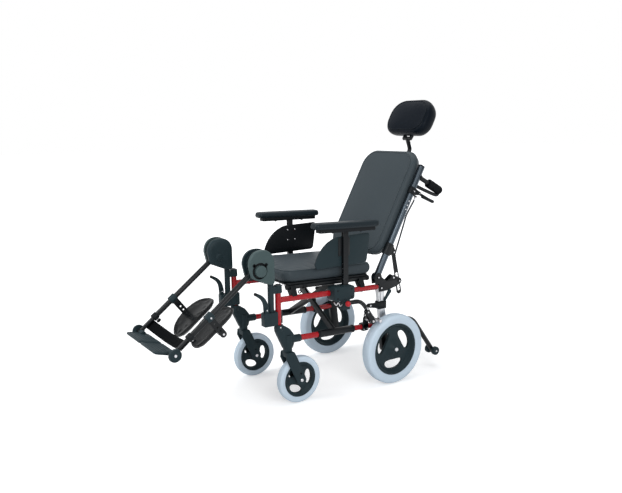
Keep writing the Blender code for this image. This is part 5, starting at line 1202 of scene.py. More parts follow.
def leafed_rim(profile, count, inner, outer, half_angle, first, reach, rib):
    """A rim with leaf openings, each with a raised rib round it on both faces."""
    cutters = []
    ribs = []
    for index in range(count):
        outline = leaf(inner, outer, half_angle, first + 360.0 * index / count)
        cutters.append(extruded(outline, -reach * 2, reach * 2, edge=0.0))
        for way in WAYS:
            ribs.append(ring_sweep([(way * reach / 2, y, z) for y, z in outline], rib))
    return [carved(turned(profile, steps=80), cutters), *ribs]


def wheel_pair(kind, body, centre, steps, tyre, rim, leaves):
    parts = [(turned(tyre_profile(*tyre), centre, steps), "tyre")]
    dress_pair(kind + "_tyre_round", body, parts, node=kind + "_tyre")
    parts = []
    for mesh in leafed_rim(rim_profile(*rim), *leaves):
        mesh.transform(Matrix.Translation(centre))
        parts.append((mesh, "charcoal"))
    dress_pair(kind + "_rim_round", body, parts, node=kind + "_rim")


def wheels():
    groove = WHEEL_TYRE_WIDTH / 2 * WHEEL_GROOVE
    tyre = (WHEEL_R, WHEEL_RIM_R, WHEEL_TYRE_WIDTH, (-groove, groove))
    rim = (WHEEL_RIM_R, WHEEL_RIM_WIDTH, WHEEL_HUB_R, WHEEL_HUB_WIDTH, WHEEL_WEB, AXLE_R)
    leaves = (LENS_COUNT, SPOKE_INNER_R, SPOKE_OUTER_R, SPOKE_HALF_ANGLE, LENS_FIRST_ANGLE, WHEEL_WEB, 0.0012)
    wheel_pair("rear", "wheel", (WHEEL_X, 0.0, WHEEL_R), 96, tyre, rim, leaves)
    tyre = (CASTOR_R, CASTOR_RIM_R, CASTOR_TYRE_WIDTH, (0.0,))
    rim = (CASTOR_RIM_R, CASTOR_RIM_WIDTH, CASTOR_HUB_R, CASTOR_HUB_WIDTH, CASTOR_WEB, CASTOR_PIN_R)
    leaves = (LEAF_COUNT, LEAF_INNER_R, LEAF_OUTER_R, LEAF_HALF_ANGLE, LEAF_FIRST_ANGLE, CASTOR_WEB, 0.0009)
    wheel_pair("castor", "castor_wheel", (FRAME_X, *CASTOR_AXLE), 80, tyre, rim, leaves)


def castor_forks():
    """Moulded forks: two tapered blades from a crown, the stem and the axle bolt with its caps."""
    outline = [*FORK_TOP, *arc(CASTOR_AXLE, FORK_EYE_R + 0.007, 30.0, -165.0, 18)]
    eye = circle((CASTOR_AXLE[0] - 0.004, CASTOR_AXLE[1] + 0.030), 0.0045)
    outer = FORK_INNER + FORK_BLADE
    parts = []
    for way in WAYS:
        ends = sorted((FRAME_X + way * FORK_INNER, FRAME_X + way * outer))
        cap = cross_rod(FRAME_X + way * outer, FRAME_X + way * (outer + 0.002), CASTOR_AXLE, 0.0075, 0.006)
        parts += [(extruded(outline, *ends, holes=[eye], edge=0.0016), "charcoal"), (cap, "steel")]
    crown = box(
        (FRAME_X - FORK_INNER - 0.001, FORK_FRONT + 0.004, FORK_CROWN_LOW),
        (FRAME_X + FORK_INNER + 0.001, FORK_REAR - 0.002, FORK_CROWN_TOP),
        ROUND,
    )
    stem = up_rod((FRAME_X, SWIVEL_Y), FORK_CROWN_TOP - 0.005, STEM_TOP, STEM_R)
    pin = cross_rod(FRAME_X - outer, FRAME_X + outer, CASTOR_AXLE, CASTOR_PIN_R)
    parts += [(crown, "charcoal"), (stem, "steel"), (pin, "steel")]
    dress_pair("castor_fork_moulded", "castor_fork", parts, node="castor_fork")


# Side frames
def saddle(y):
    """A saddle clipped on the top rail with an open cradle for the seat rail."""
    low = top_rail_z(y) + TUBE_R * 0.25
    lip = seat_rail_z(y) + SADDLE_CRADLE
    inner = SEAT_RAIL_X - SEAT_RAIL_R - SADDLE_WALL
    outer = FRAME_X + TUBE_R * 0.70
    mouth = SEAT_RAIL_R + BORE_GAP
    outline = [(FRAME_X - TUBE_R - SADDLE_WALL, low), (outer, low), (outer, top_rail_z(y) + TUBE_R + SADDLE_WALL)]
    outline += [(SEAT_RAIL_X + mouth + SADDLE_WALL, lip), (SEAT_RAIL_X + mouth, lip)]
    outline += arc((SEAT_RAIL_X, seat_rail_z(y)), mouth, 0.0, -180.0, 14)
    outline += [(SEAT_RAIL_X - mouth, lip), (inner, lip), (inner, seat_rail_z(y) - SEAT_RAIL_R - SADDLE_WALL)]
    return extruded(outline, y - SADDLE_LENGTH / 2, y + SADDLE_LENGTH / 2, ALONG_Y, edge=0.0014)


def anti_tip_line():
    axle = Vector((FRAME_X, ANTI_TIP_WHEEL_Y, ANTI_TIP_WHEEL_Z))
    knee = Vector((FRAME_X, ANTI_TIP_BEND_Y, ANTI_TIP_Z))
    start = Vector((FRAME_X, post_y(ANTI_TIP_Z), ANTI_TIP_Z))
    end = axle + (axle - knee).normalized() * ANTI_TIP_R
    return rounded_line([start, knee, end], ANTI_TIP_BEND_R, 10)


def side_frames():
    """Red tubes with a weld bead, the axle post with its axle, the saddles, the brake mount and the anti-tip tube."""
    post_front = POST_DEPTH / 2 - RAIL_WELD
    rail_end = POST_TOP_Y - post_front
    lower_end = post_y(LOWER_RAIL_Z) - post_front
    weld = top_rail_z(UPRIGHT_Y + TUBE_R)
    bead = [(FRAME_X + y, UPRIGHT_Y + TUBE_R * 0.96, weld + z) for y, z in circle((0.0, 0.0), TUBE_R * 1.02, 28)]
    half_y = POST_DEPTH / 2
    outline = arc((0.0, POST_BOTTOM_Z + half_y), half_y, 180.0, 360.0, 14)
    outline += [(POST_TOP_Y + half_y, POST_TOP_Z), (POST_TOP_Y - half_y, POST_TOP_Z)]
    holes = [circle((post_y(z), z), POST_HOLE_R) for z in POST_HOLES]
    axle = (0.0, WHEEL_R)
    cap_x = WHEEL_X + WHEEL_HUB_WIDTH / 2
    cap_end = cap_x + AXLE_CAP_THICK
    line = anti_tip_line()
    parts = [
        (up_rod((FRAME_X, UPRIGHT_Y), UPRIGHT_BOTTOM, UPRIGHT_TOP, TUBE_R), "red_paint"),
        (rail_rod(FRAME_X, top_rail_z, UPRIGHT_Y, rail_end, TUBE_R), "red_paint"),
        (rail_rod(FRAME_X, lower_rail_z, LOWER_RAIL_Y - 0.010, lower_end, TUBE_R), "red_paint"),
        (ring_sweep(bead, WELD_BEAD_R), "red_paint"),
        (slab(outline, FRAME_X, POST_WIDTH / 2, holes, SOFT), "silver"),
        *post_fittings(),
        (cross_rod(FRAME_X, WHEEL_X - WHEEL_HUB_WIDTH / 2, axle, AXLE_CAP_R), "silver"),
        (cross_rod(FRAME_X, cap_x, axle, AXLE_R), "steel"),
        (cross_rod(cap_x, cap_end, axle, AXLE_CAP_R, AXLE_CAP_R * 0.75, CRISP), "silver"),
    ]
    for y in (SADDLE_FRONT_Y, SADDLE_REAR_Y):
        bolt = top_rail_z(y) - TUBE_R + 0.001
        parts.append((saddle(y), "black_plastic"))
        parts.append((up_rod((FRAME_X, y), bolt, bolt - 0.005, 0.0045, 0.0038), "steel"))
    parts += brake_mount()
    parts.append((sweep(line, ANTI_TIP_R, 6), "black_metal"))
    parts.append((ball(line[-1], ANTI_TIP_R * 0.98), "black_plastic"))
    dress_pair("side_frame_painted", "frame", parts, node="side_frame")


def post_fittings():
    """On each axle post: a dark sleeve round its foot, a clamp with an arm toward the brake, and a finger paddle."""
    half_x = POST_WIDTH / 2 + SLEEVE_WALL
    half_y = POST_DEPTH / 2 + SLEEVE_WALL
    foot = arc((0.0, POST_BOTTOM_Z + POST_DEPTH / 2), half_y, 180.0, 360.0, 14)
    foot += [(post_y(SLEEVE_TOP) + half_y, SLEEVE_TOP), (post_y(SLEEVE_TOP) - half_y, SLEEVE_TOP)]
    y = post_y(POST_CLAMP_Z)
    outer = FRAME_X + half_x
    clamp = box(
        (FRAME_X - half_x - 0.003, y - half_y - 0.004, POST_CLAMP_Z - 0.018),
        (outer + 0.004, y + half_y + 0.004, POST_CLAMP_Z + 0.018),
        ROUND,
    )
    arm = capsule((y - 0.010, POST_CLAMP_Z), (-0.098, POST_CLAMP_Z + 0.008), 0.013, 0.009)
    return [
        (slab(foot, FRAME_X, half_x, edge=CRISP), "black_metal"),
        (clamp, "black_plastic"),
        (extruded(arm, FRAME_X + 0.004, outer + 0.006, edge=SOFT), "black_plastic"),
        (extruded(capsule(*PADDLE), outer + 0.001, outer + 0.007, edge=WORN), "charcoal"),
        (screw_head((outer + 0.0055, -0.092, POST_CLAMP_Z + 0.0075), 0.0045), "steel"),
    ]


def brake_mount():
    """The clamp on the lower rail with its upright plate, pinch bolts and the brake's pivot pin."""
    clamp_half = TUBE_R + BRAKE_CLAMP_WALL
    pivot = brake_pivot()
    z = lower_rail_z(pivot[0])
    front = pivot[0] - BRAKE_CLAMP_HALF
    rear = pivot[0] + BRAKE_CLAMP_HALF
    plate_x = FRAME_X + clamp_half
    eye = arc(pivot, BRAKE_CLAMP_HALF * 0.8, 0.0, 180.0, 16)
    clamp = box((FRAME_X - clamp_half, front, z - clamp_half), (plate_x, rear, z + clamp_half), ROUND)
    parts = [
        (clamp, "black_metal"),
        (extruded([(front, z), (rear, z), *eye], plate_x - BRAKE_PLATE, plate_x), "black_metal"),
        (cross_rod(plate_x - BRAKE_PLATE, BRAKE_LEVER_X + BRAKE_HUB_R, pivot, BRAKE_PIN_R), "steel"),
    ]
    for y in (front + 0.007, rear - 0.007):
        parts.append((screw_head((plate_x, y, z - 0.008), 0.0035), "steel"))
    return parts


def front_castings():
    """Cast front legs: a socket for the upright, a socket for the lower rail and the castor head."""
    swivel = (FRAME_X, SWIVEL_Y)
    upright = (FRAME_X, UPRIGHT_Y)
    socket_r = CASTING_SOCKET_R
    head_low = FORK_CROWN_TOP + FIT
    cap = turned(CASTING_CAP, steps=24)
    cap.transform(Matrix.Translation((*swivel, CASTING_HEAD_TOP)) @ Matrix.Rotation(-math.pi / 2, 4, "Y"))
    parts = [
        (up_rod(swivel, head_low, CASTING_HEAD_TOP, CASTING_HEAD_R, None, SOFT), "charcoal"),
        (up_rod(upright, UPRIGHT_BOTTOM - 0.012, CASTING_SOCKET_TOP, socket_r, None, SOFT), "charcoal"),
        (rail_rod(FRAME_X, lower_rail_z, SWIVEL_Y, LOWER_RAIL_Y + 0.016, socket_r - 0.002, SOFT), "charcoal"),
        (slab(rounded_ring(CASTING_OUTLINE, 0.010), FRAME_X, CASTING_WEB / 2, edge=0.004), "charcoal"),
        (cap, "black_plastic"),
        (screw_head((FRAME_X + socket_r - 0.001, UPRIGHT_Y, UPRIGHT_BOTTOM + 0.006), 0.0035), "steel"),
    ]
    dress_pair("front_casting_cast", "frame", parts, node="front_casting")


# Cross brace and seat base
def brace_arm(side, y):
    """One flat arm with the sleeve on its foot and the seat rail on its top, both with plastic ends."""
    low_x = side * FRAME_X
    rail_x = -side * SEAT_RAIL_X
    low_z = lower_rail_z(BRACE_Y)
    rise = (seat_rail_z(BRACE_Y) - low_z) * (BRACE_TOP_X + FRAME_X) / (SEAT_RAIL_X + FRAME_X)
    foot = Vector((low_x, low_z))
    head = Vector((-side * BRACE_TOP_X, low_z + rise))
    along = Vector((-side * BRACE_TOP_X - low_x, rise)).normalized()
    across = Vector((-along.y, along.x)) * ARM_WIDTH / 2
    outline = [foot - across, head - across, head + across, foot + across]
    parts = [
        (extruded(outline, y - ARM_THICK / 2, y + ARM_THICK / 2, ALONG_Y, edge=BLUNT), "black_metal"),
        (rail_rod(low_x, lower_rail_z, SLEEVE_FRONT, SLEEVE_REAR, SLEEVE_R, EASED), "black_metal"),
        (rail_rod(rail_x, seat_rail_z, SEAT_RAIL_FRONT, SEAT_RAIL_REAR, SEAT_RAIL_R), "black_metal"),
    ]
    for start, stop in ((SEAT_RAIL_FRONT, SEAT_RAIL_FRONT + RAIL_PLUG), (SEAT_RAIL_REAR - RAIL_PLUG, SEAT_RAIL_REAR)):
        parts.append((rail_rod(rail_x, seat_rail_z, start, stop, SEAT_RAIL_R * 1.09, SOFT), "black_plastic"))
    for place in (SLEEVE_FRONT, SLEEVE_REAR - SLEEVE_BAND):
        band = rail_rod(low_x, lower_rail_z, place, place + SLEEVE_BAND, SLEEVE_R * 1.08, FINE)
        parts.append((band, "black_plastic"))
    return parts


def cross_brace():
    step = (ARM_THICK + 0.001) / 2
    low = lower_rail_z(BRACE_Y)
    z = low + (seat_rail_z(BRACE_Y) - low) * FRAME_X / (SEAT_RAIL_X + FRAME_X)
    front = brace_arm(1.0, BRACE_Y - step)
    for way in WAYS:
        face = BRACE_Y + way * step + way * ARM_THICK / 2
        bolt = rod((0.0, face, z), (0.0, face + way * BRACE_HEAD_THICK, z), BRACE_HEAD_R, None, FINE, 6)
        front.append((bolt, "steel"))
    dress("brace_arm_front_coated", "frame", front, node="brace_arm_front")
    rear = brace_arm(-1.0, BRACE_Y + step)
    dress("brace_arm_rear_coated", "frame", rear, node="brace_arm_rear")
    outline = rounded_rectangle((-BOARD_HALF_X, BOARD_FRONT), (BOARD_HALF_X, BOARD_REAR), BOARD_CORNER)
    board = extruded(outline, 0.0, BOARD_THICK, ALONG_Z)
    board.transform(slope_matrix(SEAT_RAIL_FRONT, SEAT_RAIL_Z + SEAT_RAIL_R * SLOPE_STRETCH + FIT))
    parts = [(board, "black_plastic")]
    for y in SEAT_CLIPS:
        for way in WAYS:
            ends = (y - CLIP_HALF, y + CLIP_HALF)
            clip = rail_rod(way * SEAT_RAIL_X, seat_rail_z, *ends, SEAT_RAIL_R + CLIP_WALL, EASED)
            parts.append((clip, "black_plastic"))
    dress("seat_board_moulded", "frame", parts, node="seat_board")


def anti_tip_rollers():
    inner = ANTI_TIP_R + ANTI_TIP_SIDE_GAP
    outer = inner + ANTI_TIP_WHEEL_WIDTH
    r = ANTI_TIP_WHEEL_R
    edge = ANTI_TIP_WHEEL_EDGE
    axle = (ANTI_TIP_WHEEL_Y, ANTI_TIP_WHEEL_Z)
    profile = [(inner, r - edge), (inner + edge * 0.4, r - edge * 0.3), (inner + edge, r), (outer - edge, r)]
    profile += [(outer - edge * 0.4, r - edge * 0.3), (outer, r - edge), (outer - 0.002, r * 0.62)]
    profile += [(outer - 0.002, r * 0.4), (outer, r * 0.34), (outer, AXIS_R), (inner, AXIS_R)]
    parts = []
    for way in WAYS:
        roller = turned([(way * x, reach) for x, reach in profile], (FRAME_X, *axle), 40)
        parts.append((roller, "charcoal"))
        parts.append((screw_head((FRAME_X + way * outer, *axle), 0.005, way), "steel"))
    parts.append((cross_rod(FRAME_X - inner, FRAME_X + inner, axle, ANTI_TIP_PIN_R), "steel"))
    dress_pair("anti_tip_rollers_round", "anti_tip_rollers", parts, node="anti_tip_rollers")


# Armrests
def around_post(half_x, half_y, low, high, edge):
    """A box round the armrest post's line."""
    return box((ARM_POST_X - half_x, ARM_POST_Y - half_y, low), (ARM_POST_X + half_x, ARM_POST_Y + half_y, high), edge)


def armrest_receivers():
    """Moulded blocks on the top rails with a deep socket, a clamp bolt and a wire spring clip."""
    half_x = ARM_POST_WIDTH / 2 + FIT
    half_y = ARM_POST_DEPTH / 2 + FIT
    inner = FRAME_X - TUBE_R - RECEIVER_WALL
    outer = ARM_POST_X + half_x + RECEIVER_OUTER_WALL
    ring = rounded_ring(
        [
            (RECEIVER_FRONT, RECEIVER_BOTTOM),
            (RECEIVER_REAR, RECEIVER_BOTTOM),
            (RECEIVER_REAR, RECEIVER_TOP),
            (RECEIVER_FRONT, RECEIVER_TOP),
        ],
        0.014,
        8,
    )
    wall_x = half_x + SOCKET_WALL
    wall_y = half_y + SOCKET_WALL
    blocks = (
        extruded(ring, inner, outer, edge=ROUND),
        around_post(wall_x, wall_y, SOCKET_BOTTOM, RECEIVER_BOTTOM + RECEIVER_WALL, SOFT),
        around_post(wall_x, wall_y, RECEIVER_TOP - 0.004, RECEIVER_TOP + 0.004, EASED),
    )
    slot = around_post(half_x, half_y, SOCKET_BOTTOM - 0.01, RECEIVER_TOP + 0.01, SHARP)
    parts = [(carved(mesh, [slot.copy()]), "charcoal") for mesh in blocks]
    for y in (RECEIVER_FRONT + 0.016, RECEIVER_REAR - 0.016):
        for z in (RECEIVER_BOTTOM + 0.012, RECEIVER_TOP - 0.014):
            parts.append((screw_head((outer - FIT, y, z), 0.0042), "black_plastic"))
    clip_x = ARM_POST_X + 0.004
    clip = [(clip_x, RECEIVER_FRONT + y, RECEIVER_BOTTOM - z) for y, z in SPRING_CLIP]
    clip.append((clip_x, ARM_POST_Y - wall_y + 0.001, RECEIVER_BOTTOM - 0.020))
    parts.append((sweep(smooth_line(clip, 40), SPRING_CLIP_R, 3), "steel"))
    dress_pair("armrest_receiver_moulded", "frame", parts, node="armrest_receiver")


def armrest_posts():
    """Flat posts with a groove down the front and a row of stops in it."""
    half_x = ARM_POST_WIDTH / 2
    front = ARM_POST_Y - ARM_POST_DEPTH / 2
    rear = ARM_POST_Y + ARM_POST_DEPTH / 2
    groove = 0.003
    outline = [
        (ARM_POST_X - half_x, front),
        (ARM_POST_X - groove, front),
        (ARM_POST_X - groove, front + groove),
        (ARM_POST_X + groove, front + groove),
        (ARM_POST_X + groove, front),
        (ARM_POST_X + half_x, front),
        (ARM_POST_X + half_x, rear),
        (ARM_POST_X - half_x, rear),
    ]
    top = ARM_PAD_FRONT_Z - SLOPE * (ARM_POST_Y - ARM_PAD_FRONT)
    parts = [(extruded(outline, ARM_POST_BOTTOM, top, ALONG_Z, edge=KEEN), "black_metal")]
    for index in range(POST_STOPS):
        z = RECEIVER_TOP + 0.030 + 0.022 * index
        stop = rod((ARM_POST_X, front + groove, z), (ARM_POST_X, front + 0.0012, z), 0.0024)
        parts.append((stop, "steel"))
    dress_pair("armrest_post_coated", "armrest", parts, node="armrest_post")


def scaled(outline, middle, half, out):
    """An outline moved out from its middle, or in where the measure is negative."""
    share = (1.0 + out / half[0], 1.0 + out / half[1])
    return [(middle[0] + (x - middle[0]) * share[0], middle[1] + (y - middle[1]) * share[1]) for x, y in outline]


def pad_ring(outline, middle, share, height):
    return [
        (middle[0] + (x - middle[0]) * share[0], middle[1] + (y - middle[1]) * share[1], height) for x, y in outline
    ]


def inset_rings(outline, middle, half, stations):
    """Rings of a pad, each given as how far it is drawn in and its height."""
    rings = []
    for inset, height in stations:
        rings.append(pad_ring(outline, middle, (1.0 - inset / half[0], 1.0 - inset / half[1]), height))
    return rings


def arm_pads():
    """A moulded pad with a rolled rim over a narrower tray that is screwed to the post."""
    middle = (ARM_PAD_X, (ARM_PAD_FRONT + ARM_PAD_REAR) / 2)
    half = (ARM_PAD_HALF_X, (ARM_PAD_REAR - ARM_PAD_FRONT) / 2)
    low = (middle[0] - half[0], middle[1] - half[1] + ARM_PAD_TRIM * 0.7)
    high = (middle[0] + half[0], middle[1] + half[1] - ARM_PAD_TRIM * 1.6)
    outline = rounded_rectangle(low, high, ARM_PAD_CORNER * 0.6, 10)
    foot = ARM_PAD_FOOT
    crown = ARM_PAD_CROWN_HEIGHT - ARM_PAD_LOWER
    stations = [(inset, foot + height) for inset, height in ARM_PAD_ROLL]
    stations += [(inset, crown - below) for inset, below in ARM_PAD_DOME]
    pad = skinned(inset_rings(outline, middle, half, stations))
    seam = [(x, y, foot + 0.009) for x, y in scaled(outline, middle, half, 0.0002)]
    tray_low = (middle[0] - ARM_TRAY_HALF, ARM_PAD_FRONT + half[1] * 0.16)
    tray_high = (middle[0] + ARM_TRAY_HALF, ARM_PAD_REAR - half[1] * 0.16)
    tray = extruded(rounded_rectangle(tray_low, tray_high, 0.008), 0.0, foot + 0.003, ALONG_Z, edge=SOFT)
    parts = [(pad, "arm_vinyl"), (ring_sweep(seam, 0.0007), "arm_vinyl"), (tray, "black_plastic")]
    for y in (ARM_POST_Y - 0.070, ARM_POST_Y + 0.075):
        parts.append((up_rod((middle[0], y), 0.001, -0.005, 0.006, 0.0045), "black_plastic"))
    place = FRAME_SPACE @ slope_matrix(ARM_PAD_FRONT, ARM_PAD_FRONT_Z)
    for pad in dress_pair("armrest_pad_moulded", "armrest", parts, place, "armrest_pad"):
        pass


def armrest_panels():
    """The clothing guard, a sheet whose front edge sweeps down in an arc, screwed to a plate on the post."""
    start = Vector(PANEL_TOP_FRONT)
    stop = Vector(PANEL_NOSE)
    across = Vector((stop.y - start.y, start.x - stop.x)).normalized()
    sweep_down = []
    for share in shares(24):
        bulge = 4.0 * share * (1.0 - share) * PANEL_ARC_SAG
        sweep_down.append(tuple(start.lerp(stop, share) + across * bulge))
    corners = [sweep_down[-1], PANEL_HEEL, PANEL_REAR_LOW, PANEL_REAR_TOP, sweep_down[0]]
    outline = sweep_down[:-1] + flat(rounded_line(corners, 0.018, 8))[:-1]
    outer = ARM_POST_X - ARM_POST_WIDTH / 2 - FIT
    inner = outer - PANEL_THICK
    half = outer - PANEL_THICK / 2
    parts = [
        (extruded(outline, half, outer, edge=CRISP), "charcoal"),
        # The inner half is black: partly a black backing sheet and partly painted shade on the guard's inner face.
        (extruded(outline, inner, half + 0.0002, edge=CRISP), "black_plastic"),
    ]
    for y in (ARM_POST_Y - 0.020, ARM_POST_Y + 0.020):
        for z in PANEL_SCREWS:
            parts.append((screw_head((inner + FIT, y, z), 0.0040, -1.0), "steel"))
    plate = box((outer - 0.0005, ARM_POST_Y - 0.030, 0.600), (outer + 0.0025, ARM_POST_Y + 0.030, 0.677), FINE)
    parts.append((plate, "black_metal"))
    dress_pair("armrest_panel_moulded", "armrest", parts, node="armrest_panel")


# Back frame
def back_tube():
    """A rectangular extrusion with rounded corners and a groove along each face, capped at the top."""
    half_x = BACK_TUBE_HALF_X
    half_b = BACK_TUBE_HALF_B
    deep = BACK_GROOVE_DEPTH
    wide = BACK_GROOVE_HALF
    corner = 0.003
    half = [
        (half_x, -wide),
        (half_x - deep, -wide),
        (half_x - deep, wide),
        (half_x, wide),
        *arc((half_x - corner, half_b - corner), corner, 0.0, 90.0, 6),
        (wide, half_b),
        (wide, half_b - deep),
        (-wide, half_b - deep),
        (-wide, half_b),
        *arc((-half_x + corner, half_b - corner), corner, 90.0, 180.0, 6),
    ]
    section = [(FRAME_X + x, b) for x, b in half + [(-x, -b) for x, b in half]]
    tube = extruded(section, BACK_TUBE_LOW, BACK_TUBE_TOP, ALONG_Z, edge=0.0006)
    end = rounded_rectangle((FRAME_X - half_x, -half_b), (FRAME_X + half_x, half_b), 0.004)
    cap = extruded(end, BACK_TUBE_TOP - 0.001, BACK_TUBE_TOP + 0.006, ALONG_Z, edge=WORN)
    return [(tube, "anodised"), (cap, "black_plastic")]


def eared_collar(low, high, place, lobe, gap, ear, pin, finish):
    """A collar on the back tube with two ears, and the pin through them that a strut or lever turns on."""
    wall_x = BACK_TUBE_HALF_X + COLLAR_WALL
    wall_b = BACK_TUBE_HALF_B + COLLAR_WALL
    collar = box(in_back(FRAME_X - wall_x, low, -wall_b), in_back(FRAME_X + wall_x, high, wall_b), BLUNT)
    radius, spread, count = lobe
    a, b = place
    outline = [(BACK_TUBE_HALF_B, high), (BACK_TUBE_HALF_B, low), *arc((b, a), radius, -spread, spread, count)]
    parts = [(collar, finish)]
    for start, stop in ((gap, gap + ear), (-gap - ear, -gap)):
        parts.append((extruded(outline, FRAME_X + start, FRAME_X + stop), finish))
    pin_r, pin_head = pin
    reach = Vector((gap + ear + pin_head, 0.0, 0.0))
    hang = in_back(FRAME_X, a, b)
    parts.append((rod(hang - reach, hang + reach, pin_r), "steel"))
    return parts


def strut_lugs():
    pin = (STRUT_PIN_R, PIN_HEAD)
    gap = STRUT_THICK / 2 + FIT
    lobe = (LUG_R, 70.0, 16)
    return eared_collar(COLLAR_LOW, COLLAR_HIGH, (STRUT_A, STRUT_B), lobe, gap, LUG_THICK, pin, "black_metal")


def back_rod(a, start, stop, *shape):
    """A rod that points rearward from the back tube."""
    return rod(in_back(FRAME_X, a, start), in_back(FRAME_X, a, stop), *shape)


def push_handle():
    """The grip's core and the arm below it, which bends up to meet the core's end."""
    start = BACK_TUBE_HALF_B - BACK_GROOVE_DEPTH * 2
    knee = HANDLE_END_B - HANDLE_CORE_R
    drop = HANDLE_A - FAT_GRIP_R - HANDLE_LOOP_R + 0.002
    stops = [
        in_back(FRAME_X, HANDLE_ARM_A + 0.003, start),
        in_back(FRAME_X, (HANDLE_ARM_A + drop) / 2, (start + knee) / 2),
        in_back(FRAME_X, drop, knee - HANDLE_LOOP_R),
        in_back(FRAME_X, HANDLE_A - HANDLE_CORE_R, knee + 0.002),
        in_back(FRAME_X, HANDLE_A, knee + 0.002),
    ]
    return [
        (back_rod(HANDLE_A, start, HANDLE_END_B, HANDLE_CORE_R, None, ROUND), "black_metal"),
        (sweep(smooth_line(stops, 36), HANDLE_LOOP_R, 6), "black_metal"),
        (back_rod(HANDLE_A, start, start + 0.010, HANDLE_CORE_R * 1.35, None, SOFT), "black_plastic"),
    ]


def lever_perch():
    """The clamp on the tube that carries the recline lever, with the cable's ferrule below it."""
    gap = LEVER_THICK / 2 + FIT
    pin = (LEVER_PIN_R, PIN_HEAD * 0.75)
    lobe = (LEVER_HALF * 1.6, 80.0, 14)
    pivot = (LEVER_PIVOT_A, LEVER_PIVOT_B)
    parts = eared_collar(PERCH_LOW, PERCH_HIGH, pivot, lobe, gap, PERCH_EAR, pin, "black_plastic")
    x, top, b = CABLE_ROUTE[0]
    shelf_top = PERCH_LOW + FERRULE_R
    shelf = box(
        in_back(FRAME_X - gap - PERCH_EAR, PERCH_LOW, BACK_TUBE_HALF_B),
        in_back(FRAME_X + gap + PERCH_EAR, shelf_top, b + FERRULE_R),
    )
    ferrule = rod(in_back(x, top + CABLE_END_GAP, b), in_back(x, shelf_top, b), FERRULE_R * 0.8, FERRULE_R)
    nut = rod(in_back(x, PERCH_LOW - 0.001, b), in_back(x, PERCH_LOW - 0.006, b), FERRULE_R * 1.25, None, 0.0005, 6)
    wall = FRAME_X + BACK_TUBE_HALF_X + COLLAR_WALL
    parts.append((screw_head(in_back(wall, (PERCH_LOW + PERCH_HIGH) / 2, 0.006), 0.0035), "steel"))
    return parts + [(shelf, "black_plastic"), (ferrule, "steel"), (nut, "steel")]


def cable_anchor():
    """A tab beside the strut's lug with the sleeve that the cable ends in."""
    x, end, b = CABLE_ROUTE[-1]
    ear = FRAME_X - STRUT_THICK / 2 - FIT - LUG_THICK / 2
    low = in_back(x - FERRULE_R, end - FERRULE_R * 2, BACK_TUBE_HALF_B)
    tab = box(low, in_back(ear, end - CABLE_END_GAP, b + FERRULE_R))
    sleeve = rod(in_back(x, end - 0.002, b), in_back(x, end + 0.014, b), FERRULE_R * 0.8)
    return [(tab, "black_metal"), (sleeve, "steel")]


def headrest_clamp():
    """A block on the upper crossbar that the headrest bar slides through, with a knob behind it."""
    a = CROSSBAR_HIGH_A
    half = CLAMP_HALF_A
    rear = BAR_B + BAR_THICK + CLAMP_WALL
    block = box(
        in_back(-CLAMP_HALF_X, a - half, CROSSBAR_FRONT_B + CROSSBAR_THICK / 2),
        in_back(CLAMP_HALF_X, a + half, rear),
        BLUNT,
    )
    slot = box(
        in_back(-BAR_HALF_X - FIT, a - half * 2, BAR_B - FIT),
        in_back(BAR_HALF_X + FIT, a + half * 2, BAR_B + BAR_THICK + FIT),
        SHARP,
    )
    knob = rod(in_back(0.0, a, rear - 0.001), in_back(0.0, a, rear + 0.009), 0.010, 0.009, SOFT)
    return [(carved(block, [slot]), "black_plastic"), (knob, "black_plastic")]


def crossbar(a):
    reach = FRAME_X - BACK_TUBE_HALF_X + BACK_GROOVE_DEPTH / 2
    rear = CROSSBAR_FRONT_B + CROSSBAR_THICK
    bar = box(in_back(-reach, a - CROSSBAR_HALF, CROSSBAR_FRONT_B), in_back(reach, a + CROSSBAR_HALF, rear), CRISP)
    parts = [(bar, "anodised")]
    for way in WAYS:
        at = in_back(way * (reach - 0.020), a, rear)
        parts.append((rod(at, at + Vector((0.0, 0.003, 0.0)), 0.005, 0.004), "steel"))
    return parts


def back_frame():
    """Both back tubes with what is fixed to them, the crossbars and the headrest's clamp."""
    side = [*back_tube(), *strut_lugs(), *push_handle(), *lever_perch(), *cable_anchor()]
    for a in PAD_BOLTS:
        bolt = screw_head(in_back(FRAME_X + BACK_TUBE_HALF_X - 0.0022, a, 0.0), 0.0040, 1.0, 0.0042)
        side.append((bolt, "steel"))
    parts = side + [(mirrored(mesh.copy()), finish) for mesh, finish in side]
    parts += [*crossbar(CROSSBAR_LOW_A), *crossbar(CROSSBAR_HIGH_A), *headrest_clamp()]
    dress("back_frame_extruded", "backrest", parts, BACK_SPACE, "back_frame")


def release_cables():
    """Sleeved cables from the lever's perch to the strut's collar."""
    line = smooth_line([in_back(*stop) for stop in CABLE_ROUTE], 60)
    parts = [(sweep(line, SLEEVED_CABLE_R, 5), "cable_sleeve")]
    cables = dress_pair("release_cable_sleeved", "backrest", parts, BACK_SPACE, "release_cable")


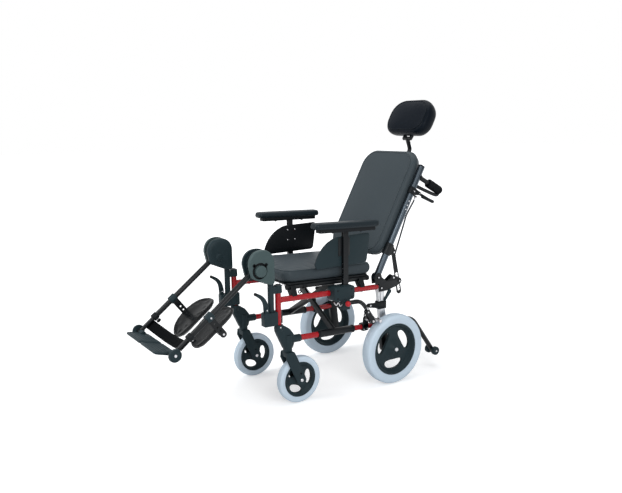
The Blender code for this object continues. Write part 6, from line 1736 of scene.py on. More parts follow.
def push_grips():
    """Rubber grips with a flared end and rings round them."""
    profile = []
    span = GRIP_END_B - FAT_GRIP_START
    for share in shares(90):
        ring = 0.5 + 0.5 * math.cos(share * GRIP_WAVES * 2.0 * math.pi)
        bulge = math.sin(math.pi * min(share * 1.15, 1.0)) * GRIP_SWELL
        radius = FAT_GRIP_R - GRIP_RIB_DEPTH * (0.75 * ring if 0.08 < share < 0.92 else 0.0) + bulge - GRIP_SWELL
        edge = min(share, 1.0 - share) * span
        if edge < GRIP_EDGE:
            radius -= (GRIP_EDGE - edge) ** 2 / (GRIP_EDGE * 2)
        profile.append((FAT_GRIP_START + span * share, radius))
    bore = HANDLE_CORE_R * 0.9
    profile += [(GRIP_END_B, bore), (FAT_GRIP_START, bore)]
    grip = turned(profile, steps=48, about="Y")
    grip.transform(Matrix.Translation(in_back(FRAME_X, HANDLE_A, 0.0)))
    cap = back_rod(HANDLE_A, GRIP_END_B - 0.002, GRIP_END_B + 0.010, FAT_GRIP_R, FAT_GRIP_R * 0.8, 0.004)
    parts = [(grip, "grip_rubber"), (cap, "grip_rubber")]
    dress_pair("push_grip_rubber", "backrest", parts, BACK_SPACE, "push_grip")


def recline_levers():
    """A hand lever that is thicker at its eye, with a deeper skirt along its blade, dipped to clear the handle."""
    pivot = Vector((LEVER_PIVOT_B, LEVER_PIVOT_A))
    tip = Vector((LEVER_TIP_B, LEVER_TIP_A))
    dip = Vector((0.0, LEVER_DIP))
    half = LEVER_THICK / 2
    outline = capsule(pivot, tip - dip, LEVER_HALF * 1.2, LEVER_HALF)
    bore = circle(pivot, LEVER_PIN_R + BORE_GAP)
    blade = capsule(pivot.lerp(tip, 0.30) - dip, tip - dip, LEVER_HALF * 1.4, LEVER_HALF * 1.4)
    parts = [
        (slab(outline, FRAME_X, half, [bore], 0.0016), "black_plastic"),
        (slab(blade, FRAME_X, half * 2.0, edge=ROUND), "black_plastic"),
    ]
    dress_pair("recline_lever_moulded", "recline_lever", parts, BACK_SPACE, "recline_lever")


def lock_pin_in_back():
    lean = math.radians(BACK_RECLINE)
    y = LOCK_PIN_Y - BACK_Y
    z = LOCK_PIN_Z - BACK_Z
    return Vector((y * math.cos(lean) - z * math.sin(lean), y * math.sin(lean) + z * math.cos(lean)))


def recline_struts():
    """Comb struts: a long slot whose one side has teeth that drop over the lock pin."""
    pivot = Vector((STRUT_B, STRUT_A))
    heading = (lock_pin_in_back() - pivot).normalized()
    across = Vector((-heading.y, heading.x))

    def at(along, side):
        return tuple(pivot + heading * along + across * side)

    slot = [at(STRUT_SLOT_END, -STRUT_SLOT_HALF), at(STRUT_SLOT_START, -STRUT_SLOT_HALF)]
    pitch = (STRUT_SLOT_END - STRUT_SLOT_START) / STRUT_TEETH
    for index in range(STRUT_TEETH):
        start = STRUT_SLOT_START + pitch * index
        slot.append(at(start, STRUT_SLOT_HALF))
        slot.append(at(start + pitch * STRUT_TOOTH_LEAN, STRUT_SLOT_HALF + STRUT_TOOTH_DEPTH))
    slot.append(at(STRUT_SLOT_END, STRUT_SLOT_HALF))
    outline = capsule(pivot, at(STRUT_LENGTH - STRUT_HALF, 0.0), LUG_R, STRUT_HALF, 18)
    bore = circle(pivot, STRUT_PIN_R + BORE_GAP)
    parts = [(slab(outline, FRAME_X, STRUT_THICK / 2, [slot, bore], 0.0007), "black_metal")]
    dress_pair("recline_strut_comb", "strut", parts, BACK_SPACE, "recline_strut")


def bracket_outline(low):
    """A bracket plate from the side: skirt to the lock pin, bump, notch and the tower round the back's pivot."""
    rail_end = POST_TOP_Y - POST_DEPTH / 2 + RAIL_WELD
    lip = top_rail_z(rail_end) + TUBE_R + BRACKET_LIP
    front = rail_end + 0.0012
    notch = (LOCK_PIN_Y - (BRACKET_NOTCH_REAR + BRACKET_NOTCH_FRONT) / 2, BRACKET_NOTCH_Z + 0.006)
    return [
        (front, low),
        (POST_TOP_Y + POST_DEPTH, low),
        (LOCK_PIN_Y - BRACKET_EDGE, LOCK_PIN_Z - BRACKET_EDGE - BRACKET_SKIRT),
        *arc((LOCK_PIN_Y, LOCK_PIN_Z), BRACKET_EDGE * 0.85, -80.0, 60.0, 14),
        *arc((BRACKET_BUMP_Y, BRACKET_BUMP_Z - 0.006), 0.009, 60.0, 130.0, 8),
        *arc(notch, 0.009, -30.0, -150.0, 9),
        *arc((BACK_Y, BACK_Z), BRACKET_TOWER_R, 0.0, 185.0, 20),
        (BACK_Y - BRACKET_EDGE, lip),
        (front, lip),
    ]


def back_brackets():
    """Twin plates either side of the post and back tube, with their bolts, spacers and the lock pin."""
    low = POST_BOLT_Z - BRACKET_EDGE
    outline = bracket_outline(low)
    inner = BACK_TUBE_HALF_X + FIT
    outer = inner + BRACKET_THICK
    end = FRAME_X + (outer + BRACKET_HEAD_THICK)
    head = BRACKET_HEAD_R
    parts = []
    for start, stop in ((inner, outer), (-outer, -inner)):
        parts.append((extruded(outline, FRAME_X + start, FRAME_X + stop), "black_metal"))
    pivot = (BACK_Y, BACK_Z)
    post = (post_y(POST_BOLT_Z), POST_BOLT_Z)
    lock = (LOCK_PIN_Y, LOCK_PIN_Z)
    for place, radius in ((pivot, PIVOT_R), (post, POST_BOLT_R), (lock, LOCK_PIN_R)):
        parts += [
            (cross_rod(FRAME_X - outer, FRAME_X + outer, place, radius), "steel"),
            (cross_rod(FRAME_X + inner, end, place, head, head * 0.9, FINE), "black_metal"),
            (screw_head((end - 0.0004, *place), head * 0.5, 1.0, 0.0012), "steel"),
            (screw_head((FRAME_X - outer + FIT, *place), head * 0.8, -1.0, 0.003), "steel"),
        ]
    bump = (FRAME_X + outer - FIT, BRACKET_BUMP_Y, BRACKET_BUMP_Z - 0.009)
    parts.append((screw_head(bump, 0.0048, 1.0, 0.0028), "steel"))
    stay_low = (FRAME_X + 0.0105, POST_TOP_Y - 0.002, low - 0.042)
    parts.append((box(stay_low, (FRAME_X + 0.0135, POST_TOP_Y + 0.020, low + 0.004), CRISP), "silver"))
    dress_pair("back_bracket_plates", "frame", parts, node="back_bracket")


# Headrest bar
def headrest_bar():
    """A flat bar that bends forward to the barrel and pin that the headrest tilts on."""
    middle = BAR_B + BAR_THICK / 2
    path = rounded_line([(middle, BAR_LOW), (middle, BAR_BEND), (TILT_B, TILT_A)], BAR_BEND_R, 10)
    tilt = (TILT_B, TILT_A)
    reach = BARREL_HALF_X + EAR_THICK
    parts = [
        (slab(strip(flat(path), BAR_THICK), 0.0, BAR_HALF_X, edge=CRISP), "black_metal"),
        (cross_rod(-BARREL_HALF_X, BARREL_HALF_X, tilt, TILT_R), "black_metal"),
        (cross_rod(-reach, reach, tilt, TILT_PIN_R), "black_metal"),
    ]
    dress("headrest_bar_bent", "headrest_bar", parts, BACK_SPACE, "headrest_bar")


# Legrest hangers
def housing_outline(share=1.0):
    """The D of the knee housing, seen from the side: a round top over a foot that slopes up to the front."""
    middle = (HOUSING_REAR + HOUSING_FRONT) / 2
    half = (HOUSING_REAR - HOUSING_FRONT) / 2
    outline = []
    for index in range(41):
        turn = math.pi * index / 40
        across = math.copysign(abs(math.cos(turn)) ** HOUSING_ROUND, math.cos(turn))
        outline.append((middle + half * across, COVER_SHOULDER + COVER_ROUND * math.sin(turn) ** HOUSING_ROUND))
    outline += flat(rounded_line(HOUSING_FOOT, 0.010, 6))[1:-1]
    centre = Vector((middle, COVER_SHOULDER - 0.015))
    return [tuple(centre + (Vector(point) - centre) * share) for point in outline]


def housing_shell(start, stop, final, count, narrow=1.0):
    """A side of the housing that leaves its flat face square and rolls over to a smaller outer face."""
    stations = [(start, 1.0)]
    for index in range(count + 1):
        turn = math.radians(90.0 * index / count)
        along = 0.45 + 0.55 * math.sin(turn)
        stations.append((start + (stop - start) * along, final + (1.0 - final) * math.cos(turn)))
    rings = []
    for x, share in stations:
        ring = [(HOUSING_REAR + (y - HOUSING_REAR) * narrow, z) for y, z in housing_outline(share)]
        rings.append([(x, KNEE_Y + y, KNEE_Z + z) for y, z in ring])
    return skinned(rings)


def latch_block():
    """The block on the upright, hollowed for the tube and open at the outer rear so that it can swing off."""
    low = (FRAME_X - LATCH_HALF_X, LATCH_FRONT)
    outline = rounded_rectangle(low, (FRAME_X + LATCH_HALF_X, LATCH_REAR), LATCH_CORNER)
    block = extruded(outline, LATCH_BOTTOM, LATCH_TOP, ALONG_Z, edge=ROUND)
    below, above = LATCH_BOTTOM - 0.01, LATCH_TOP + 0.01
    bore = TUBE_R + BORE_GAP
    room = up_rod((FRAME_X, UPRIGHT_Y), below, above, bore)
    window = box((FRAME_X, UPRIGHT_Y - TUBE_R - BORE_GAP, below), (FRAME_X + 0.05, LATCH_REAR + 0.01, above), 0.0)
    return carved(carved(block, [room]), [window])


def hangers():
    """Swing-away hanger: upright tube, cap, latch block, inner knee cheek, web and release lever ears."""
    upright = (FRAME_X, UPRIGHT_Y)
    cap_low = UPRIGHT_TOP + FIT
    bridge_high = (FRAME_X + HANGER_R, UPRIGHT_Y, CAP_TOP - SWING_EAR)
    rounding = CHEEK_X - CHEEK_INNER_X
    web = box(
        (CHEEK_X - rounding * 0.2, KNEE_Y + FIT, KNEE_Z - 0.083),
        (COVER_X - FIT, HANGER_Y + HANGER_R * 0.6, KNEE_Z - KNEE_DISC_R - WEB_ROOM),
        SOFT,
    )
    knee = (KNEE_Y, KNEE_Z)
    parts = [
        (up_rod((HANGER_X, HANGER_Y), HANGER_BOTTOM, HANGER_TOP, HANGER_R), "charcoal"),
        (up_rod(upright, cap_low, CAP_TOP, CAP_R, CAP_R * 0.93, ROUND), "charcoal"),
        (up_rod(upright, CAP_TOP - 0.001, CAP_TOP + 0.003, CAP_R * 0.5, CAP_R * 0.4, FINE), "black_plastic"),
        (box((FRAME_X - HANGER_R, HANGER_Y, cap_low), bridge_high, ROUND), "charcoal"),
        (latch_block(), "charcoal"),
        (housing_shell(CHEEK_X, CHEEK_INNER_X, 0.66, 9), "charcoal"),
        (web, "charcoal"),
        (cross_rod(CHEEK_X - rounding * 0.3, COVER_X + KNEE_PIN_R, knee, KNEE_PIN_R), "steel"),
    ]
    inner_ear = SWING_X - SWING_THICK / 2 - FIT
    outer_ear = SWING_X + SWING_THICK / 2 + FIT
    eye = (SWING_PIVOT_Y, SWING_PIVOT_Z)
    root = LATCH_TOP - SWING_EAR
    outline = [(eye[0] + SWING_EYE_R, root), *arc(eye, SWING_EYE_R, 0.0, 180.0, 14), (eye[0] - SWING_EYE_R, root)]
    for low in (inner_ear - SWING_EAR, outer_ear):
        parts.append((extruded(outline, low, low + SWING_EAR), "charcoal"))
    pin = cross_rod(inner_ear - SWING_EAR - 0.001, outer_ear + SWING_EAR + 0.001, eye, SWING_PIN_R)
    dome = cross_rod(CHEEK_INNER_X + 0.002, CHEEK_INNER_X - 0.004, (DIAL_Y, DIAL_Z), 0.018, 0.013, ROUND)
    parts += [(pin, "steel"), (dome, "charcoal")]
    for y, z in COVER_SCREWS:
        screw = screw_head((CHEEK_INNER_X + 0.0035, KNEE_Y + y * 0.62, KNEE_Z + z), 0.0032, -1.0, 0.003)
        parts.append((screw, "black_plastic"))
    dress_pair("hanger_moulded", "hanger", parts, node="hanger")


def knee_covers():
    """The outer half of the knee housing, with a fluted round knob sunk in a dished recess."""
    shell = housing_shell(COVER_X, COVER_OUTER_X, 0.955, 7, COVER_NARROW)
    floor_x = COVER_OUTER_X - KNOB_RECESS_DEPTH
    dial = (DIAL_Y, DIAL_Z)
    spots = [(dial, DIAL_RECESS_R)]
    spots += [((DIAL_Y + y, DIAL_Z + z), DIAL_EAR_R) for y, z in DIAL_EARS]
    parts = []
    for spot, radius in spots:
        cutter = cross_rod(floor_x, COVER_OUTER_X + 0.010, spot, radius, None, 0.0, DIAL_SIDES)
        shell = carved(shell, [cutter])
        # A black disc on the floor of each recess and ear hole: partly a dark floor and partly painted shade in the
        # hollow.
        pan = cross_rod(floor_x - 0.001, floor_x + 0.0008, spot, radius + BORE_GAP, None, SHARP, DIAL_SIDES)
        parts.append((pan, "black_plastic"))
        if radius == DIAL_EAR_R:
            unit = circle((0.0, 0.0), 1.0, DIAL_SIDES)
            rim = [(COVER_OUTER_X - 0.0025, spot[0] + radius * y, spot[1] + radius * z) for y, z in unit]
            parts.append((ring_sweep(rim, 0.0008), "black_plastic"))
    parts.append((shell, "grey_plastic"))
    outline = []
    for index in range(96):
        turn = 2.0 * math.pi * index / 96
        radius = DIAL_R * (1.0 - DIAL_FLUTE + DIAL_FLUTE * math.cos(turn * DIAL_FLUTES))
        outline.append((DIAL_Y + radius * math.cos(turn), DIAL_Z + radius * math.sin(turn)))
    face = COVER_OUTER_X + DIAL_PROUD
    button = cross_rod(face - 0.002, face + 0.0004, dial, DIAL_R * 0.62, DIAL_R * 0.55, 0.0007)
    parting = [(COVER_X + 0.0002, KNEE_Y + y, KNEE_Z + z) for y, z in housing_outline(1.002)]
    parts += [
        (extruded(outline, floor_x - PIN_HEAD, face, edge=0.0022), "grey_plastic"),
        (button, "grey_plastic"),
        (ring_sweep(parting, 0.0007), "charcoal"),
    ]
    dress_pair("knee_cover_moulded", "hanger", parts, node="knee_cover")


def swing_levers():
    """A curved release lever that thins toward its tip."""
    pivot = Vector((SWING_PIVOT_Y, SWING_PIVOT_Z))
    tip = Vector((SWING_TIP_Y, SWING_TIP_Z))
    along = tip - pivot
    across = Vector((along.y, -along.x)).normalized()
    spine = []
    for share in shares(24):
        spine.append(pivot + along * share + across * SWING_BOW * math.sin(math.pi * share))
    left = []
    right = []
    wide, narrow = SWING_WIDTHS
    for index, (stop, side) in enumerate(zip(spine, sideways(spine))):
        half = SWING_EYE_R * (wide + (narrow - wide) * index / 24)
        left.append(tuple(stop + side * half))
        right.append(tuple(stop - side * half))
    end = circle(tip, SWING_EYE_R * 0.80)
    half = SWING_THICK / 2
    parts = [
        (slab(left + right[::-1], SWING_X, half, edge=WORN), "charcoal"),
        (cross_rod(SWING_X - half, SWING_X + half, pivot, SWING_EYE_R * 0.9, None, FINE), "charcoal"),
        (slab(end, SWING_X, half * 1.4, edge=0.0022), "black_plastic"),
    ]
    dress_pair("swing_lever_moulded", "swing_lever", parts, node="swing_lever")


# Elevating legs
def leg_rod(start, stop, *shape):
    """A rod along the leg's line."""
    return rod(in_leg(LEG_X, start, 0.0), in_leg(LEG_X, stop, 0.0), *shape)


def clamp_knob(at, low):
    """The round knob behind the clamp collar."""
    r, top = CLAMP_KNOB_R, CLAMP_KNOB_REACH
    profile = [(low, AXIS_R), (low, r * 0.7), (low + 0.002, r * 0.95), (low + 0.005, r), (low + 0.008, r * 0.94)]
    knob = turned([*profile, (top, r * 0.6), (top, AXIS_R)], steps=32, about="Y")
    knob.transform(Matrix.Translation(in_leg(LEG_X, at, 0.0)))
    return knob


def calf_bar():
    """The flat bar behind the leg, drilled with a row of holes."""
    outline = [
        (0.0, -CALF_AT - CALF_BAR_HALF),
        *arc((CALF_BAR_END - CALF_BAR_HALF, -CALF_AT), CALF_BAR_HALF, -90.0, 90.0, 20),
        (0.0, -CALF_AT + CALF_BAR_HALF),
    ]
    holes = []
    for index in range(CALF_HOLES):
        behind = CALF_PIVOT - CALF_HOLE_PITCH * (index + 1)
        holes.append(circle((behind, -CALF_AT), CALF_HOLE_R))
    return extruded(outline, CALF_BAR_X - CALF_BAR_THICK, CALF_BAR_X, holes=holes, edge=KEEN)


def leg_tubes():
    """Knee disc, outer tube, calf collar with its drilled bar, and the clamp collar with its knob."""
    knob_at = LEG_END - CLAMP_COLLAR_LENGTH / 2
    low = CLAMP_KNOB_REACH - CLAMP_KNOB_R
    stud = rod(in_leg(LEG_X, knob_at, FOOT_R), in_leg(LEG_X, knob_at, low + 0.002), CALF_PIN_R)
    pivot = in_leg(CALF_BAR_X, CALF_AT, CALF_PIVOT)
    pin = rod(pivot, in_leg(CALF_BOSS_OUTER - CALF_PIN_REACH, CALF_AT, CALF_PIVOT), CALF_PIN_R)
    pivot_screw = in_leg(CALF_BAR_X - FIT, CALF_AT, CALF_PIVOT)
    collar_screw = in_leg(LEG_X + CALF_COLLAR_R - 0.0006, CALF_AT, 0.0)
    half = CALF_COLLAR_HALF
    parts = [
        (leg_rod(KNEE_PIN_R * 2, LEG_END, LEG_R), "black_metal"),
        (cross_rod(CHEEK_X + FIT, COVER_X - FIT, (0.0, 0.0), KNEE_DISC_R, None, EASED, 56), "charcoal"),
        (leg_rod(CALF_AT - half, CALF_AT + half, CALF_COLLAR_R, None, ROUND), "charcoal"),
        (leg_rod(LEG_END - CLAMP_COLLAR_LENGTH, LEG_END, CLAMP_COLLAR_R, None, SOFT), "black_plastic"),
        (stud, "steel"),
        (clamp_knob(knob_at, low), "black_plastic"),
        (calf_bar(), "black_metal"),
        (pin, "steel"),
        (screw_head(pivot_screw, 0.0055, 1.0, 0.003), "steel"),
        (screw_head(collar_screw, 0.0042, 1.0, 0.003), "steel"),
    ]
    dress_pair("leg_tube_coated", "leg", parts, LEG_SPACE, "leg_tube")


def foot_tubes():
    """Telescoping inner tubes that end in the footplate's hinge eye."""
    hinge = in_leg(LEG_X, FOOT_HINGE, 0.0)
    half = Vector((FOOT_EYE_R, 0.0, 0.0))
    eye = rod(hinge - half, hinge + half, FOOT_EYE_R, None, CRISP)
    parts = [(leg_rod(FOOT_TOP, FOOT_HINGE, FOOT_R), "black_metal"), (eye, "black_plastic")]
    dress_pair("foot_tube_coated", "foot", parts, LEG_SPACE, "foot_tube")


def footplates():
    """Flip-up footplates: a dished plate with grip ribs and a raised rim, a shaft and a round end disc."""
    low = (FOOTPLATE_INNER_X, -FOOTPLATE_FORWARD)
    high = (FOOTPLATE_OUTER_X, FOOTPLATE_BEHIND)
    inset = FOOTPLATE_RIM_INSET
    rim = plate_edge((low[0] + inset, low[1] + inset), (high[0] - inset, high[1] - inset))
    parts = [
        (extruded(plate_edge(low, high), -FOOTPLATE_THICK, 0.0, ALONG_Z, edge=ROUND), "charcoal"),
        (ring_sweep([(x, y, -0.0002) for x, y in rim], 0.0018, 3), "charcoal"),
    ]
    for index in range(FOOTPLATE_RIBS):
        y = low[1] + RIB_MARGIN + (high[1] - low[1] - RIB_MARGIN * 2) * index / (FOOTPLATE_RIBS - 1)
        rib_low = (low[0] + RIB_INSET, y - RIB_HALF, -0.002)
        rib = box(rib_low, (high[0] - RIB_INSET, y + RIB_HALF, RIB_RISE), KEEN)
        parts.append((rib, "charcoal"))
    eye_inner = LEG_X - FOOT_EYE_R - FIT
    eye_outer = LEG_X + FOOT_EYE_R + FIT
    end = eye_outer + FOOT_DISC_THICK
    hinge_line = (0.0, 0.0)
    r = FOOT_DISC_R
    disc = [(eye_outer, AXIS_R), (eye_outer, r * 0.94), (eye_outer + 0.002, r), (end - 0.004, r * 0.985)]
    disc += [(end - 0.001, r * 0.93), (end, r * 0.82), (end - 0.002, r * 0.74), (end - 0.002, AXIS_R)]
    parts += [
        (cross_rod(FOOTPLATE_OUTER_X - r, eye_inner, hinge_line, FOOT_EYE_R, None, EASED), "charcoal"),
        (cross_rod(eye_inner - FOOT_SHAFT_R, eye_outer + FOOT_SHAFT_R, hinge_line, FOOT_SHAFT_R), "steel"),
        (turned(disc, steps=56), "charcoal"),
        (screw_head((end - 0.0024, *hinge_line), 0.0065, 1.0, 0.0026), "steel"),
    ]
    drop = math.radians(LEG_DROP)
    hinge = Vector((0.0, KNEE_Y - FOOT_HINGE * math.cos(drop), KNEE_Z - FOOT_HINGE * math.sin(drop)))
    pitch = Matrix.Rotation(math.radians(-FOOTPLATE_PITCH), 4, "X")
    place = FRAME_SPACE @ Matrix.Translation(hinge) @ pitch
    dress_pair("footplate_moulded", "footplate", parts, place, "footplate")


def heel_straps():
    """Webbing that hooks round each foot tube and sags to the middle, where its halves meet."""
    radius = FOOT_R + BORE_GAP + STRAP_THICK / 2
    path = [Vector(point) for point in arc((LEG_X, 0.0), radius, 0.0, 105.0, STRAP_HOOK)]
    leave = path[-1]
    for share in shares(STRAP_RUN)[1:]:
        sag = (STRAP_SAG + STRAP_DROOP) * math.sin(share * math.pi / 2)
        path.append(Vector((leave.x + (STRAP_END - leave.x) * share, leave.y + sag)))
    bm = bmesh.new()
    grid = []
    for index, (stop, side) in enumerate(zip(path, sideways(path))):
        share = max(index - STRAP_HOOK + 1, 0) / STRAP_RUN
        row = []
        for across in shares(STRAP_ROWS):
            spot = stop + side * (STRAP_CUP * share * (1.0 - (2.0 * across - 1.0) ** 2))
            row.append(bm.verts.new((spot.x, spot.y, -STRAP_HIGH - (STRAP_LOW - STRAP_HIGH) * across)))
        grid.append(row)
    for first, second in zip(grid, grid[1:]):
        for step in range(STRAP_ROWS):
            bm.faces.new((first[step], first[step + 1], second[step + 1], second[step]))
    obj = placed(to_mesh(bm))
    assign(obj.modifiers.new("thickness", "SOLIDIFY"), thickness=STRAP_THICK, offset=0.0)
    parts = [(baked(obj), "webbing")]
    for piece in dress_pair("heel_strap_webbing", "foot", parts, LEG_SPACE, "heel_strap"):
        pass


# Brakes
def brake_pivot():
    rise = BRAKE_Z - WHEEL_R
    return (-math.sqrt((WHEEL_R + BRAKE_PIVOT_GAP) ** 2 - rise**2), BRAKE_Z)


def brake_shoe():
    y, z = brake_pivot()
    turn = math.atan2(z - WHEEL_R, -y) + math.radians(BRAKE_SHOE_LEAD)
    reach = WHEEL_R + BRAKE_SHOE_GAP + BRAKE_SHOE_R
    return (-reach * math.cos(turn), WHEEL_R + reach * math.sin(turn))


def brake_levers():
    """Hub on the mount's pin, knurled shoe across the tyre and a bent lever with a ball end."""
    hub_x = FRAME_X + TUBE_R + BRAKE_CLAMP_WALL + FIT
    pivot = brake_pivot()
    shoe = brake_shoe()
    half = WHEEL_TYRE_WIDTH / 2 - BRAKE_SHOE_INSET
    hub_end = BRAKE_LEVER_X + BRAKE_HUB_R - FIT
    profile = [(WHEEL_X - half, AXIS_R)]
    for index in range(29):
        depth = 0.0 if index % 4 in (0, 1) else KNURL_DEPTH
        profile.append((WHEEL_X - half + 2 * half * index / 28, BRAKE_SHOE_R - depth))
    profile.append((WHEEL_X + half, AXIS_R))

    def off(forward, rise):
        return (pivot[0] - forward, pivot[1] + rise)

    root = off(BRAKE_ROOT_FORWARD, BRAKE_ROOT_RISE)
    lobe = off(*BRAKE_LOBE)
    stops = [(BRAKE_LEVER_X, *off(*place)) for place in BRAKE_BENDS]
    inner, outer = BRAKE_LEVER_X - BRAKE_ROD_R - 0.001, BRAKE_LEVER_X + BRAKE_ROD_R + 0.001
    link = capsule(pivot, shoe, BRAKE_SHOE_R * 0.7, BRAKE_SHOE_R * 0.7)
    cheek = capsule(pivot, root, *BRAKE_CHEEK_ENDS)
    spur = capsule(root, lobe, *BRAKE_SPUR_ENDS)
    toggle = capsule((root[0] + 0.004, root[1] + 0.010), off(-0.008, 0.018), BRAKE_TOGGLE_R, BRAKE_TOGGLE_R)
    eye = [circle(root, 0.004)]
    parts = [
        (cross_rod(hub_x, hub_end, pivot, BRAKE_HUB_R), "steel"),
        (turned(profile, (0.0, *shoe), 32), "steel"),
        (extruded(link, WHEEL_X - half + BRAKE_ARM_INSET, hub_end - BRAKE_ARM_INSET), "silver"),
        (sweep(rounded_line(stops, 0.020, 10), BRAKE_ROD_R * 0.9, 5), "black_metal"),
        (ball(stops[-1], BRAKE_BALL_R), "red_plastic"),
        (extruded(cheek, inner - BRAKE_CHEEK, inner, holes=eye), "black_metal"),
        (extruded(cheek, outer, outer + BRAKE_CHEEK, holes=eye), "black_metal"),
        (extruded(spur, outer + 0.0002, outer + 0.004, holes=[circle(lobe, 0.005)]), "black_metal"),
        (extruded(toggle, inner - BRAKE_CHEEK * 2, inner - BRAKE_CHEEK), "steel"),
        (cross_rod(inner - BRAKE_CHEEK * 2, outer + 0.0055, root, 0.0035), "steel"),
        (screw_head((outer + 0.0028, *pivot), 0.0060, 1.0, 0.003), "steel"),
    ]
    dress_pair("brake_lever_bent", "brake", parts, node="brake_lever")


# Soft goods
def sewn_pad(low, high, corners, gusset, crown, finish, cap, slack):
    """A pad on z 0: its gusset given as (inset, height) up to the seam, piped there, under a crowned panel."""
    middle = ((low[0] + high[0]) / 2, (low[1] + high[1]) / 2)
    half = ((high[0] - low[0]) / 2, (high[1] - low[1]) / 2)
    outline = pad_edge(low, high, *corners)
    seam_inset, seam_height = gusset[-1]
    rings = inset_rings(outline, middle, half, gusset)
    for share in shares(12)[1:]:
        lift = (crown - seam_height) * math.sin(share * math.pi / 2) ** CROWN_ROUND
        left = 1.0 - 0.95 * share
        size = ((1.0 - seam_inset / half[0]) * left, (1.0 - seam_inset / half[1]) * left)
        rings.append(pad_ring(outline, middle, size, seam_height + lift))

    def held(point):
        edge = min(high[0] - point.x, point.x - low[0], point.y - low[1], high[1] - point.y)
        at_seam = abs(point.z - seam_height) < SEAM_HOLD and edge < seam_inset + SEAM_HOLD
        return point.z < SEAM_HOLD or at_seam

    pad = puffed(skinned(rings), held, PAD_VOXEL, cap, slack)
    seam = [(x, y, seam_height) for x, y in scaled(outline, middle, half, -seam_inset)]
    cord = ring_sweep(on_surface(pad, seam, PIPING_R * 0.2), PIPING_R, 3)
    return [(pad, finish), (cord, finish)]


def puffed(mesh, held, voxel, cap, slack):
    """Cloth over the pad's form, swelled by pressure with its base and seams held, then smoothed once."""
    obj = placed(mesh)
    assign(obj.modifiers.new("voxels", "REMESH"), mode="VOXEL", voxel_size=voxel)
    obj = placed(baked(obj))
    swell(obj, held, cap, slack)
    assign(obj.modifiers.new("even", "SMOOTH"), factor=0.5, iterations=5)
    assign(obj.modifiers.new("smooth", "SUBSURF"), levels=1, render_levels=1)
    return baked(obj)


def swell(obj, held, cap, slack):
    """Run the cloth, and keep what each point moved, up to a cap."""
    scene = bpy.context.scene
    group = obj.vertex_groups.new(name="held")
    group.add([vert.index for vert in obj.data.vertices if held(vert.co)], 1.0, "REPLACE")
    before = [vert.co.copy() for vert in obj.data.vertices]
    cloth = obj.modifiers.new("cloth", "CLOTH")
    assign(cloth.settings, **CLOTH, shrink_min=-slack, vertex_group_mass="held")
    cloth.settings.effector_weights.gravity = 0.0
    assign(cloth.point_cache, frame_start=1, frame_end=CLOTH_FRAMES)
    for number in range(1, CLOTH_FRAMES + 1):
        scene.frame_set(number)
    depsgraph = bpy.context.evaluated_depsgraph_get()
    after = [vert.co.copy() for vert in obj.evaluated_get(depsgraph).data.vertices]
    obj.modifiers.remove(cloth)
    for vert, old, new in zip(obj.data.vertices, before, after):
        step = new - old
        if step.length > cap:
            step *= cap / step.length
        vert.co = old + step
    scene.frame_set(1)


def on_surface(mesh, line, lift):
    """Points of a line moved onto a surface, and off it by a little."""
    bm = bmesh.new()
    bm.from_mesh(mesh)
    tree = BVHTree.FromBMesh(bm)
    bm.free()
    found = []
    for point in line:
        spot, normal, _, _ = tree.find_nearest(Vector(point))
        found.append(spot + normal * lift)
    return found


def seat_cushion():
    """Wide cushion with bulging sides that pull in at the foot, on the board between the side frames."""
    low = (-CUSHION_HALF_X, CUSHION_FRONT)
    high = (CUSHION_HALF_X, CUSHION_REAR + CUSHION_TAIL)
    corners = (CUSHION_CORNER, CUSHION_REAR_CORNER)
    crown = CUSHION_CROWN_HEIGHT - CUSHION_SETTLE
    parts = sewn_pad(low, high, corners, CUSHION_GUSSET, crown, "grey_vinyl", *CUSHION_SWELL)
    base = SEAT_RAIL_Z + SEAT_RAIL_R * SLOPE_STRETCH + FIT * 2 + (BOARD_THICK + FIT) * SLOPE_STRETCH
    place = FRAME_SPACE @ slope_matrix(SEAT_RAIL_FRONT, base)
    dress("seat_cushion_sewn", "frame", parts, place, "seat_cushion")


def back_pad():
    """A deep pad with a flat front panel; its gusset narrows where it lies between the back tubes."""
    low = (-BACK_PAD_HALF_X - BACK_PAD_PROUD, BACK_PAD_LOW - 0.012)
    high = (BACK_PAD_HALF_X + BACK_PAD_PROUD, BACK_PAD_TOP + 0.009)
    corners = (BACK_PAD_CORNER, BACK_PAD_TOP_CORNER)
    crown = BACK_PAD_CLEAR + BACK_PAD_CROWN
    parts = sewn_pad(low, high, corners, BACK_PAD_GUSSET, crown, "grey_vinyl", *PAD_SWELL)
    place = BACK_SPACE @ Matrix.Translation((0.0, BACK_PAD_REAR_B, 0.0)) @ ALONG_Y
    dress("back_pad_sewn", "backrest", parts, place, "back_pad")


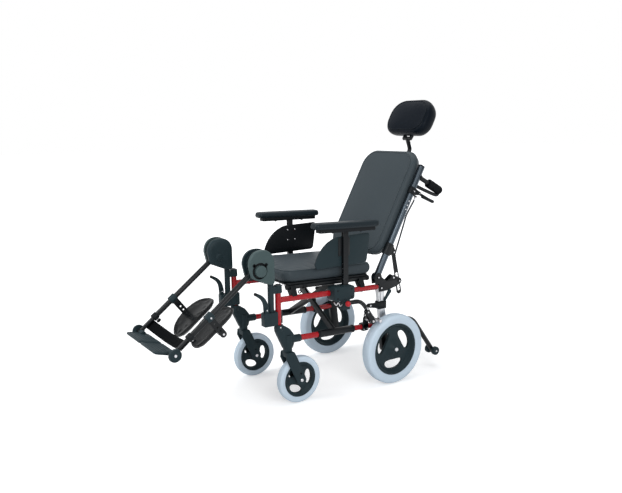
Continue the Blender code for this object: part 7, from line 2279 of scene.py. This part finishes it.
def headrest_pad():
    """A rounded pad with the two ears and the plate behind it that its tilt pin and bar carry."""
    half_x = HEADREST_HALF_X + 0.005
    low = (-half_x, HEADREST_A - HEADREST_HALF_A - 0.006)
    high = (half_x, HEADREST_A + HEADREST_HALF_A + 0.006)
    corners = (HEADREST_CORNER, HEADREST_CORNER + 0.020)
    crown = HEADREST_CROWN_DEPTH - 0.002
    parts = sewn_pad(low, high, corners, HEADREST_GUSSET, crown, "navy_vinyl", *PAD_SWELL)
    for mesh, _ in parts:
        mesh.transform(Matrix.Translation((0.0, HEADREST_REAR_B, 0.0)) @ ALONG_Y)
    tilt = (TILT_B, TILT_A)
    root = HEADREST_A - HEADREST_HALF_A + TILT_R * 3
    outline = [(HEADREST_REAR_B - PIN_HEAD, root), (TILT_B - TILT_R, root), *arc(tilt, TILT_R, 180.0, 360.0, 16)]
    hole = circle(tilt, TILT_PIN_R + BORE_GAP)
    for way in WAYS:
        inner = way * (BARREL_HALF_X + FIT)
        ends = sorted((inner, inner + way * EAR_THICK))
        parts.append((extruded(outline, *ends, holes=[hole], edge=CRISP), "black_metal"))
    half_x, half_a, corner = HEADREST_PLATE
    outline = pad_edge((-half_x, HEADREST_A - half_a), (half_x, HEADREST_A + half_a), corner, corner)
    plate = extruded(outline, HEADREST_REAR_B - 0.001, HEADREST_REAR_B + 0.0025, ALONG_Y)
    parts.append((plate, "black_plastic"))
    dress("headrest_pad_sewn", "headrest", parts, BACK_SPACE, "headrest_pad")


def oval(half_x, half_y, power=2.4, count=72):
    """An outline between an ellipse and a rectangle."""
    points = []
    for index in range(count):
        turn = 2.0 * math.pi * index / count
        x, y = math.cos(turn), math.sin(turn)
        size = (abs(x) ** power + abs(y) ** power) ** (-1.0 / power)
        points.append((half_x * x * size, half_y * y * size))
    return points


def calf_pads():
    """Oval pads sewn with a piped rim, bent round the leg, on a back shell with a boss for the bracket's pin."""
    half_x = CALF_PAD_HALF_X - 0.001
    half_y = CALF_PAD_HALF_Z - 0.001
    outline = oval(half_x, half_y)
    thick = CALF_PAD_THICK
    rim = CALF_PAD_RIM
    stations = list(CALF_PAD_ROLL)
    inset, shoulder = stations[-1]
    for share in shares(8)[1:]:
        height = shoulder + (thick - rim - 0.006) * math.sin(share * math.pi / 2)
        stations.append((inset + CALF_PAD_CROWN_SHARE * share, height))
    rings = [pad_ring(outline, (0.0, 0.0), (1.0 - inset, 1.0 - inset), height) for inset, height in stations]

    def held(point):
        reach = math.hypot(point.x / half_x, point.y / half_y)
        return point.z < CALF_HOLD or (abs(point.z - rim) < CALF_HOLD and reach > 0.93)

    pad = puffed(skinned(rings), held, CALF_VOXEL, *CALF_SWELL)
    line = on_surface(pad, [(x * 0.995, y * 0.995, rim) for x, y in outline], PIPING_R * 0.25)
    outline = oval(half_x * CALF_SHELL_SHARE, half_y * CALF_SHELL_SHARE)
    shell = extruded(outline, -0.0025, 0.0015, ALONG_Z, edge=FINE)
    parts = [(pad, "calf_vinyl"), (ring_sweep(line, PIPING_R, 3), "calf_vinyl"), (shell, "black_plastic")]
    for mesh, _ in parts:
        for vert in mesh.vertices:
            u, v, w = vert.co
            behind = CALF_PAD_PERP + thick / 2 - w - CALF_PAD_WRAP_DEPTH * (u / CALF_PAD_HALF_X) ** 2
            vert.co = in_leg(CALF_PAD_X + u, CALF_AT - v, behind)
    low = in_leg(CALF_BOSS_X, CALF_AT + CALF_BOSS_HALF, CALF_PAD_PERP)
    high = in_leg(CALF_BOSS_OUTER, CALF_AT - CALF_BOSS_HALF, CALF_PIVOT + CALF_BOSS_HALF)
    bounds = [sorted(pair) for pair in zip(low, high)]
    boss = box([pair[0] for pair in bounds], [pair[1] for pair in bounds], ROUND)
    parts.append((boss, "black_plastic"))
    for pad in dress_pair("calf_pad_sewn", "calf", parts, LEG_SPACE, "calf_pad"):
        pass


# Floor, light and camera
def seen_directly(tree):
    """One where the ray comes from the camera, or from a gloss or a clear surface that shows the backdrop."""
    path = add_node(tree, "LightPath")
    found = path.outputs["Is Camera Ray"]
    for kind in ("Is Glossy Ray", "Is Transmission Ray"):
        most = add_node(tree, "Math", operation="MAXIMUM")
        tree.links.new(found, most.inputs[0])
        tree.links.new(path.outputs[kind], most.inputs[1])
        found = most.outputs["Value"]
    return found


def floor():
    """A pale floor that keeps soft shadows near the chair and runs on into the pale background."""
    bm = bmesh.new()
    bmesh.ops.create_grid(bm, x_segments=1, y_segments=1, size=FLOOR_HALF)
    plane = placed(to_mesh(bm), "floor")
    made = assign(bpy.data.materials.new("pale_floor"), use_nodes=True)
    tree = made.node_tree
    link = tree.links.new
    tree.nodes.remove(tree.nodes["Principled BSDF"])
    near, far = FLOOR_FADE
    fade = {"From Min": near, "From Max": far, "To Min": FLOOR_GLOW, "To Max": 1.0}
    diffuse = add_node(tree, "BsdfDiffuse", {"Color": FLOOR_COLOUR})
    reach = add_node(tree, "VectorMath", operation="LENGTH")
    rise = add_node(tree, "MapRange", fade)
    strength = add_node(tree, "Math", operation="MULTIPLY")
    glow = add_node(tree, "Emission")
    both = add_node(tree, "AddShader")
    link(add_node(tree, "NewGeometry").outputs["Position"], reach.inputs[0])
    link(reach.outputs["Value"], rise.inputs["Value"])
    link(rise.outputs["Result"], strength.inputs[0])
    link(seen_directly(tree), strength.inputs[1])
    link(strength.outputs["Value"], glow.inputs["Strength"])
    link(diffuse.outputs["BSDF"], both.inputs[0])
    link(glow.outputs["Emission"], both.inputs[1])
    link(both.outputs["Shader"], tree.nodes["Material Output"].inputs["Surface"])
    plane.data.materials.append(made)


def background():
    """White where it is seen, and a weaker sky that fills the shadows."""
    world = assign(bpy.data.worlds.new("studio"), use_nodes=True)
    bpy.context.scene.world = world
    tree = world.node_tree
    link = tree.links.new
    seen = add_node(tree, "Background", {"Color": (1.0, 1.0, 1.0, 1.0)})
    fill = set_inputs(tree.nodes["Background"], {"Color": SKY_COLOUR, "Strength": WORLD_FILL})
    mix = add_node(tree, "MixShader")
    link(seen_directly(tree), mix.inputs["Fac"])
    link(fill.outputs["Background"], mix.inputs[1])
    link(seen.outputs["Background"], mix.inputs[2])
    link(mix.outputs["Shader"], tree.nodes["World Output"].inputs["Surface"])


def area_light(name, place, target, size, power):
    data = assign(bpy.data.lights.new(name, "AREA"), shape="RECTANGLE", size=size, size_y=size, energy=power)
    lamp = placed(data, name)
    lamp.location = place
    lamp.rotation_euler = (Vector(target) - Vector(place)).to_track_quat("-Z", "Y").to_euler()


def camera():
    """The photograph's view, solved from the wheels and the mirrored sides of the chair."""
    turn = math.radians(CAMERA_AZIMUTH)
    rise = math.radians(CAMERA_ELEVATION)
    roll = math.radians(CAMERA_ROLL)
    back = Vector((math.sin(turn) * math.cos(rise), -math.cos(turn) * math.cos(rise), math.sin(rise)))
    right = Vector((math.cos(turn), math.sin(turn), 0.0))
    up = back.cross(right)
    across = right * math.cos(roll) + up * math.sin(roll)
    above = up * math.cos(roll) - right * math.sin(roll)
    data = bpy.data.cameras.new("photograph_view")
    assign(data, sensor_fit="HORIZONTAL", sensor_width=36.0, lens=CAMERA_LENS)
    seen_from = placed(data, "photograph_view")
    place = Vector(CAMERA_TARGET) + back * CAMERA_DISTANCE + Vector((0.0, AXLE_Y, 0.0))
    turned_to = Matrix((across, above, back)).transposed().to_4x4()
    seen_from.matrix_world = Matrix.Translation(place) @ turned_to
    bpy.context.scene.camera = seen_from


wheels()
castor_forks()
side_frames()
front_castings()
cross_brace()
anti_tip_rollers()
armrest_receivers()
armrest_posts()
arm_pads()
armrest_panels()
back_frame()
release_cables()
push_grips()
recline_levers()
recline_struts()
back_brackets()
headrest_bar()
hangers()
knee_covers()
swing_levers()
leg_tubes()
foot_tubes()
footplates()
heel_straps()
brake_levers()
seat_cushion()
back_pad()
headrest_pad()
calf_pads()
floor()
background()
for light in LIGHTS:
    area_light(*light)
camera()
bpy.context.scene.view_settings.view_transform = "Standard"
